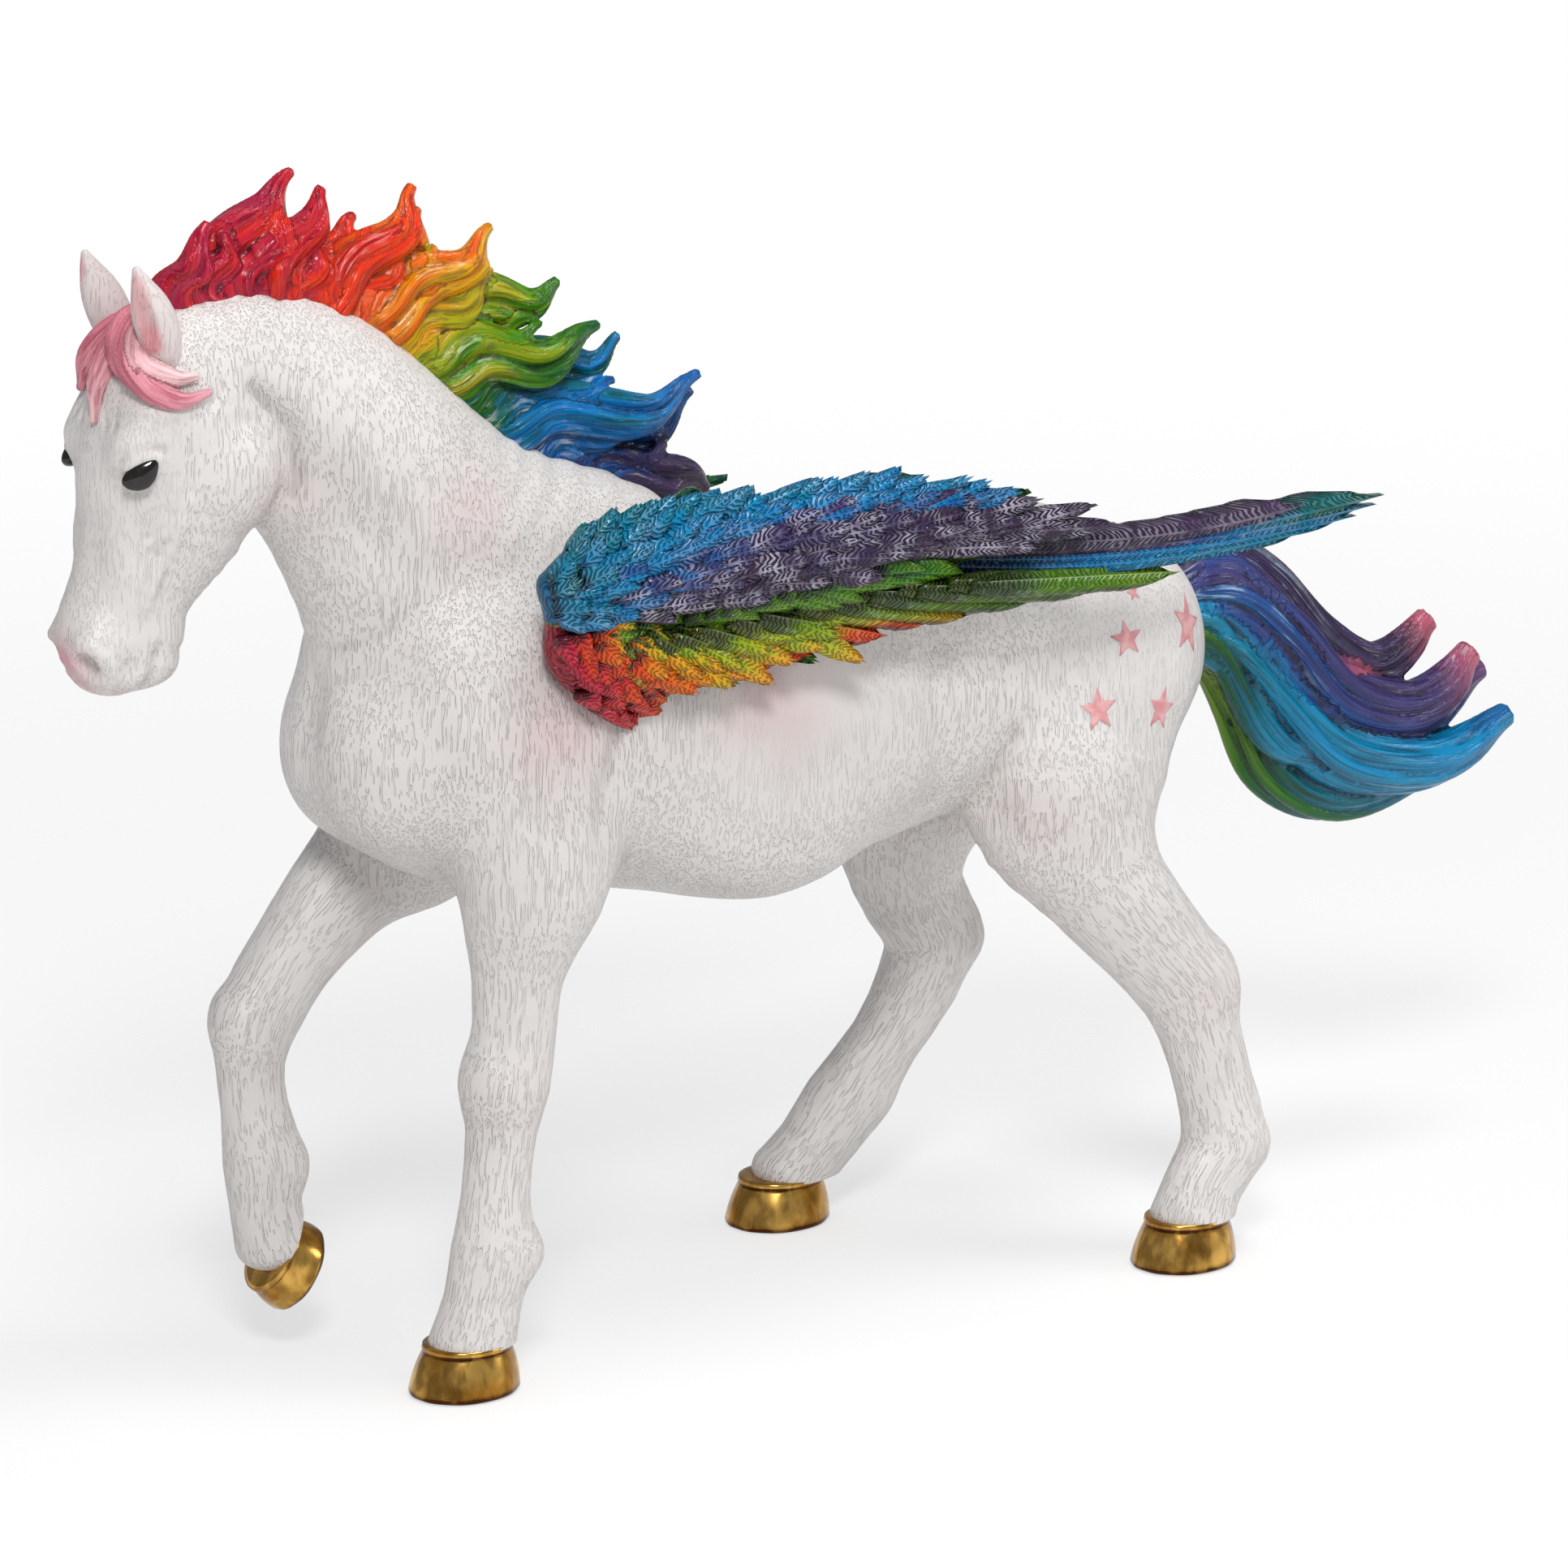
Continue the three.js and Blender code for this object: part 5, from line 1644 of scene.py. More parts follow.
@dataclass
class Stars:
    """Stars in a thin film of paint on both sides of the rump; the notches' radius is a share of the points'."""

    layout: tuple[Star, ...] = (
        Star((69.1, 61.8), 1.75, 4), Star((77.1, 61.8), 2.1, -16, 1.35), Star((65.8, 55.5), 1.95, 2, 1.1),
        Star((73.2, 54.5), 1.75, -14, 1.25), Star((70.8, 65.7), 0.7, 10))
    film: float = 0.07
    inner: float = 0.42
    body: Body | None = None
    made: list[bpy.types.Object] = field(default_factory=list)

    def build(self) -> None:
        """Lays every star on the rump."""
        mesh = self.body.made["torso"].data
        places = millimetres(mesh)
        tree = BVHTree.FromPolygons(places.tolist(), triangles_of(mesh).tolist())
        for number, (star, side) in enumerate(itertools.product(self.layout, Side)):
            vertices, faces = self.film_of(star, side, tree)
            if vertices is not None:
                self.made.append(mesh_object(f"star_{number + 1}", vertices, faces))

    def film_of(self, star: Star, side: Side, tree: BVHTree) -> tuple[np.ndarray | None, np.ndarray | None]:
        """One star as a film of paint.

        Args:
            star: The star.
            side: Side of the horse.
            tree: Surface of the trunk.

        Returns:
            Vertices and triangles, or nothing where the star misses the trunk.
        """
        corners = []
        for k in range(10):
            radius = star.radius * (1 if k % 2 == 0 else self.inner)
            angle = math.radians(90 + star.turn + 36 * k)
            corners.append((radius * math.cos(angle), radius * math.sin(angle) * star.stretch))
        corners = np.array(corners)
        rim = np.vstack([corners[k] + (corners[(k + 1) % 10] - corners[k]) * t for k in range(10) for t in (0, 0.5)])
        flat = [rim * share for share in (1, 0.75, 0.5, 0.25)] + [np.zeros((1, 2))]
        top, low = [], []
        for u, w in np.vstack(flat):
            start = Vector((star.middle[0] + u, side.value * 40, star.middle[1] + w))
            hit, normal, _, _ = tree.ray_cast(start, Vector((0, -side.value, 0)))
            if hit is None:
                return None, None
            top.append(np.array(hit) + np.array(normal) * self.film)
            low.append(np.array(hit) - np.array(normal) * self.film * 3)
        count, sides = len(top), len(rim)
        faces = []
        for i in range(sides):
            j = (i + 1) % sides
            for ring in range(3):
                faces += strip(ring * sides, (ring + 1) * sides, i, j)
            faces.append((3 * sides + i, 3 * sides + j, 4 * sides))
        below = [(c + count, b + count, a + count) for a, b, c in faces]
        wall = [face for i in range(sides)
                for j in [(i + 1) % sides] for face in ((j, i, i + count), (j, i + count, j + count))]
        every = np.array(faces + below + wall)
        return np.vstack([top, low]), every if side is Side.LEFT else every[:, ::-1]

    def dress(self) -> None:
        """Paints the stars."""
        for thing in self.made:
            seat_piece(thing, None, DustyRose())


# Hair


RAINBOW_MANE = (
    (0.0, "a81e40"), (0.1, "b81a26"), (0.19, "d82e06"), (0.28, "dc5a04"), (0.37, "d09a06"), (0.45, "9c9a04"),
    (0.53, "4a8204"), (0.6, "1c5c0e"), (0.67, "02605e"), (0.75, "0470b2"), (0.84, "045298"), (0.92, "322e58"),
    (1.0, "3c2e48"))
RAINBOW_TAIL = (
    (0.0, "98a206"), (0.12, "6a8c04"), (0.24, "20600e"), (0.34, "02504a"), (0.46, "027a9c"), (0.6, "027cac"),
    (0.72, "144a8c"), (0.84, "3a3a70"), (0.93, "3c2c54"), (1.0, "241a36"))
RAINBOW_WING = (
    (0.0, "b81a38"), (0.08, "cc2c18"), (0.16, "dc5204"), (0.25, "d89c04"), (0.33, "a4ac02"), (0.42, "6a9202"),
    (0.5, "387404"), (0.57, "0c5c2e"), (0.63, "02707c"), (0.7, "027cb0"), (0.78, "0a5a98"), (0.86, "3c3260"),
    (0.93, "36263e"), (1.0, "5c4a6c"))


@dataclass(frozen=True)
class RainbowPaint(Finish):
    """Glossy paint whose hue follows the hair or the feathers.

    Attributes:
        hues: Colours along the mark hue.
        chalk: Pale dry brush over the ridges, partly a painted highlight.
        shade_colour: Colour of the painted shade in the grooves and hollows.
        rose: Paint on the tips.
        cloud: Soft patches per metre.
        roughness: Roughness of the varnish.
        gloss: Its specular level.
        threads: Fine lines per millimetre across a strand.
        line_depth: Depth of the fine lines in millimetres.
        name: Name of the material.
    """

    hues: tuple[tuple[float, str], ...] = RAINBOW_MANE
    chalk: str = "efe6d2"
    shade_colour: str = "1c1420"
    rose: str = "b8586c"
    cloud: float = 420.0
    roughness: float = 0.24
    gloss: float = 0.32
    threads: float = 2.4
    line_depth: float = 0.09
    name: str = "mane rainbow"

    def lines(self, sketch: Sketch) -> Socket:
        """Fine lines that run with the hair or the barbs, ridges as 1 and grooves as 0."""
        bent = sketch.scaled(sketch.mark("flow", "Vector"), (self.threads, self.threads, 0.06))
        return sketch.rise(sketch.noise(bent, 1.0, 2.0, 0.55), 0.34, 0.62)

    @staticmethod
    def streaks(sketch: Sketch) -> Socket:
        """Broad streaks in which one hue runs into the next."""
        bent = sketch.scaled(sketch.mark("flow", "Vector"), (0.75, 0.75, 0.045))
        return sketch.maths("MULTIPLY_ADD", sketch.noise(bent, 1.0, 1.0), 0.3, -0.15)

    def coat(self, sketch: Sketch, shader: bpy.types.Node) -> None:
        """Draws the paint.

        Args:
            sketch: The material's tree.
            shader: Its Principled shader.
        """
        cloud = sketch.noise(sketch.place(), self.cloud, 3.0)
        lines = sketch.maths("MAXIMUM", self.lines(sketch), sketch.mark("calm"))
        base = sketch.ramp(sketch.maths("ADD", sketch.mark("hue"), self.streaks(sketch)), self.hues)
        # Painted shade: a darker copy of each hue goes in the grooves between the fine lines.
        painted_shade = sketch.node("ShaderNodeHueSaturation", {"Saturation": 1.1, "Value": 0.74, "Color": base})
        rosy = sketch.mix(sketch.mark("tip"), sketch.mix(lines, painted_shade.outputs[0], base), paint(self.rose))
        # Pale dry brush on the ridges of the lines, in patches, partly a painted highlight.
        ridge_highlight = sketch.times(sketch.rise(lines, 0.6, 1.0), sketch.rise(cloud, 0.36, 0.7))
        highlighted = sketch.mix(sketch.times(sketch.mark("chalk"), ridge_highlight, clamp=True), rosy, paint(self.chalk))
        # Painted shade: the hollows and the grooves of the fine lines are darkened towards the shade colour.
        hollow_shade = sketch.times(sketch.rise(sketch.mark("hollow"), 0.1, 1.0), 0.7)
        line_and_hollow_shade = sketch.maths("MULTIPLY_ADD", sketch.rise(lines, 0.4, 0.0), 0.35, hollow_shade, clamp=True)
        sketch.feed(shader, {
            "Base Color": sketch.mix(line_and_hollow_shade, highlighted, paint(self.shade_colour)),
            "Roughness": sketch.maths("MULTIPLY_ADD", cloud, 0.2, self.roughness - 0.1),
            "Specular IOR Level": self.gloss})
        self.relief(sketch, shader, lines, self.line_depth)


def open_group(name: str, inputs: dict[str, str]) -> Sketch:
    """Starts a Geometry Nodes group.

    Args:
        name: Name of the group.
        inputs: Socket kinds of the inputs that follow Geometry, by name.

    Returns:
        Its tree, to be drawn on.
    """
    tree = bpy.data.node_groups.new(name, "GeometryNodeTree")
    for key, kind in {"Geometry": "Geometry", **inputs}.items():
        tree.interface.new_socket(key, in_out="INPUT", socket_type=f"NodeSocket{kind}")
    tree.interface.new_socket("Geometry", in_out="OUTPUT", socket_type="NodeSocketGeometry")
    return Sketch(tree)


def close_group(sketch: Sketch, geometry: Socket, material: Socket) -> bpy.types.NodeTree:
    """Makes the instances real, gives them their material and ends the group.

    Args:
        sketch: The tree.
        geometry: What it made.
        material: Material of the result.

    Returns:
        The finished tree.
    """
    real = sketch.node("GeometryNodeRealizeInstances", {"Geometry": geometry})
    dressed = sketch.node("GeometryNodeSetMaterial", {"Geometry": real.outputs["Geometry"], "Material": material})
    sketch.node("NodeGroupOutput", {"Geometry": dressed.outputs["Geometry"]})
    return sketch.tree


def strand_tree() -> bpy.types.NodeTree:
    """Geometry Nodes that grow round strands along drawn lines.

    Returns:
        The tree, with its inputs Sides and Material.
    """
    if "strands" in bpy.data.node_groups:
        return bpy.data.node_groups["strands"]
    sketch = open_group("strands", {"Sides": "Int", "Material": "Material"})
    start = sketch.node("NodeGroupInput")
    lines = sketch.node("GeometryNodeMeshToCurve", {"Mesh": start.outputs["Geometry"]})
    thick = sketch.node("GeometryNodeInputNamedAttribute", {"Name": "thickness"}, data_type="FLOAT")
    ring = sketch.node("GeometryNodeCurvePrimitiveCircle", {"Resolution": start.outputs["Sides"], "Radius": MM})
    tube = sketch.node("GeometryNodeCurveToMesh", {
        "Curve": lines.outputs["Curve"], "Profile Curve": ring.outputs["Curve"],
        "Scale": thick.outputs["Attribute"], "Fill Caps": True})
    return close_group(sketch, tube.outputs["Mesh"], start.outputs["Material"])


def run_tree(thing: bpy.types.Object, tree: bpy.types.NodeTree, inputs: dict) -> None:
    """Runs a Geometry Nodes tree on an object and keeps the plain mesh.

    Args:
        thing: The object.
        tree: The tree.
        inputs: Values of the tree's inputs, by name.
    """
    modifier = thing.modifiers.new(tree.name, "NODES")
    modifier.node_group = tree
    for item in tree.interface.items_tree:
        if item.item_type == "SOCKET" and item.in_out == "INPUT" and item.name in inputs:
            modifier[item.identifier] = inputs[item.name]
    plain_mesh(thing)


@dataclass(frozen=True)
class Strand:
    """One thread of a lock.

    Attributes:
        path: Rows of x, y, z and radius.
        hue: Place in the rainbow, at the root and at the tip.
        tip: Share of rose at the tip.
        chalk: Share of the pale dry brush, partly a painted highlight.
        shade: Random value of its own.
        spine: Middle line of its lock, with as many rows as the path.
        drift: Shift of the fine lines of its lock.
    """

    path: np.ndarray
    hue: tuple[float, float]
    tip: float = 0.0
    chalk: float = 0.0
    shade: float = 0.0
    spine: np.ndarray | None = None
    drift: float = 0.0


@dataclass(frozen=True)
class Lock:
    """Pointed lock of hair.

    Attributes:
        stations: Sections from root to tip.
        hue: Place in the rainbow at the root and at the tip.
        threads: Strands round it.
        twist: Turn of the strands along it, in turns.
        tip: Share of rose at the tip.
        chalk: Share of the pale dry brush near the root, partly a painted highlight.
        wave: Height of the waves along it, in millimetres.
    """

    stations: tuple[Station, ...]
    hue: tuple[float, float]
    threads: int = 7
    twist: float = 0.12
    tip: float = 0.0
    chalk: float = 0.0
    wave: float = 0.0

    CORE_SHARE = 0.7
    THINNEST = 0.3
    HUE_PLAY = 0.045

    def strands(self, chance: np.random.Generator) -> list[Strand]:
        """Lays the strands round the lock.

        Args:
            chance: Source of small differences.

        Returns:
            The strands and a core.
        """
        path = smooth_path(self.stations, 8)
        _, sideways, across = moving_frame(path)
        share = np.linspace(0, 1, len(path))
        swing = self.wave * np.sin(2 * np.pi * (1.15 * share + chance.uniform(-0.1, 0.1)))
        swing *= smooth_step(0, 0.25, share) * smooth_step(1.1, 0.7, share)
        path[:, :3] += across * swing[:, None] + sideways * 0.4 * np.roll(swing, 3)[:, None]
        closing = smooth_step(1.02, 0.6, share)
        start = chance.uniform(0, 2 * math.pi)
        core = np.column_stack([path[:, :3], self.CORE_SHARE * np.minimum(path[:, 3], path[:, 4])])
        made = [Strand(core, self.hue, spine=path[:, :3], drift=4 * start)]
        for k in range(self.threads):
            angle = start + 2 * np.pi * (k / self.threads + self.twist * share) + chance.uniform(-0.2, 0.2)
            wave = 0.66 + 0.08 * np.sin(share * chance.uniform(4, 9) + chance.uniform(0, 6))
            out = (sideways * (np.cos(angle) * path[:, 4])[:, None] + across * (np.sin(angle) * path[:, 3])[:, None])
            size = (path[:, 3] + path[:, 4]) / 2
            radius = size * chance.uniform(0.32, 0.42) * (0.75 + 0.25 * closing) * 7 / (self.threads + 0.6)
            centre = path[:, :3] + out * (wave * (0.45 + 0.55 * closing))[:, None]
            jump = chance.uniform(-self.HUE_PLAY, self.HUE_PLAY)
            thread = np.column_stack([centre, np.maximum(radius, self.THINNEST)])
            hue = (self.hue[0] + jump, self.hue[1] + jump)
            made.append(Strand(thread, hue, self.tip, self.chalk, chance.uniform(0, 1), path[:, :3], 4 * start))
        return made


def between(first: Lock, second: Lock, shift: float, length: float) -> Lock:
    """Smaller lock that fills the gap between two.

    Args:
        first: One neighbour.
        second: The other.
        shift: Move in Y, in millimetres.
        length: Length as a share of theirs.

    Returns:
        The small lock.
    """
    rows = []
    for t in np.linspace(0, length, 4):
        pair = []
        for lock in (first, second):
            path = smooth_path(lock.stations, 6)
            pair.append(path[min(int(t * (len(path) - 1)), len(path) - 1)])
        row = (pair[0] + pair[1]) / 2
        row[1] += shift * math.sin(math.pi * min(t / length, 1) * 0.8 + 0.3)
        row[3:] *= 0.85 - 0.6 * t / length
        rows.append(tuple(row))
    hue = tuple((a + b) / 2 for a, b in zip(first.hue, second.hue))
    return Lock(tuple(rows), hue, 5, 0.2, (first.tip + second.tip) / 2, (first.chalk + second.chalk) / 2, first.wave)


@dataclass
class Hair:
    """Cast hair: locks of strands that are melted together.

    Attributes:
        node: Name of its node.
        slot: Its material slot; not used.
        locks: The locks.
        finish: Its paint.
        core: Sections of a solid that carries the roots.
        voxel: Fineness of the cast in millimetres.
        seed: Choice of the small differences.
        fillers: Small locks between each pair.
    """

    node: str
    slot: Slot
    locks: tuple[Lock, ...]
    finish: Finish
    core: tuple[Station, ...] = ()
    voxel: float = 0.27
    seed: int = 5
    fillers: tuple[float, ...] = ()
    made: bpy.types.Object | None = None

    STRAND_SIDES = 10
    CORE_SIDES = 16

    def draw(self) -> list[Strand]:
        """Lists all strands.

        Returns:
            The strands.
        """
        chance = np.random.default_rng(self.seed)
        locks = list(self.locks)
        for first, second in zip(self.locks, self.locks[1:]):
            locks += [between(first, second, shift, 0.62 + 0.1 * chance.random()) for shift in self.fillers]
        strands = [strand for lock in locks for strand in lock.strands(chance)]
        if self.core:
            path = smooth_path(self.core, 8)
            strands.append(Strand(np.column_stack([path[:, :3], path[:, 4]]), (-1, -1)))
        return strands

    def build(self) -> None:
        """Grows the strands and melts them together."""
        strands = self.draw()
        points, edges, thick = [], [], []
        for strand in strands:
            first = len(points)
            points += strand.path[:, :3].tolist()
            thick += strand.path[:, 3].tolist()
            edges += [(k, k + 1) for k in range(first, len(points) - 1)]
        mesh = bpy.data.meshes.new(self.node)
        mesh.from_pydata(metres(points).tolist(), edges, [])
        write_mark(mesh, "thickness", np.array(thick))
        self.made = set_out(f"{self.node}_looks", mesh)
        run_tree(self.made, strand_tree(), {"Sides": self.STRAND_SIDES, "Material": self.finish.material()})
        if self.core:
            vertices, faces = loft(smooth_path(self.core, 4), self.CORE_SIDES)
            self.made = joined(self.made.name, [self.made, mesh_object("core", vertices, faces)])
        fuse(self.made, self.voxel)
        self.paint_marks(strands)

    def paint_marks(self, strands: Sequence[Strand]) -> None:
        """Carries hue and flow from the strands over to the cast.

        Args:
            strands: What it was cast from.
        """
        mesh = self.made.data
        skin = Skin(millimetres(mesh), triangles_of(mesh))
        skin.smooth(2)
        move_to(mesh, skin.vertices)
        coloured = [strand for strand in strands if strand.hue[0] >= 0]
        tree = KDTree(sum(len(strand.path) for strand in coloured))
        rows, frames = [], []
        for strand in coloured:
            share = np.linspace(0, 1, len(strand.path))
            run = run_lengths(strand.path)
            frames.append(np.stack([strand.spine, *moving_frame(strand.spine)], axis=1))
            for place, at, done in zip(strand.path, share, run):
                tree.insert(Vector(place[:3]), len(rows))
                rows.append((strand.hue[0] + (strand.hue[1] - strand.hue[0]) * at, at, strand.shade, strand.tip,
                             strand.chalk, done, strand.drift))
        tree.balance()
        nearest = [tree.find(Vector(place))[1] for place in skin.vertices]
        found = np.array(rows)[nearest]
        axes = np.concatenate(frames)[nearest]
        across = np.einsum("nk,njk->nj", skin.vertices - axes[:, 0], axes[:, 1:])
        evened = found[:, 0]
        for _ in range(6):
            evened = (evened + skin.spread(evened)) / 2
        along = found[:, 1]
        flow = np.column_stack([across[:, 1] + found[:, 6], across[:, 2], found[:, 5] + across[:, 0]])
        # Painted shade: the hollows of the cast and the borders between strands are marked hollow, which the paint
        # darkens.
        border = skin.spread(smooth_step(0.25, 0.9, np.linalg.norm(flow - skin.spread(flow), axis=1)))
        marks = {
            "hue": evened, "tip": found[:, 3] * smooth_step(0.72, 0.97, along),
            "chalk": found[:, 4] * (found[:, 2] > 0.6) * smooth_step(0.6, 0.2, along),
            "hollow": skin.hollows(2) + 0.3 * border, "calm": skin.spread(border), "flow": flow}
        for name, values in marks.items():
            write_mark(mesh, name, values)
        mesh.shade_smooth()

    def dress(self) -> None:
        """Paints the hair."""
        seat_piece(self.made, self.node, self.finish)


def mane() -> Hair:
    """Mane that stands on the crest in the colours of the rainbow.

    Returns:
        The mane.
    """
    shapes = (
        (((-21.4, 0, 100.6, 2.2, 1.9), (-23, -0.9, 103, 2.2, 1.7), (-22.6, -1.4, 105.4, 1.8, 1.4),
          (-20, -1.4, 108.4, 0.8, 0.7)), (0.0, 0.05)),
        (((-17.6, 0.2, 101.4, 3.2, 2.1), (-16.8, 0.6, 104.6, 3.1, 1.9), (-15, 0.8, 107.6, 2.7, 1.6),
          (-13.2, 0.6, 109.8, 1.7, 1.1), (-10.6, 0.2, 111.8, 0.8, 0.7)), (0.03, 0.1)),
        (((-13.6, -0.6, 101, 2.8, 1.9), (-12.2, -1.4, 104, 2.8, 1.7), (-10.8, -1.5, 107.4, 2.3, 1.3),
          (-8.6, -1, 110.4, 0.8, 0.7)), (0.08, 0.13)),
        (((-10.6, 0.4, 100, 2.8, 1.9), (-8.4, 1.2, 103, 2.6, 1.7), (-5.6, 1.7, 105, 1.7, 1.2),
          (-3.4, 1.8, 106.8, 0.8, 0.7)), (0.14, 0.2)),
        (((-7.6, -0.4, 99, 2.8, 1.9), (-4.4, -0.9, 102.2, 2.6, 1.7), (-1.8, -0.9, 105, 2.3, 1.5),
          (-0.4, -0.7, 107.4, 1.5, 0.9), (1.2, -0.6, 109.4, 0.8, 0.7)), (0.18, 0.26)),
        (((-4.4, 0.6, 98.6, 2.4, 1.8), (-1, 1.2, 101.4, 2.5, 1.6), (1.6, 1.7, 104.2, 1.8, 1.2),
          (3.2, 1.8, 106.8, 0.8, 0.7)), (0.22, 0.3)),
        (((-2.6, -0.6, 97, 2.6, 1.9), (1.4, -1.2, 99.6, 2.5, 1.7), (4.6, -1.6, 101.8, 2.4, 1.4),
          (6.2, -1.5, 103.6, 1.7, 1), (8.8, -1.2, 105, 0.8, 0.7)), (0.27, 0.38)),
        (((1, 0.4, 94.6, 2.9, 2.1), (5.6, 0.9, 96.6, 2.9, 1.9), (10.4, 0.9, 97.8, 2.9, 1.6),
          (14.2, 0.7, 98, 1.8, 1), (16.8, 0.4, 98.9, 0.8, 0.7)), (0.4, 0.55)),
        (((4, -0.6, 91.4, 2.7, 2), (9.2, -1.6, 92.8, 2.7, 1.8), (14.2, -1.9, 93.4, 2.2, 1.4),
          (20, -1.4, 94.7, 0.8, 0.7)), (0.48, 0.62)),
        (((7, 0.6, 88.4, 2.6, 1.9), (12.6, 1.3, 90.2, 2.6, 1.7), (17.6, 1.7, 91, 2.4, 1.3), (21, 1.5, 91.6, 1.4, 0.8),
          (23.8, 1.4, 93, 0.8, 0.7)), (0.6, 0.72)),
        (((9.6, -0.4, 85.4, 2.7, 2), (15, -1.2, 86.8, 2.8, 1.8), (21, -1.6, 87, 2.7, 1.5), (26.4, -1.5, 87.2, 1.7, 1),
          (31, -1.2, 89, 0.8, 0.7)), (0.72, 0.8)),
        (((15.2, 0.6, 81.6, 2.5, 1.8), (20, 1.2, 83.2, 2.5, 1.7), (25, 1.5, 84, 2.3, 1.4), (28.6, 1.2, 84.9, 1.3, 0.8),
          (31.6, 1, 87, 0.8, 0.7)), (0.8, 0.87)),
        (((19.4, -0.2, 79.2, 2.1, 1.6), (24, -0.7, 80.8, 2.3, 1.6), (28.2, -1, 80.7, 2.1, 1.2),
          (31.8, -1, 77.9, 0.8, 0.7)), (0.9, 1.0)),
    )
    locks = tuple(Lock(stations, hue, 5, 0.18, chalk=0.4 if number > 3 else 0.12, wave=1.0)
                  for number, (stations, hue) in enumerate(shapes))
    crest = ((-21.2, 0, 100.4, 2.2, 1.7), (-14.6, 0, 102, 3.2, 2), (-5, 0, 99.6, 3.6, 2.1), (2.2, 0, 94.6, 3.8, 2.1),
             (8.4, 0, 89, 3.8, 2.1), (15.4, 0, 83.4, 3, 2), (23.6, 0, 78.6, 1.5, 1.5))
    return Hair("mane", Slot.MANE, locks, RainbowPaint(), crest, fillers=(-1.1, 1.1))


def tail() -> Hair:
    """Tail of long smooth strands that sweeps back and up.

    Returns:
        The tail.
    """
    shapes = (
        (((83.4, 0, 62, 1.9, 2), (90.4, 0.5, 63, 2.6, 2.2), (97.4, 1.2, 60, 3.2, 2.4), (104.6, 1.8, 54, 3.3, 2.5),
          (111, 1.6, 50.6, 2.9, 2.3), (116, 1.2, 51.8, 2.8, 2), (118, 1.1, 53.6, 2.6, 1.9)), (0.92, 0.97), 0.8),
        (((83.4, 0, 61.2, 2, 2.2), (90.4, -0.8, 60, 2.8, 2.4), (97.2, -1.4, 54.6, 3.4, 2.6),
          (104.4, -1.2, 48.5, 3.5, 2.7), (113.4, -0.6, 46.4, 3.3, 2.4), (119.6, -0.2, 48.4, 3.2, 2.3),
          (122.2, 0, 50, 2.7, 2)), (0.7, 0.92), 0.75),
        (((83.6, 0, 60.4, 2, 2.2), (90.6, 0.9, 57.4, 2.8, 2.4), (97, 1.7, 51.4, 3.3, 2.6), (104.4, 2.2, 45.5, 3.4, 2.6),
          (114.6, 2, 44.2, 3.3, 2.2), (121.4, 1.8, 46, 3, 2.1), (125, 1.6, 47.6, 2.4, 1.8)), (0.5, 0.84), 0.2),
        (((83.6, 0, 59.6, 2, 2.2), (89.8, -0.8, 55.2, 2.8, 2.4), (95.8, -1.5, 49, 3.3, 2.6),
          (103.6, -1.8, 43, 3.4, 2.6), (113.8, -1.4, 41, 3.3, 2.3), (121.4, -1, 41.6, 3.2, 2.3),
          (126.4, -0.8, 43.2, 2.5, 1.8)), (0.38, 0.66), 0.0),
        (((84, 0, 58.8, 1.9, 2), (89.4, 0.4, 53.8, 2.3, 2.2), (94, 0.7, 48.4, 2.6, 2.3), (98.8, 1, 42.2, 2.8, 2.3),
          (106.4, 0.8, 38.3, 2.8, 2.1), (116.4, 0.4, 38.8, 2.7, 2), (122.6, 0.2, 40.8, 2.2, 1.7)), (0.0, 0.5), 0.0),
    )
    locks = tuple(Lock(stations, hue, 7, 0.2, rose, 0.55, 1.1) for stations, hue, rose in shapes)
    finish = RainbowPaint(RAINBOW_TAIL, chalk="a9cdd8", roughness=0.24, threads=2.4, name="tail rainbow")
    return Hair("tail", Slot.TAIL, locks, finish, seed=11, fillers=(-1.6, 1.6))


@dataclass(frozen=True)
class RoseStreaks(RainbowPaint):
    """Rose paint over white of the forelock."""

    hues: tuple[tuple[float, str], ...] = ((0.0, "a84c5e"), (0.45, "cf808e"), (1.0, "efd8d6"))
    chalk: str = "f0e4e2"
    # Painted shade in the grooves and hollows of the forelock.
    shade_colour: str = "96454f"
    roughness: float = 0.42
    name: str = "rose streaks"


def forelock() -> Hair:
    """Forelock that parts over the brow and sweeps to the left.

    Returns:
        The forelock.
    """
    locks = (
        Lock(((-24.4, 0.4, 100.2, 1.5, 1.9), (-27.4, -0.6, 99.9, 1.9, 1.8), (-29.4, -2.8, 97.9, 1.8, 1.4),
              (-28.8, -5.2, 95.9, 1.4, 1), (-26.4, -6.8, 94.5, 1.1, 0.8), (-23.4, -7, 95, 0.3, 0.3)), (0.2, 0.6), 7),
        Lock(((-24.6, 0.6, 100, 1.6, 1.8), (-27.8, 1.3, 99.2, 1.7, 1.6), (-30.2, 2.3, 96.8, 1.3, 1.1),
              (-30.8, 3, 94.2, 0.4, 0.4)), (0.3, 0.6), 6),
        Lock(((-25, 0, 99.6, 1.4, 1.6), (-28.6, -0.2, 98.6, 1.5, 1.4), (-31, -0.6, 95.6, 1.1, 0.9),
              (-31.6, -0.9, 92, 0.3, 0.3)), (0.25, 0.8), 6),
        Lock(((-25.4, -0.6, 100.4, 1.2, 1.4), (-28, -2.2, 99.4, 1.4, 1.1), (-28.8, -4.4, 97.6, 1.2, 0.9),
              (-26.4, -6.2, 96.4, 0.8, 0.6), (-24.4, -6.6, 96.4, 0.3, 0.3)), (0.45, 0.9), 6),
    )
    return Hair("forelock", Slot.FORELOCK, locks, RoseStreaks(), voxel=0.2, seed=3)


# Wings


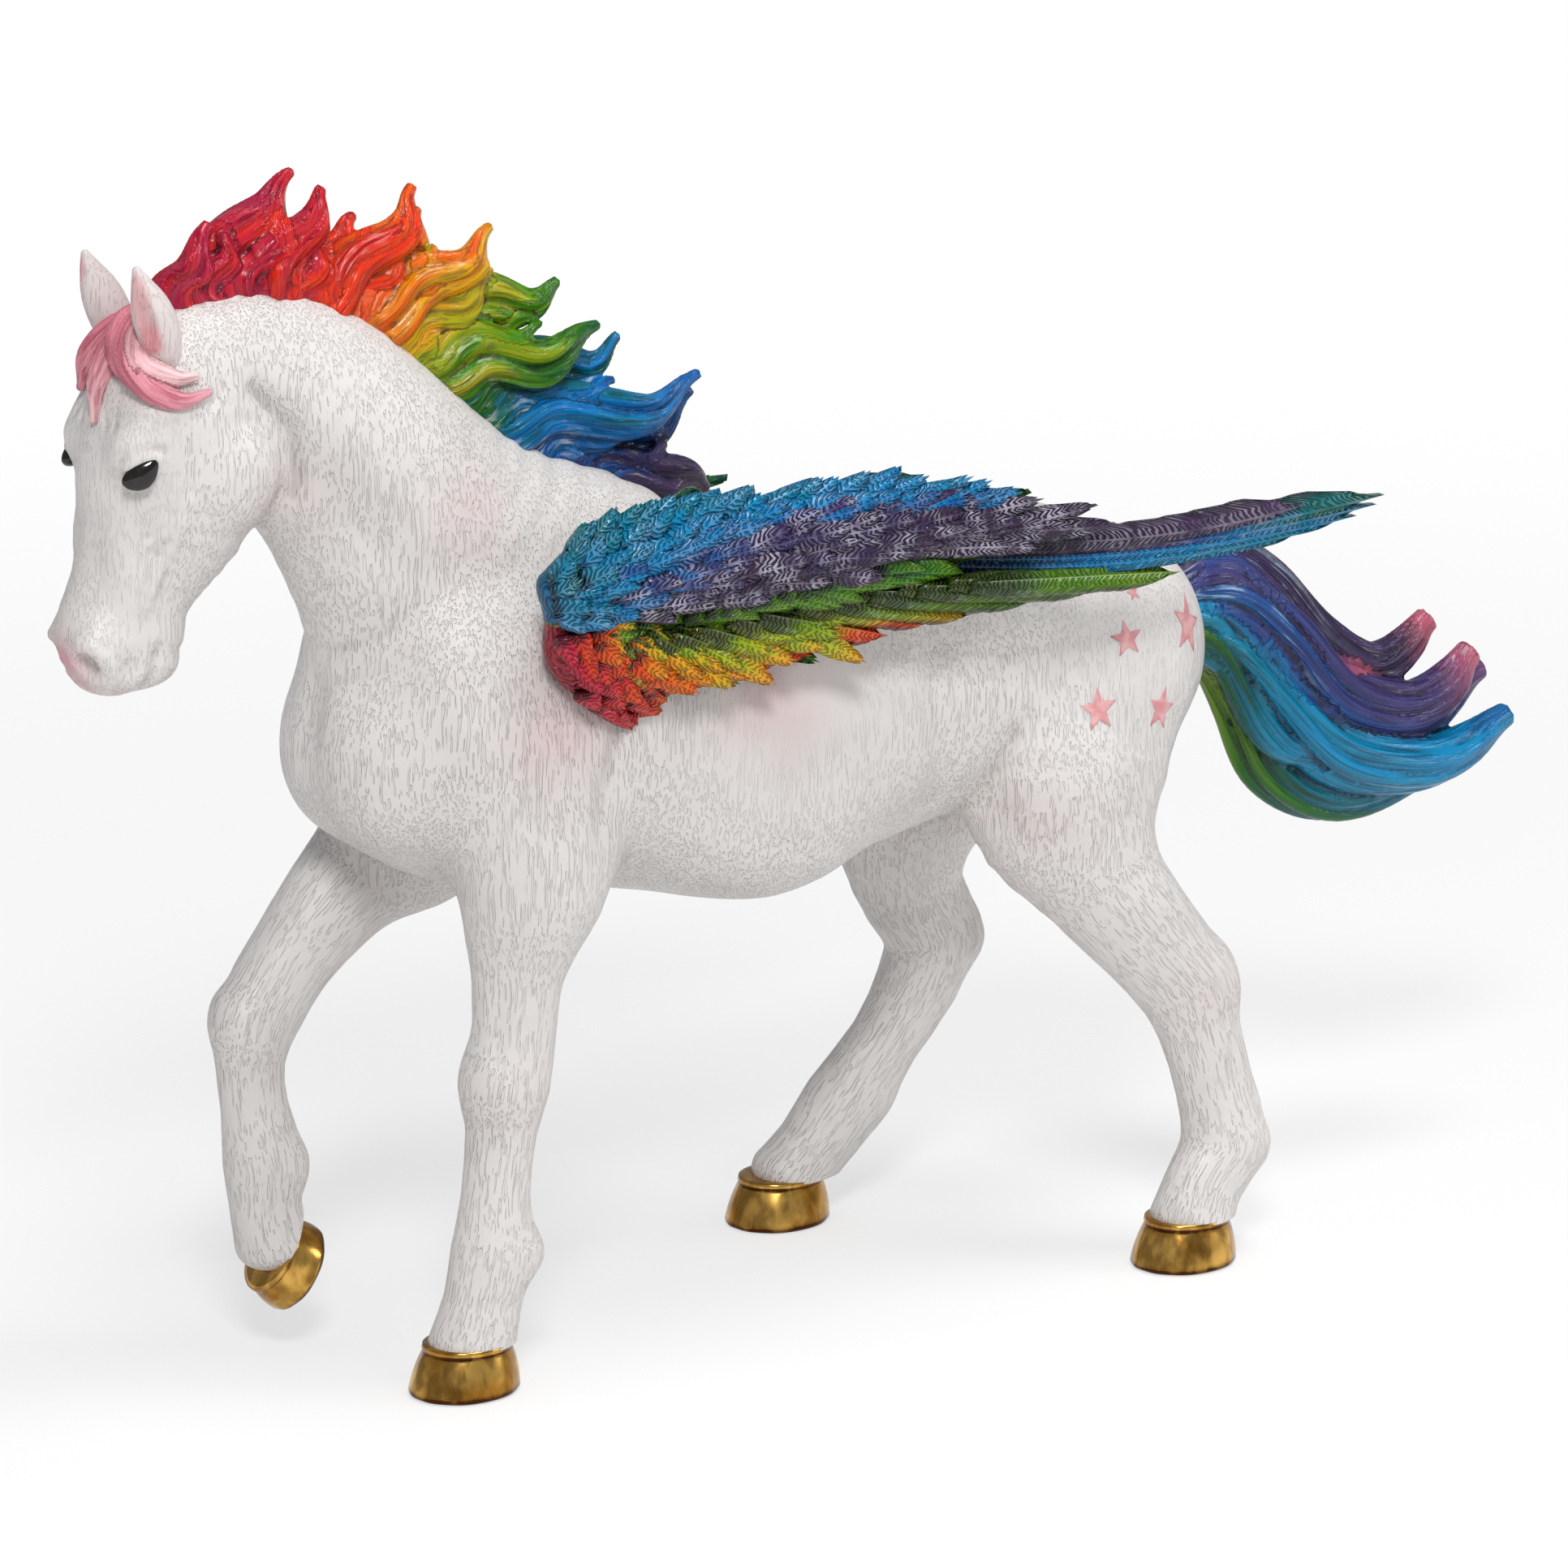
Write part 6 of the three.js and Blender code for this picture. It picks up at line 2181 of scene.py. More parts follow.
@dataclass(frozen=True)
class FeatherShape:
    """Feather of length 1 and breadth 1, its root at the origin, its tip on +X, its outside on +Z.

    Attributes:
        name: Name of the pattern mesh.
        rows: Faces along it.
        columns: Faces across one half.
        point: Share of the length over which the tip rounds off.
        barbs: Notches along each edge.
        sweep: How far the middle sags towards -Y, four times as a share of the breadth.
        arch: Height of the domed outside, as a share of the thickness.
        teeth: Depth of the notches in the tip, as a share of the length.
    """

    name: str
    rows: int = 8
    columns: int = 2
    point: float = 0.35
    barbs: int = 0
    sweep: float = 0.0
    arch: float = 1.0
    teeth: float = 0.0

    def outline(self, share: np.ndarray) -> np.ndarray:
        """Half breadth along the feather.

        Args:
            share: Shares of the length.

        Returns:
            Half breadths.
        """
        root = 0.55 + 0.45 * smooth_step(0, 0.3, share)
        tip = np.sqrt(np.clip(1 - (np.clip(share - 1 + self.point, 0, None) / self.point) ** 2.2, 0, 1))
        return 0.5 * root * tip

    def make(self) -> bpy.types.Object:
        """Makes the pattern mesh, a closed leaf, or finds it where it was made before.

        Returns:
            The mesh's object.
        """
        if self.name in bpy.data.objects:
            return bpy.data.objects[self.name]
        share = np.linspace(0, 1, self.rows + 1) ** 0.85
        half = np.maximum(self.outline(share), 0.05 + 2.6 * self.teeth)
        side = np.linspace(-1, 1, 2 * self.columns + 1)
        notch = 1 - (0.1 * ((share * self.barbs) % 1.0) if self.barbs else 0 * share)
        across = half[:, None] * notch[:, None] * side
        jag = self.teeth * (-1.0) ** (np.arange(len(side)) - self.columns) * smooth_step(0.2, 1, share)[:, None]
        lean = share[:, None] - (0.1 + self.teeth) * side**2 * np.minimum(share[:, None] * 3, 1) + jag
        dome = self.arch * (1 - side**2 * 0.8) * (0.5 + 0.5 * (1 - share[:, None]))
        shaft = 0.35 * np.exp(-((side / 0.16) ** 2)) * (1 - share[:, None])
        ripple = 0.16 * np.cos(2 * np.pi * 1.5 * np.abs(side)) if self.barbs else 0
        y = across - self.sweep * (share * (1 - share))[:, None]
        top = np.stack([lean, y, dome + shaft + ripple], axis=2).reshape(-1, 3)
        low = np.stack([lean, y, dome * 0.4 - 0.7], axis=2).reshape(-1, 3)
        width, count = len(side), len(top)
        faces = []
        for r in range(self.rows):
            for c in range(width - 1):
                a, b = r * width + c, (r + 1) * width + c
                faces.append((a, b, b + 1, a + 1))
                faces.append((a + 1 + count, b + 1 + count, b + count, a + count))
        loop = [r * width for r in range(self.rows)] + [self.rows * width + c for c in range(width)]
        loop += [r * width + width - 1 for r in range(self.rows - 1, -1, -1)] + list(range(width - 2, 0, -1))
        for a, b in zip(loop, loop[1:] + loop[:1]):
            faces.append((b, a, a + count, b + count))
        mesh = bpy.data.meshes.new(self.name)
        mesh.from_pydata(np.vstack([top, low]).tolist(), [], faces)
        reach = np.repeat(share, width)
        write_mark(mesh, "reach", np.concatenate([reach, reach]))
        write_mark(mesh, "side", np.tile(side, 2 * (self.rows + 1)))
        mesh.shade_smooth()
        made = bpy.data.objects.new(self.name, mesh)
        return made


def feather_tree() -> bpy.types.NodeTree:
    """Geometry Nodes that lay a feather at each point, along its own directions.

    Returns:
        The tree, with its inputs Feather and Material.
    """
    if "feathers" in bpy.data.node_groups:
        return bpy.data.node_groups["feathers"]
    sketch = open_group("feathers", {"Feather": "Object", "Material": "Material"})
    start = sketch.node("NodeGroupInput")
    marks = {name: sketch.node("GeometryNodeInputNamedAttribute", {"Name": name}, data_type="FLOAT_VECTOR")
             for name in ("onwards", "outwards", "size")}
    turn = sketch.node("FunctionNodeAxesToRotation", {
        "Primary Axis": marks["onwards"].outputs["Attribute"],
        "Secondary Axis": marks["outwards"].outputs["Attribute"]}, primary_axis="X", secondary_axis="Z")
    pattern = sketch.node("GeometryNodeObjectInfo", {"Object": start.outputs["Feather"]})
    points = sketch.node("GeometryNodeMeshToPoints", {"Mesh": start.outputs["Geometry"]})
    laid = sketch.node("GeometryNodeInstanceOnPoints", {
        "Points": points.outputs["Points"], "Instance": pattern.outputs["Geometry"],
        "Rotation": turn.outputs["Rotation"], "Scale": marks["size"].outputs["Attribute"]})
    return close_group(sketch, laid.outputs["Instances"], start.outputs["Material"])


@dataclass(frozen=True)
class FeatherPaint(RainbowPaint):
    """Glossy paint of the feathers, with a white dry brush on the barbs that is partly a painted highlight, and barbs
    of some pitch in millimetres.
    """

    hues: tuple[tuple[float, str], ...] = RAINBOW_WING
    chalk: str = "e4e0f0"
    shade_colour: str = "120c1c"
    roughness: float = 0.2
    line_depth: float = 0.17
    pitch: float = 0.6
    name: str = "feather rainbow"

    @staticmethod
    def streaks(sketch: Sketch) -> Socket:
        """Small differences of hue over a feather."""
        patch = sketch.noise(sketch.scaled(sketch.mark("flow", "Vector"), (0.35, 0.35, 0.9)), 1.0, 1.0)
        return sketch.maths("MULTIPLY_ADD", patch, 0.09, -0.045)

    def lines(self, sketch: Sketch) -> Socket:
        """Barbs that slant from the shaft to the edges.

        Args:
            sketch: The material's tree.

        Returns:
            Ridges as 1, grooves as 0.
        """
        flow = sketch.mark("flow", "Vector")
        parts = sketch.node("ShaderNodeSeparateXYZ", {0: flow})
        reach, side, own = parts.outputs
        away = sketch.maths("ABSOLUTE", side)
        wander = sketch.noise(sketch.scaled(flow, (0.7, 0.7, 1.0)), 1.0, 1.0)
        slant = sketch.maths("MULTIPLY_ADD", away, -1.3, sketch.maths("MULTIPLY_ADD", wander, 1.4, reach))
        wave = sketch.maths("PINGPONG", sketch.maths("MULTIPLY_ADD", slant, 1 / self.pitch, own), 0.5)
        barbs = sketch.rise(wave, 0.04, 0.36)
        shaft = sketch.rise(away, 0.16, 0.06)
        return sketch.maths("MAXIMUM", barbs, shaft)


@dataclass(frozen=True)
class Plume:
    """One feather to lay: root, directions, length, breadth and thickness in millimetres, hue at root and tip."""

    root: np.ndarray
    onwards: np.ndarray
    outwards: np.ndarray
    size: Point
    hue: tuple[float, float]
    chalk: float = 0.0


class RowKind(Enum):
    """Pattern of the feathers in a row."""

    SCALE = "scale"
    LONG = "long"


@dataclass(frozen=True)
class Row:
    """Row of feathers on the wing.

    Attributes:
        stations: X, Z, lean in degrees, length and breadth, from front to back.
        count: Feathers in the row.
        kind: Their pattern.
        hue_root: Hue of the roots, at the front and at the back.
        hue_tip: Hue of the tips, at the front and at the back.
        chalk: Share of the dry brush, partly a painted highlight.
        lift: How far the tips stand off.
        raised: Height of the roots over the cast, in millimetres.
        thickness: Thickness in millimetres.
    """

    stations: tuple[tuple[float, float, float, float, float], ...]
    count: int
    kind: RowKind
    hue_root: tuple[float, float]
    hue_tip: tuple[float, float]
    chalk: float = 0.0
    lift: float = 0.14
    raised: float = 0.0
    thickness: float = 0.7


INNER_HUES = ((0.4, 0.5), (0.36, 0.58))
WING_ROWS = (
    Row(((17, 67, -26, 5, 2.2), (23, 68.4, -22, 6, 2.2), (29, 69.4, -18, 6.6, 2.2)), 9,
        RowKind.LONG, (0.32, 0.36), (0.2, 0.26), 0.02, 0.05, 0.1),
    Row(((13.6, 68.8, -30, 4.4, 2.2), (21, 70.2, -24, 5.6, 2.2), (28, 71, -18, 6.6, 2.2)), 11,
        RowKind.LONG, (0.36, 0.42), (0.3, 0.36), 0.02, 0.07, 0.3),
    Row(((10.4, 70.4, -30, 4, 2.2), (19, 71.8, -24, 5, 2.2), (27, 72.6, -18, 6, 2.2)), 13,
        RowKind.LONG, (0.42, 0.46), (0.37, 0.42), 0.02, 0.08, 0.5),
    Row(((9, 71.6, -26, 3.8, 2.2), (19, 73.2, -18, 4.8, 2.2), (29, 74.2, -14, 5.6, 2.2), (38, 74.9, -10, 6, 2)), 20,
        RowKind.LONG, (0.44, 0.52), (0.42, 0.48), 0.02, 0.08, 0.6),
    Row(((11, 73.6, 2, 4.6, 2.3), (24, 75.4, 2, 6.2, 2.4), (36, 76.3, 1, 8.6, 2.3), (48, 76.4, -2, 9.6, 2.2)), 19,
        RowKind.LONG, (0.94, 0.92), (0.92, 0.96), 0.46, 0.12, 0.5),
    Row(((9.4, 74.4, 6, 4.2, 2.4), (21, 76.4, 6, 5.6, 2.5), (34, 77.2, 4, 7.6, 2.5), (47, 77, -1, 9, 2.3)), 19,
        RowKind.LONG, (0.9, 0.92), (0.88, 0.95), 0.46, 0.15, 0.4),
    Row(((8.4, 75.4, 10, 4, 2.4), (19, 77.5, 9, 5.2, 2.5), (31, 78.3, 6, 6.8, 2.5), (43, 77.8, 0, 8.4, 2.3)), 18,
        RowKind.LONG, (0.84, 0.92), (0.84, 0.94), 0.44, 0.16, 0.35),
    Row(((7.8, 76.4, 12, 3.8, 2.4), (18, 78.5, 11, 4.8, 2.5), (29, 79.2, 8, 6.2, 2.5), (40, 78.6, 3, 7.6, 2.4)), 18,
        RowKind.LONG, (0.78, 0.9), (0.8, 0.9), 0.35, 0.14, 0.25),
    Row(((5.4, 73.4, -12, 3.2, 2.3), (8.2, 74.8, 2, 3.4, 2.3), (14, 76.6, 12, 3.8, 2.3), (22, 78.2, 14, 4.2, 2.4)), 14,
        RowKind.SCALE, (0.7, 0.86), (0.68, 0.88), 0.2, 0.2, 0.3),
    Row(((4.6, 74, -2, 3, 2.2), (7.6, 76.2, 16, 3.2, 2.2), (14, 78.2, 20, 3.6, 2.3), (24, 79.6, 16, 4.2, 2.4),
         (38, 79.5, 10, 5, 2.5)), 22, RowKind.SCALE, (0.69, 0.78), (0.67, 0.8), 0.15, 0.22, 0.25),
    Row(((4, 74.4, 12, 2.8, 2.2), (7, 77.2, 28, 3.1, 2.2), (13.4, 78.9, 28, 3.5, 2.3), (23, 80, 22, 4, 2.4),
         (35, 79.8, 14, 4.8, 2.5), (45, 78.7, 7, 5.4, 2.5)), 25,
        RowKind.SCALE, (0.67, 0.73), (0.66, 0.74), 0.12, 0.26, 0.2),
    Row(((3.8, 75.6, 30, 2.8, 2.1), (6.4, 78.4, 38, 3, 2.1), (12.6, 80.2, 34, 3.4, 2.2), (22, 81, 27, 3.9, 2.4),
         (34, 80.5, 17, 4.6, 2.4), (44, 79.1, 9, 5.2, 2.4)), 25,
        RowKind.SCALE, (0.66, 0.7), (0.64, 0.71), 0.1, 0.28, 0.1),
    Row(((4, 76.8, 42, 2.8, 2.1), (7.4, 79.8, 44, 3, 2.1), (14, 81.3, 38, 3.3, 2.2), (24, 81.6, 30, 3.8, 2.4),
         (34, 81.1, 20, 4.2, 2.4)), 20, RowKind.SCALE, (0.63, 0.7), (0.62, 0.7), 0.08, 0.3, -0.1),
    Row(((13.4, 62.6, -30, 3, 2.4), (16.4, 65, -30, 3, 2.4)), 4,
        RowKind.SCALE, (0.04, 0.18), (0.06, 0.24), 0, 0.22, 0.2),
    Row(((12, 63.6, -42, 3, 2.4), (15, 66, -28, 3.2, 2.4), (18.6, 67.4, -24, 3.6, 2.4)), 6, RowKind.SCALE,
        (0.04, 0.24), (0.05, 0.26), 0, 0.22, 0.3),
    Row(((10.2, 64.8, -48, 3, 2.4), (13.4, 67.2, -34, 3.2, 2.4), (17.4, 68.8, -26, 3.8, 2.4)), 7, RowKind.SCALE,
        (0.02, 0.26), (0.05, 0.25), 0, 0.22, 0.3),
    Row(((8.6, 66.2, -54, 3, 2.4), (11.6, 68.6, -38, 3.2, 2.4), (16, 70, -28, 3.8, 2.4)), 7, RowKind.SCALE,
        (0.0, 0.26), (0.04, 0.3), 0, 0.22, 0.3),
    Row(((6.8, 68.2, -58, 3, 2.4), (9.8, 70, -40, 3.2, 2.4), (13.6, 71.2, -28, 3.6, 2.4)), 7, RowKind.SCALE,
        (0.0, 0.3), (0.02, 0.36), 0, 0.2, 0.35),
    Row(((5.6, 70, -62, 3, 2.4), (8, 71.4, -44, 3, 2.4), (11.4, 72.2, -30, 3.2, 2.2)), 6, RowKind.SCALE,
        (0.0, 0.36), (0.02, 0.38), 0, 0.2, 0.35),
    Row(((4.8, 72, -64, 3, 2.4), (6.6, 72.6, -48, 3, 2.4), (9, 73, -30, 3, 2.2)), 4, RowKind.SCALE,
        (0.0, 0.2), (0.02, 0.3), 0, 0.2, 0.4),
)


@dataclass
class Wings(Castings):
    """Pair of folded-back wings: a cast arm under rows of laid feathers.

    Attributes:
        arm: Sections of the left arm, from the wrist in front to its end.
        root: Sections of the joint with the shoulder.
        web: Sections of the skin behind the arm.
        edge: Tips of the lower row, from front to back.
        fan: Tips of the long feathers.
        fan_root: Where the long feathers start.
        fan_hues: Their places in the rainbow, at root and tip.
        lower_count: Feathers in the lower row.
        seam: Where the wing is glued on.
        drop: How far the right wing hangs lower, in degrees.
        spread: How far it stands out, in degrees.
        seed: Choice of the small differences.
        grain: Grid step of the cast in millimetres.
    """

    arm: tuple[Station, ...] = (
        (4.8, -17.5, 75.1, 2.4, 1.8), (9.2, -18.5, 77, 3.8, 2.6), (17.8, -19.5, 77.2, 4.6, 2.8),
        (28.4, -20.5, 77.2, 4.4, 2.6), (39.1, -21.5, 77.3, 3.8, 2.1), (48.2, -22.5, 76.6, 2.7, 1.5),
        (53, -23.4, 76, 1, 0.6))
    root: tuple[Station, ...] = (
        (15.4, -12.4, 64.9, 3.2, 2.4), (12.2, -14.2, 67.4, 4, 2.9), (9, -16, 70.6, 4.5, 2.8),
        (7.4, -17.4, 73.6, 3.3, 2.4))
    web: tuple[Station, ...] = (
        (13, -17, 69.6, 4.2, 1.1), (26, -18.2, 71.4, 4.6, 0.9), (42, -19.8, 72.6, 3.8, 0.8), (58, -21.6, 73, 2.4, 0.7))
    edge: tuple[Point, ...] = ((16.7, -16, 64.2), (24, -16.7, 65), (32.2, -17.4, 66.1), (47.8, -18.8, 67.9),
                               (58, -20.4, 68.9), (68.8, -22.2, 69.6))
    fan: tuple[Point, ...] = (
        (80.4, -26.4, 75.3), (89.2, -26.8, 75.2), (88.6, -26.4, 74.3), (86.6, -26, 73.4), (82, -25.4, 72.5))
    fan_root: Point = (46, -22, 76)
    fan_hues: tuple[tuple[float, float], ...] = ((0.92, 0.97), (0.93, 0.6), (0.93, 0.66), (0.74, 0.68), (0.72, 0.66))
    lower_count: int = 21
    seam: Point = (12, -14, 67.4)
    drop: float = 43.0
    spread: float = 10.0
    seed: int = 21
    grain: float = 0.4

    BLOCK = ((1, -28, 59), (62, -7, 85))
    SLOT = Slot.WING
    FINISH = FeatherPaint()
    PLAY = {"x": 0.5, "z": 0.3, "lean": 11, "hue": 0.015}
    LENGTH_PLAY = (0.84, 1.24)
    BREADTH_PLAY = (0.88, 1.16)
    LINING_FRONT = 9
    LINING_TOP = 78.2

    def cast(self) -> Skin:
        """Models the arm, the root and the web as one skin.

        Returns:
            The skin.
        """
        clay = Clay(*self.BLOCK, self.grain)
        clay.add(Limb(self.web, 4), 1)
        clay.add(Limb(self.root, 4), 2)
        clay.add(Limb(self.arm, 4), 1.5)
        skin = clay.skin()
        skin.smooth(5)
        return skin

    @staticmethod
    def surface(tree: BVHTree, x: float, z: float, outside: bool) -> tuple[np.ndarray, np.ndarray] | None:
        """Place and direction on the cast, seen from the side.

        Args:
            tree: The cast's surface.
            x: X of the place.
            z: Z of the place.
            outside: The side away from the horse.

        Returns:
            The place and the surface's direction, or nothing off the cast.
        """
        side = -1 if outside else 1
        hit, normal, _, _ = tree.ray_cast(Vector((x, -20 + 20 * side, z)), Vector((0, -side, 0)))
        return None if hit is None else (np.array(hit), np.array(normal))

    def laid(self, tree: BVHTree, row: Row, outside: bool, chance: np.random.Generator) -> list[Plume]:
        """Lays one row of feathers on the cast.

        Args:
            tree: The cast's surface.
            row: The row.
            outside: The side away from the horse.
            chance: Source of small differences.

        Returns:
            The feathers that found their place.
        """
        path = smooth_path([(x, 0, z, lean, length, breadth) for x, z, lean, length, breadth in row.stations], 8)
        share = np.linspace(0, 1, row.count)
        found, play = [], self.PLAY
        for t in share:
            at = row_at(path, t)
            x, z = (at[0] + chance.uniform(-play["x"], play["x"]), at[2] + chance.uniform(-play["z"], play["z"]))
            spot = self.surface(tree, x, z, outside)
            if spot is None:
                continue
            place, normal = spot
            if not outside and (place[0] < self.LINING_FRONT or place[2] > self.LINING_TOP):
                continue
            lean = math.radians(at[3] + chance.uniform(-play["lean"], play["lean"]))
            onwards = np.array([math.cos(lean), 0, math.sin(lean)])
            onwards = unit(onwards - normal * (onwards @ normal) + normal * row.lift)
            outwards = unit(normal - onwards * (normal @ onwards))
            hues = (row.hue_root, row.hue_tip) if outside else INNER_HUES
            hue = tuple(a + (b - a) * t + chance.uniform(-play["hue"], play["hue"]) for a, b in hues)
            length, breadth = at[4] * chance.uniform(*self.LENGTH_PLAY), at[5] * chance.uniform(*self.BREADTH_PLAY)
            size = (length, breadth, row.thickness)
            found.append(Plume(place + normal * row.raised, onwards, outwards, size, hue, row.chalk * outside))
        return found

    def quills(self) -> tuple[list[Plume], list[Plume]]:
        """Lists the long feathers of the lower row and of the fan.

        Returns:
            The feathers of the row, and those of the fan.
        """
        edge = smooth_path([(*point, 0, 0) for point in self.edge], 8)[:, :3]
        lower, fan = [], []
        for k in range(self.lower_count):
            t = (k / (self.lower_count - 1)) ** 1.4
            tip = row_at(edge, t)
            tip += [0.5 * (k % 2), -0.9 + 0.3 * t, 0.3 * (k % 2)]
            base = tip + np.array([-6 - 18 * t, -1.4, 5 - 2.7 * t**1.5])
            end = 0.12 + 0.32 * smooth_step(0.48, 0.74, t) - 0.03 * (k % 2)
            hue = (0.36 + 0.1 * t - 0.04 * (k % 2), float(end))
            lower.append(self.quill(base, tip, 2.3 + 0.2 * t, hue, 0.05, 1.0, 0.5))
        for k, (tip, hue) in enumerate(zip(self.fan, self.fan_hues)):
            base = np.array(self.fan_root) + np.array([-k * 1.2, k * 0.3, -k * 0.5])
            fan.append(self.quill(base, np.array(tip), 2.5, hue, 0.2 if k < 3 else 0.05, 0.8))
        return lower, fan

    @staticmethod
    def quill(base: np.ndarray, tip: np.ndarray, breadth: float, hue: tuple[float, float], chalk: float,
              thickness: float, roll: float = 0.0) -> Plume:
        """One long feather between two places.

        Args:
            base: Place of its root.
            tip: Place of its tip.
            breadth: Breadth in millimetres.
            hue: Place in the rainbow at root and tip.
            chalk: Share of the dry brush, partly a painted highlight.
            thickness: Thickness in millimetres.
            roll: How far it is rolled, so that its lower edge stands off.

        Returns:
            The feather.
        """
        onwards = unit(tip - base)
        outwards = unit(np.cross(onwards, np.array([0, 0, 1.0])))
        outwards = outwards if outwards[1] < 0 else -outwards
        outwards = unit(outwards + roll * np.cross(outwards, onwards) * np.sign(np.cross(outwards, onwards)[2]))
        return Plume(base, onwards, outwards, (float(np.linalg.norm(tip - base)), breadth, thickness), hue, chalk)

    @staticmethod
    def plumage(name: str, plumes: Sequence[Plume], shape: FeatherShape) -> bpy.types.Object:
        """Lays feathers of one shape.

        Args:
            name: Name of the object.
            plumes: The feathers.
            shape: Their pattern.

        Returns:
            All of them as one plain mesh, with their marks.
        """
        mesh = bpy.data.meshes.new(name)
        mesh.from_pydata([metres(plume.root).tolist() for plume in plumes], [], [])
        for mark, values in (
                ("onwards", [p.onwards for p in plumes]), ("outwards", [p.outwards for p in plumes]),
                ("size", [np.array(p.size) * MM for p in plumes]), ("hue_root", [p.hue[0] for p in plumes]),
                ("hue_tip", [p.hue[1] for p in plumes]), ("chalk", [p.chalk for p in plumes]),
                ("length", [p.size[0] for p in plumes]), ("breadth", [p.size[1] for p in plumes]),
                ("own", list(range(len(plumes))))):
            write_mark(mesh, mark, np.array(values, float))
        made = set_out(name, mesh)
        run_tree(made, feather_tree(), {"Feather": shape.make(), "Material": FeatherPaint().material()})
        mesh = made.data
        marks = {mark: read_mark(mesh, mark) for mark in
                 ("reach", "side", "hue_root", "hue_tip", "length", "breadth", "own")}
        blend = smooth_step(0.3, 0.92, marks["reach"])
        write_mark(mesh, "hue", marks["hue_root"] * (1 - blend) + marks["hue_tip"] * blend)
        write_mark(mesh, "flow", np.stack([marks["reach"] * marks["length"], marks["side"] * marks["breadth"] / 2,
                                           marks["own"] * 2.3], axis=1))
        # Painted shade: each feather darkens towards its root, under the feathers that lie over it, and barbed quills
        # darken along their edges, between neighbours.
        rim = 1.0 if shape.barbs else -0.8
        edge = smooth_step(0.5, 0.1, marks["reach"]) + rim * np.abs(marks["side"]) ** 3 * marks["reach"]
        write_mark(mesh, "hollow", edge)
        for mark in ("tip", "calm"):
            write_mark(mesh, mark, np.zeros(len(mesh.vertices)))
        return made

    def feathered(self) -> bpy.types.Object:
        """Makes the left wing.

        Returns:
            The wing.
        """
        skin = self.cast()
        tree = BVHTree.FromPolygons(skin.vertices.tolist(), skin.faces.tolist())
        chance = np.random.default_rng(self.seed)
        scales, long_ones = [], []
        for row in WING_ROWS:
            for outside in (True, False):
                laid = self.laid(tree, row, outside, chance)
                (long_ones if row.kind is RowKind.LONG else scales).extend(laid)
        lower, fan = self.quills()
        size = len(skin.vertices)
        x, _, z = skin.vertices.T
        upper, lower_hue = 0.7 + 0.2 * smooth_step(20, 34, x), np.clip(0.02 + (x - 9) / 30, 0.02, 0.46)
        # The arm under the feathers gets an even painted shade through its hollow mark.
        marks = {
            "hue": np.where(z > 72.4 + x / 20, upper, lower_hue), "flow": skin.vertices.copy(),
            "hollow": np.full(size, 0.6), "tip": np.zeros(size), "chalk": np.zeros(size), "calm": np.zeros(size)}
        parts = [
            mesh_object("left_wing_arm", skin.vertices, skin.faces, marks),
            self.plumage("scales", scales, FeatherShape("scale", 6, 3, 0.55, teeth=0.07)),
            self.plumage("coverts", long_ones, FeatherShape("covert", 9, 3, 0.3, teeth=0.05)),
            self.plumage("lower_quills", lower, FeatherShape("quill", 26, 3, 0.14, 13, teeth=0.012)),
            self.plumage("fan_quills", fan, FeatherShape("long_quill", 40, 3, 0.06, 10, sweep=2.4, teeth=0.01))]
        parts[0].data.materials.append(FeatherPaint().material())
        return joined("left_wing_looks", parts)

    def posed(self, points: np.ndarray) -> np.ndarray:
        """Mirrors points of the left wing to the right one, which hangs lower and stands out.

        Args:
            points: Rows of x, y, z on the left wing.

        Returns:
            Their places on the right one.
        """
        drop, spread = math.radians(-self.drop), math.radians(self.spread)
        x, y, z = ((points * [1, -1, 1]) - np.array(self.seam) * [1, -1, 1]).T
        y, z = y * math.cos(drop) - z * math.sin(drop), y * math.sin(drop) + z * math.cos(drop)
        x, y = x * math.cos(spread) - y * math.sin(spread), x * math.sin(spread) + y * math.cos(spread)
        return np.stack([x, y, z], axis=1) + np.array(self.seam) * [1, -1, 1]

    def build(self) -> None:
        """Makes the left wing and sets its mirror image on the right."""
        left = self.feathered()
        right = left.copy()
        right.data = left.data.copy()
        right.name = right.data.name = "right_wing_looks"
        bpy.context.scene.collection.objects.link(right)
        move_to(right.data, self.posed(millimetres(right.data)))
        right.data.flip_normals()
        self.made = {"left_wing": left, "right_wing": right}


@dataclass(frozen=True)
class Lamp:
    """Soft round lamp: its place, what it is aimed at and its size in millimetres, and its power."""

    name: str
    place: Point
    target: Point
    size: float
    power: float


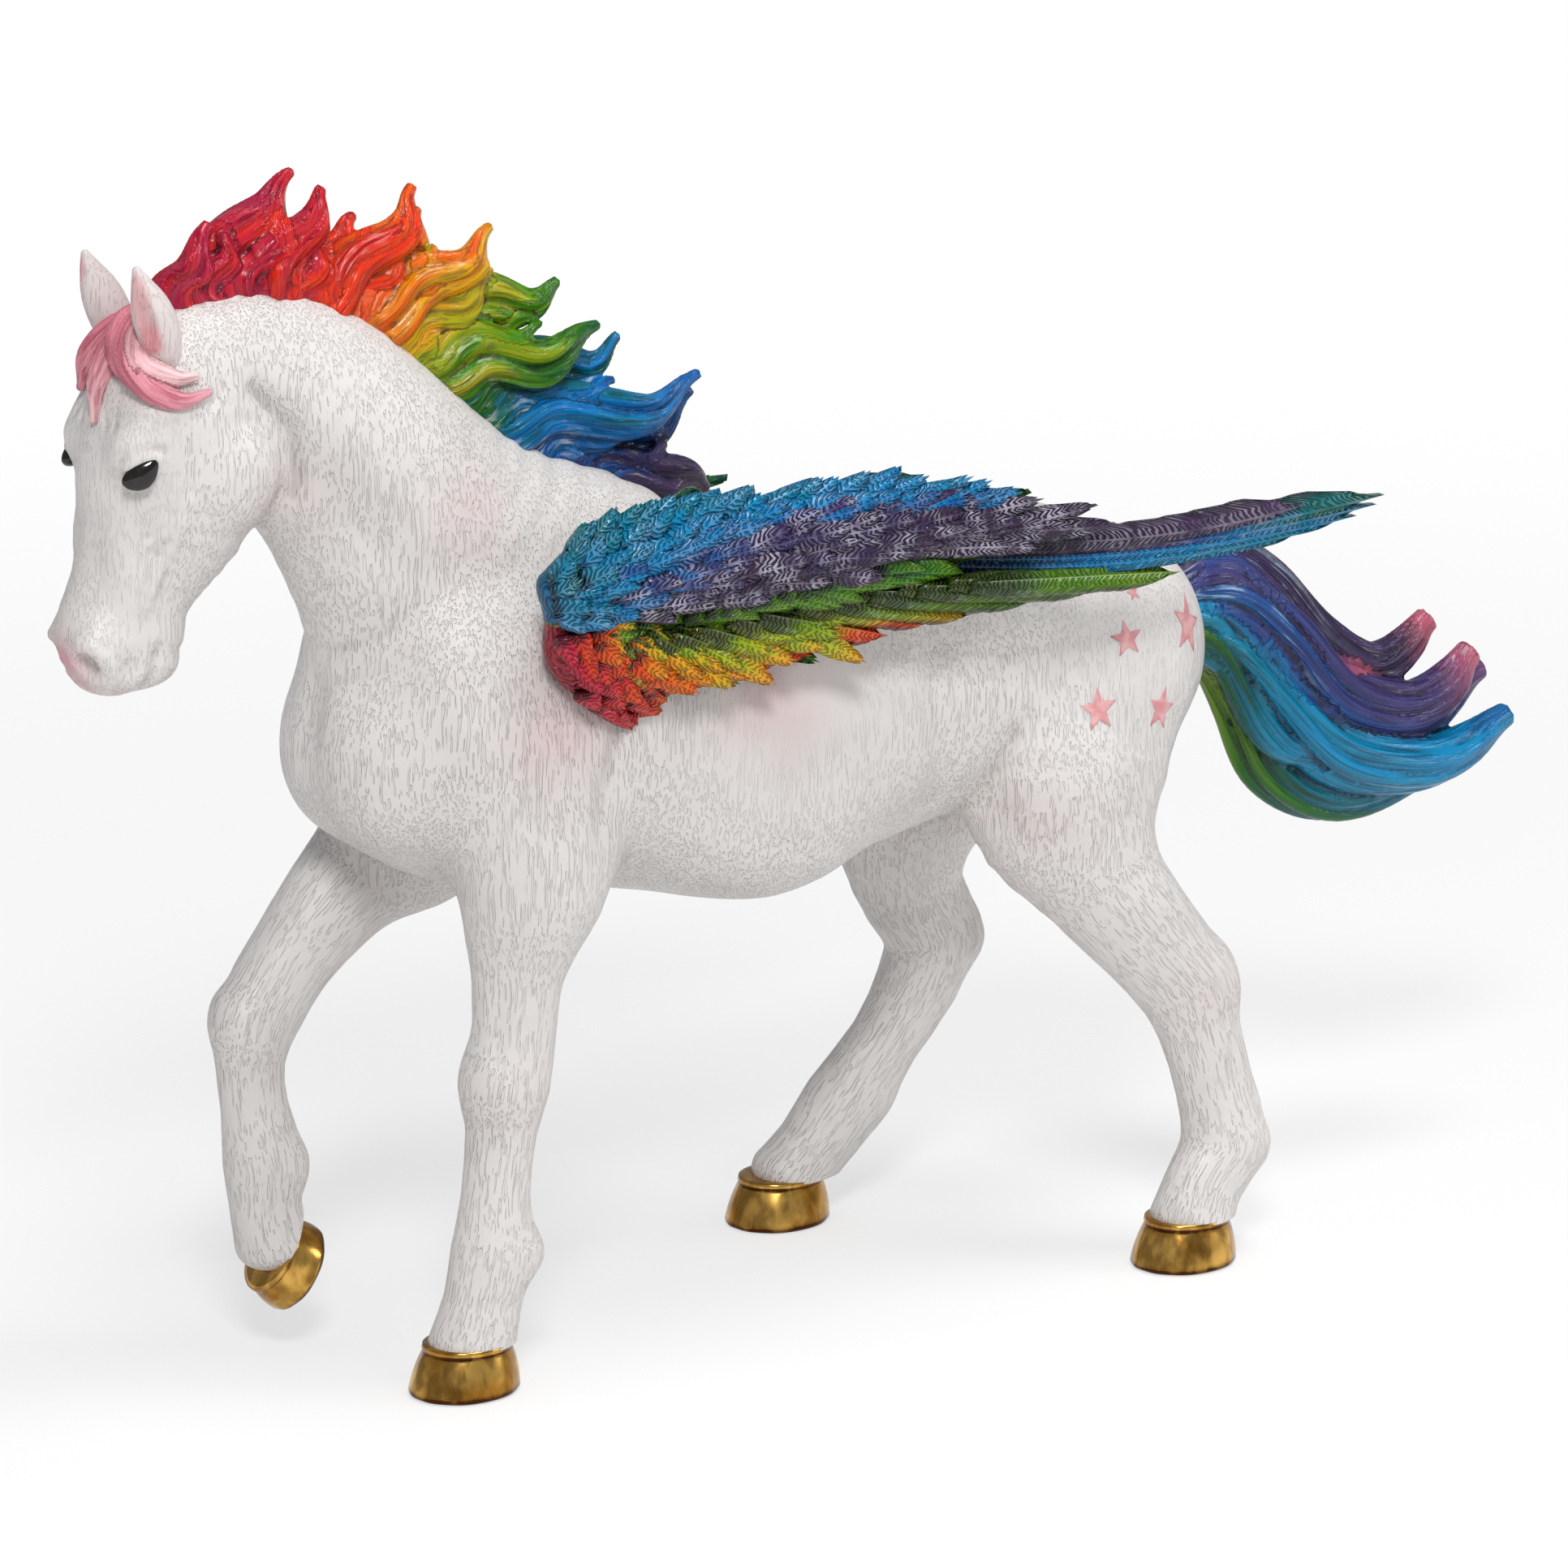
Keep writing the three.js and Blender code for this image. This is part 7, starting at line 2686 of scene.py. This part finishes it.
@dataclass(frozen=True)
class Stage:
    """Camera, pale floor and soft lamps; distances are in millimetres, the floor's reach and clip in metres."""

    target: Point = (39.1, -2.8, 49.6)
    turn: float = -34.0
    rise: float = 15.0
    distance: float = 750.0
    picture: int = 1932
    focal_pixels: int = 10000
    sensor: float = 36.0
    clip: tuple[float, float] = (0.01, 20.0)
    floor_reach: float = 6.0
    white: tuple[float, ...] = (1.0, 1.0, 1.0, 1.0)
    sky: tuple[float, ...] = (0.93, 0.95, 1.0, 1.0)
    sky_strength: float = 0.34
    lights: tuple[Lamp, ...] = (
        Lamp("window", (-330, -560, 620), (20, 0, 55), 200, 4.2), Lamp("top", (140, -160, 700), (30, 0, 50), 260, 2.2),
        Lamp("fill", (520, -420, 260), (30, 0, 50), 200, 0.8))

    def camera(self) -> None:
        """Stands the camera where the photograph was taken."""
        turn, rise = math.radians(self.turn), math.radians(self.rise)
        back = np.array([math.sin(turn) * math.cos(rise), -math.cos(turn) * math.cos(rise), math.sin(rise)])
        data = bpy.data.cameras.new("camera")
        data.sensor_width = self.sensor
        data.lens = self.focal_pixels / self.picture * data.sensor_width
        data.clip_start, data.clip_end = self.clip
        made = set_out("camera", data)
        made.location = Vector(metres(self.target + back * self.distance))
        made.rotation_euler = Vector(-back).to_track_quat("-Z", "Y").to_euler()
        bpy.context.scene.camera = made

    def floor(self) -> None:
        """Lays a pale floor that fades into the background and keeps the shadow."""
        mesh = bpy.data.meshes.new("floor")
        reach = self.floor_reach
        mesh.from_pydata([(-reach, -reach, 0), (reach, -reach, 0), (reach, reach, 0), (-reach, reach, 0)], [],
                         [(0, 1, 2, 3)])
        made = set_out("floor", mesh)
        material = bpy.data.materials.new("pale floor")
        material.use_nodes = True
        sketch = Sketch(material.node_tree)
        shader = material.node_tree.nodes["Principled BSDF"]
        place = sketch.place()
        shade = sketch.mix(sketch.noise(place, 3.0, 2.0), paint("f1f0ef"), paint("f4f3f2"))
        sketch.feed(shader, {"Base Color": shade, "Roughness": 0.8, "Specular IOR Level": 0.1})
        away = sketch.node("ShaderNodeVectorMath", {0: place}, operation="LENGTH").outputs["Value"]
        path = sketch.node("ShaderNodeLightPath")
        seen = sketch.maths("MAXIMUM", path.outputs["Is Camera Ray"], path.outputs["Is Glossy Ray"])
        seen = sketch.maths("MAXIMUM", seen, path.outputs["Is Transmission Ray"])
        share = sketch.times(seen, sketch.maths("MULTIPLY_ADD", sketch.rise(away, 0.1, 0.4), 0.4, 0.6))
        white = sketch.node("ShaderNodeEmission", {"Color": self.white, "Strength": 1.0})
        blend = sketch.node("ShaderNodeMixShader", {0: share, 1: shader.outputs[0], 2: white.outputs[0]})
        sketch.feed(sketch.tree.nodes["Material Output"], {"Surface": blend.outputs[0]})
        mesh.materials.append(material)

    def lamps(self) -> None:
        """Hangs the soft lamps."""
        for lamp in self.lights:
            data = bpy.data.lights.new(lamp.name, "AREA")
            data.shape = "DISK"
            data.size = lamp.size * MM
            data.energy = lamp.power
            made = set_out(lamp.name, data)
            made.location = Vector(metres(lamp.place))
            made.rotation_euler = (Vector(lamp.target) - Vector(lamp.place)).to_track_quat("-Z", "Y").to_euler()

    def room(self) -> None:
        """Gives the world a pale light, white where the camera sees it."""
        world = bpy.data.worlds.new("room")
        bpy.context.scene.world = world
        world.use_nodes = True
        sketch = Sketch(world.node_tree)
        sketch.tree.nodes.clear()
        seen = sketch.node("ShaderNodeLightPath").outputs["Is Camera Ray"]
        plain, white = (sketch.node("ShaderNodeBackground", {"Color": colour, "Strength": strength}).outputs[0]
                        for colour, strength in ((self.sky, self.sky_strength), (self.white, 1.0)))
        chosen = sketch.node("ShaderNodeMixShader", {0: seen, 1: plain, 2: white})
        sketch.node("ShaderNodeOutputWorld", {0: chosen.outputs[0]})

    def build(self) -> None:
        """Sets the stage."""
        bpy.context.scene.view_settings.view_transform = "Standard"
        self.camera()
        self.floor()
        self.lamps()
        self.room()


def main() -> None:
    """Builds the figurine and its stage."""
    logging.basicConfig(level=logging.INFO, format="%(name)s: %(message)s")
    eyes = Eyes()
    body = Body(eyes=eyes)
    for thing in (eyes, body, Stars(body=body), Hooves(), Ears(), forelock(), mane(), tail(), Wings()):
        thing.build()
        thing.dress()
    Stage().build()
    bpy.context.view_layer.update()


if __name__ == "__main__":
    main()
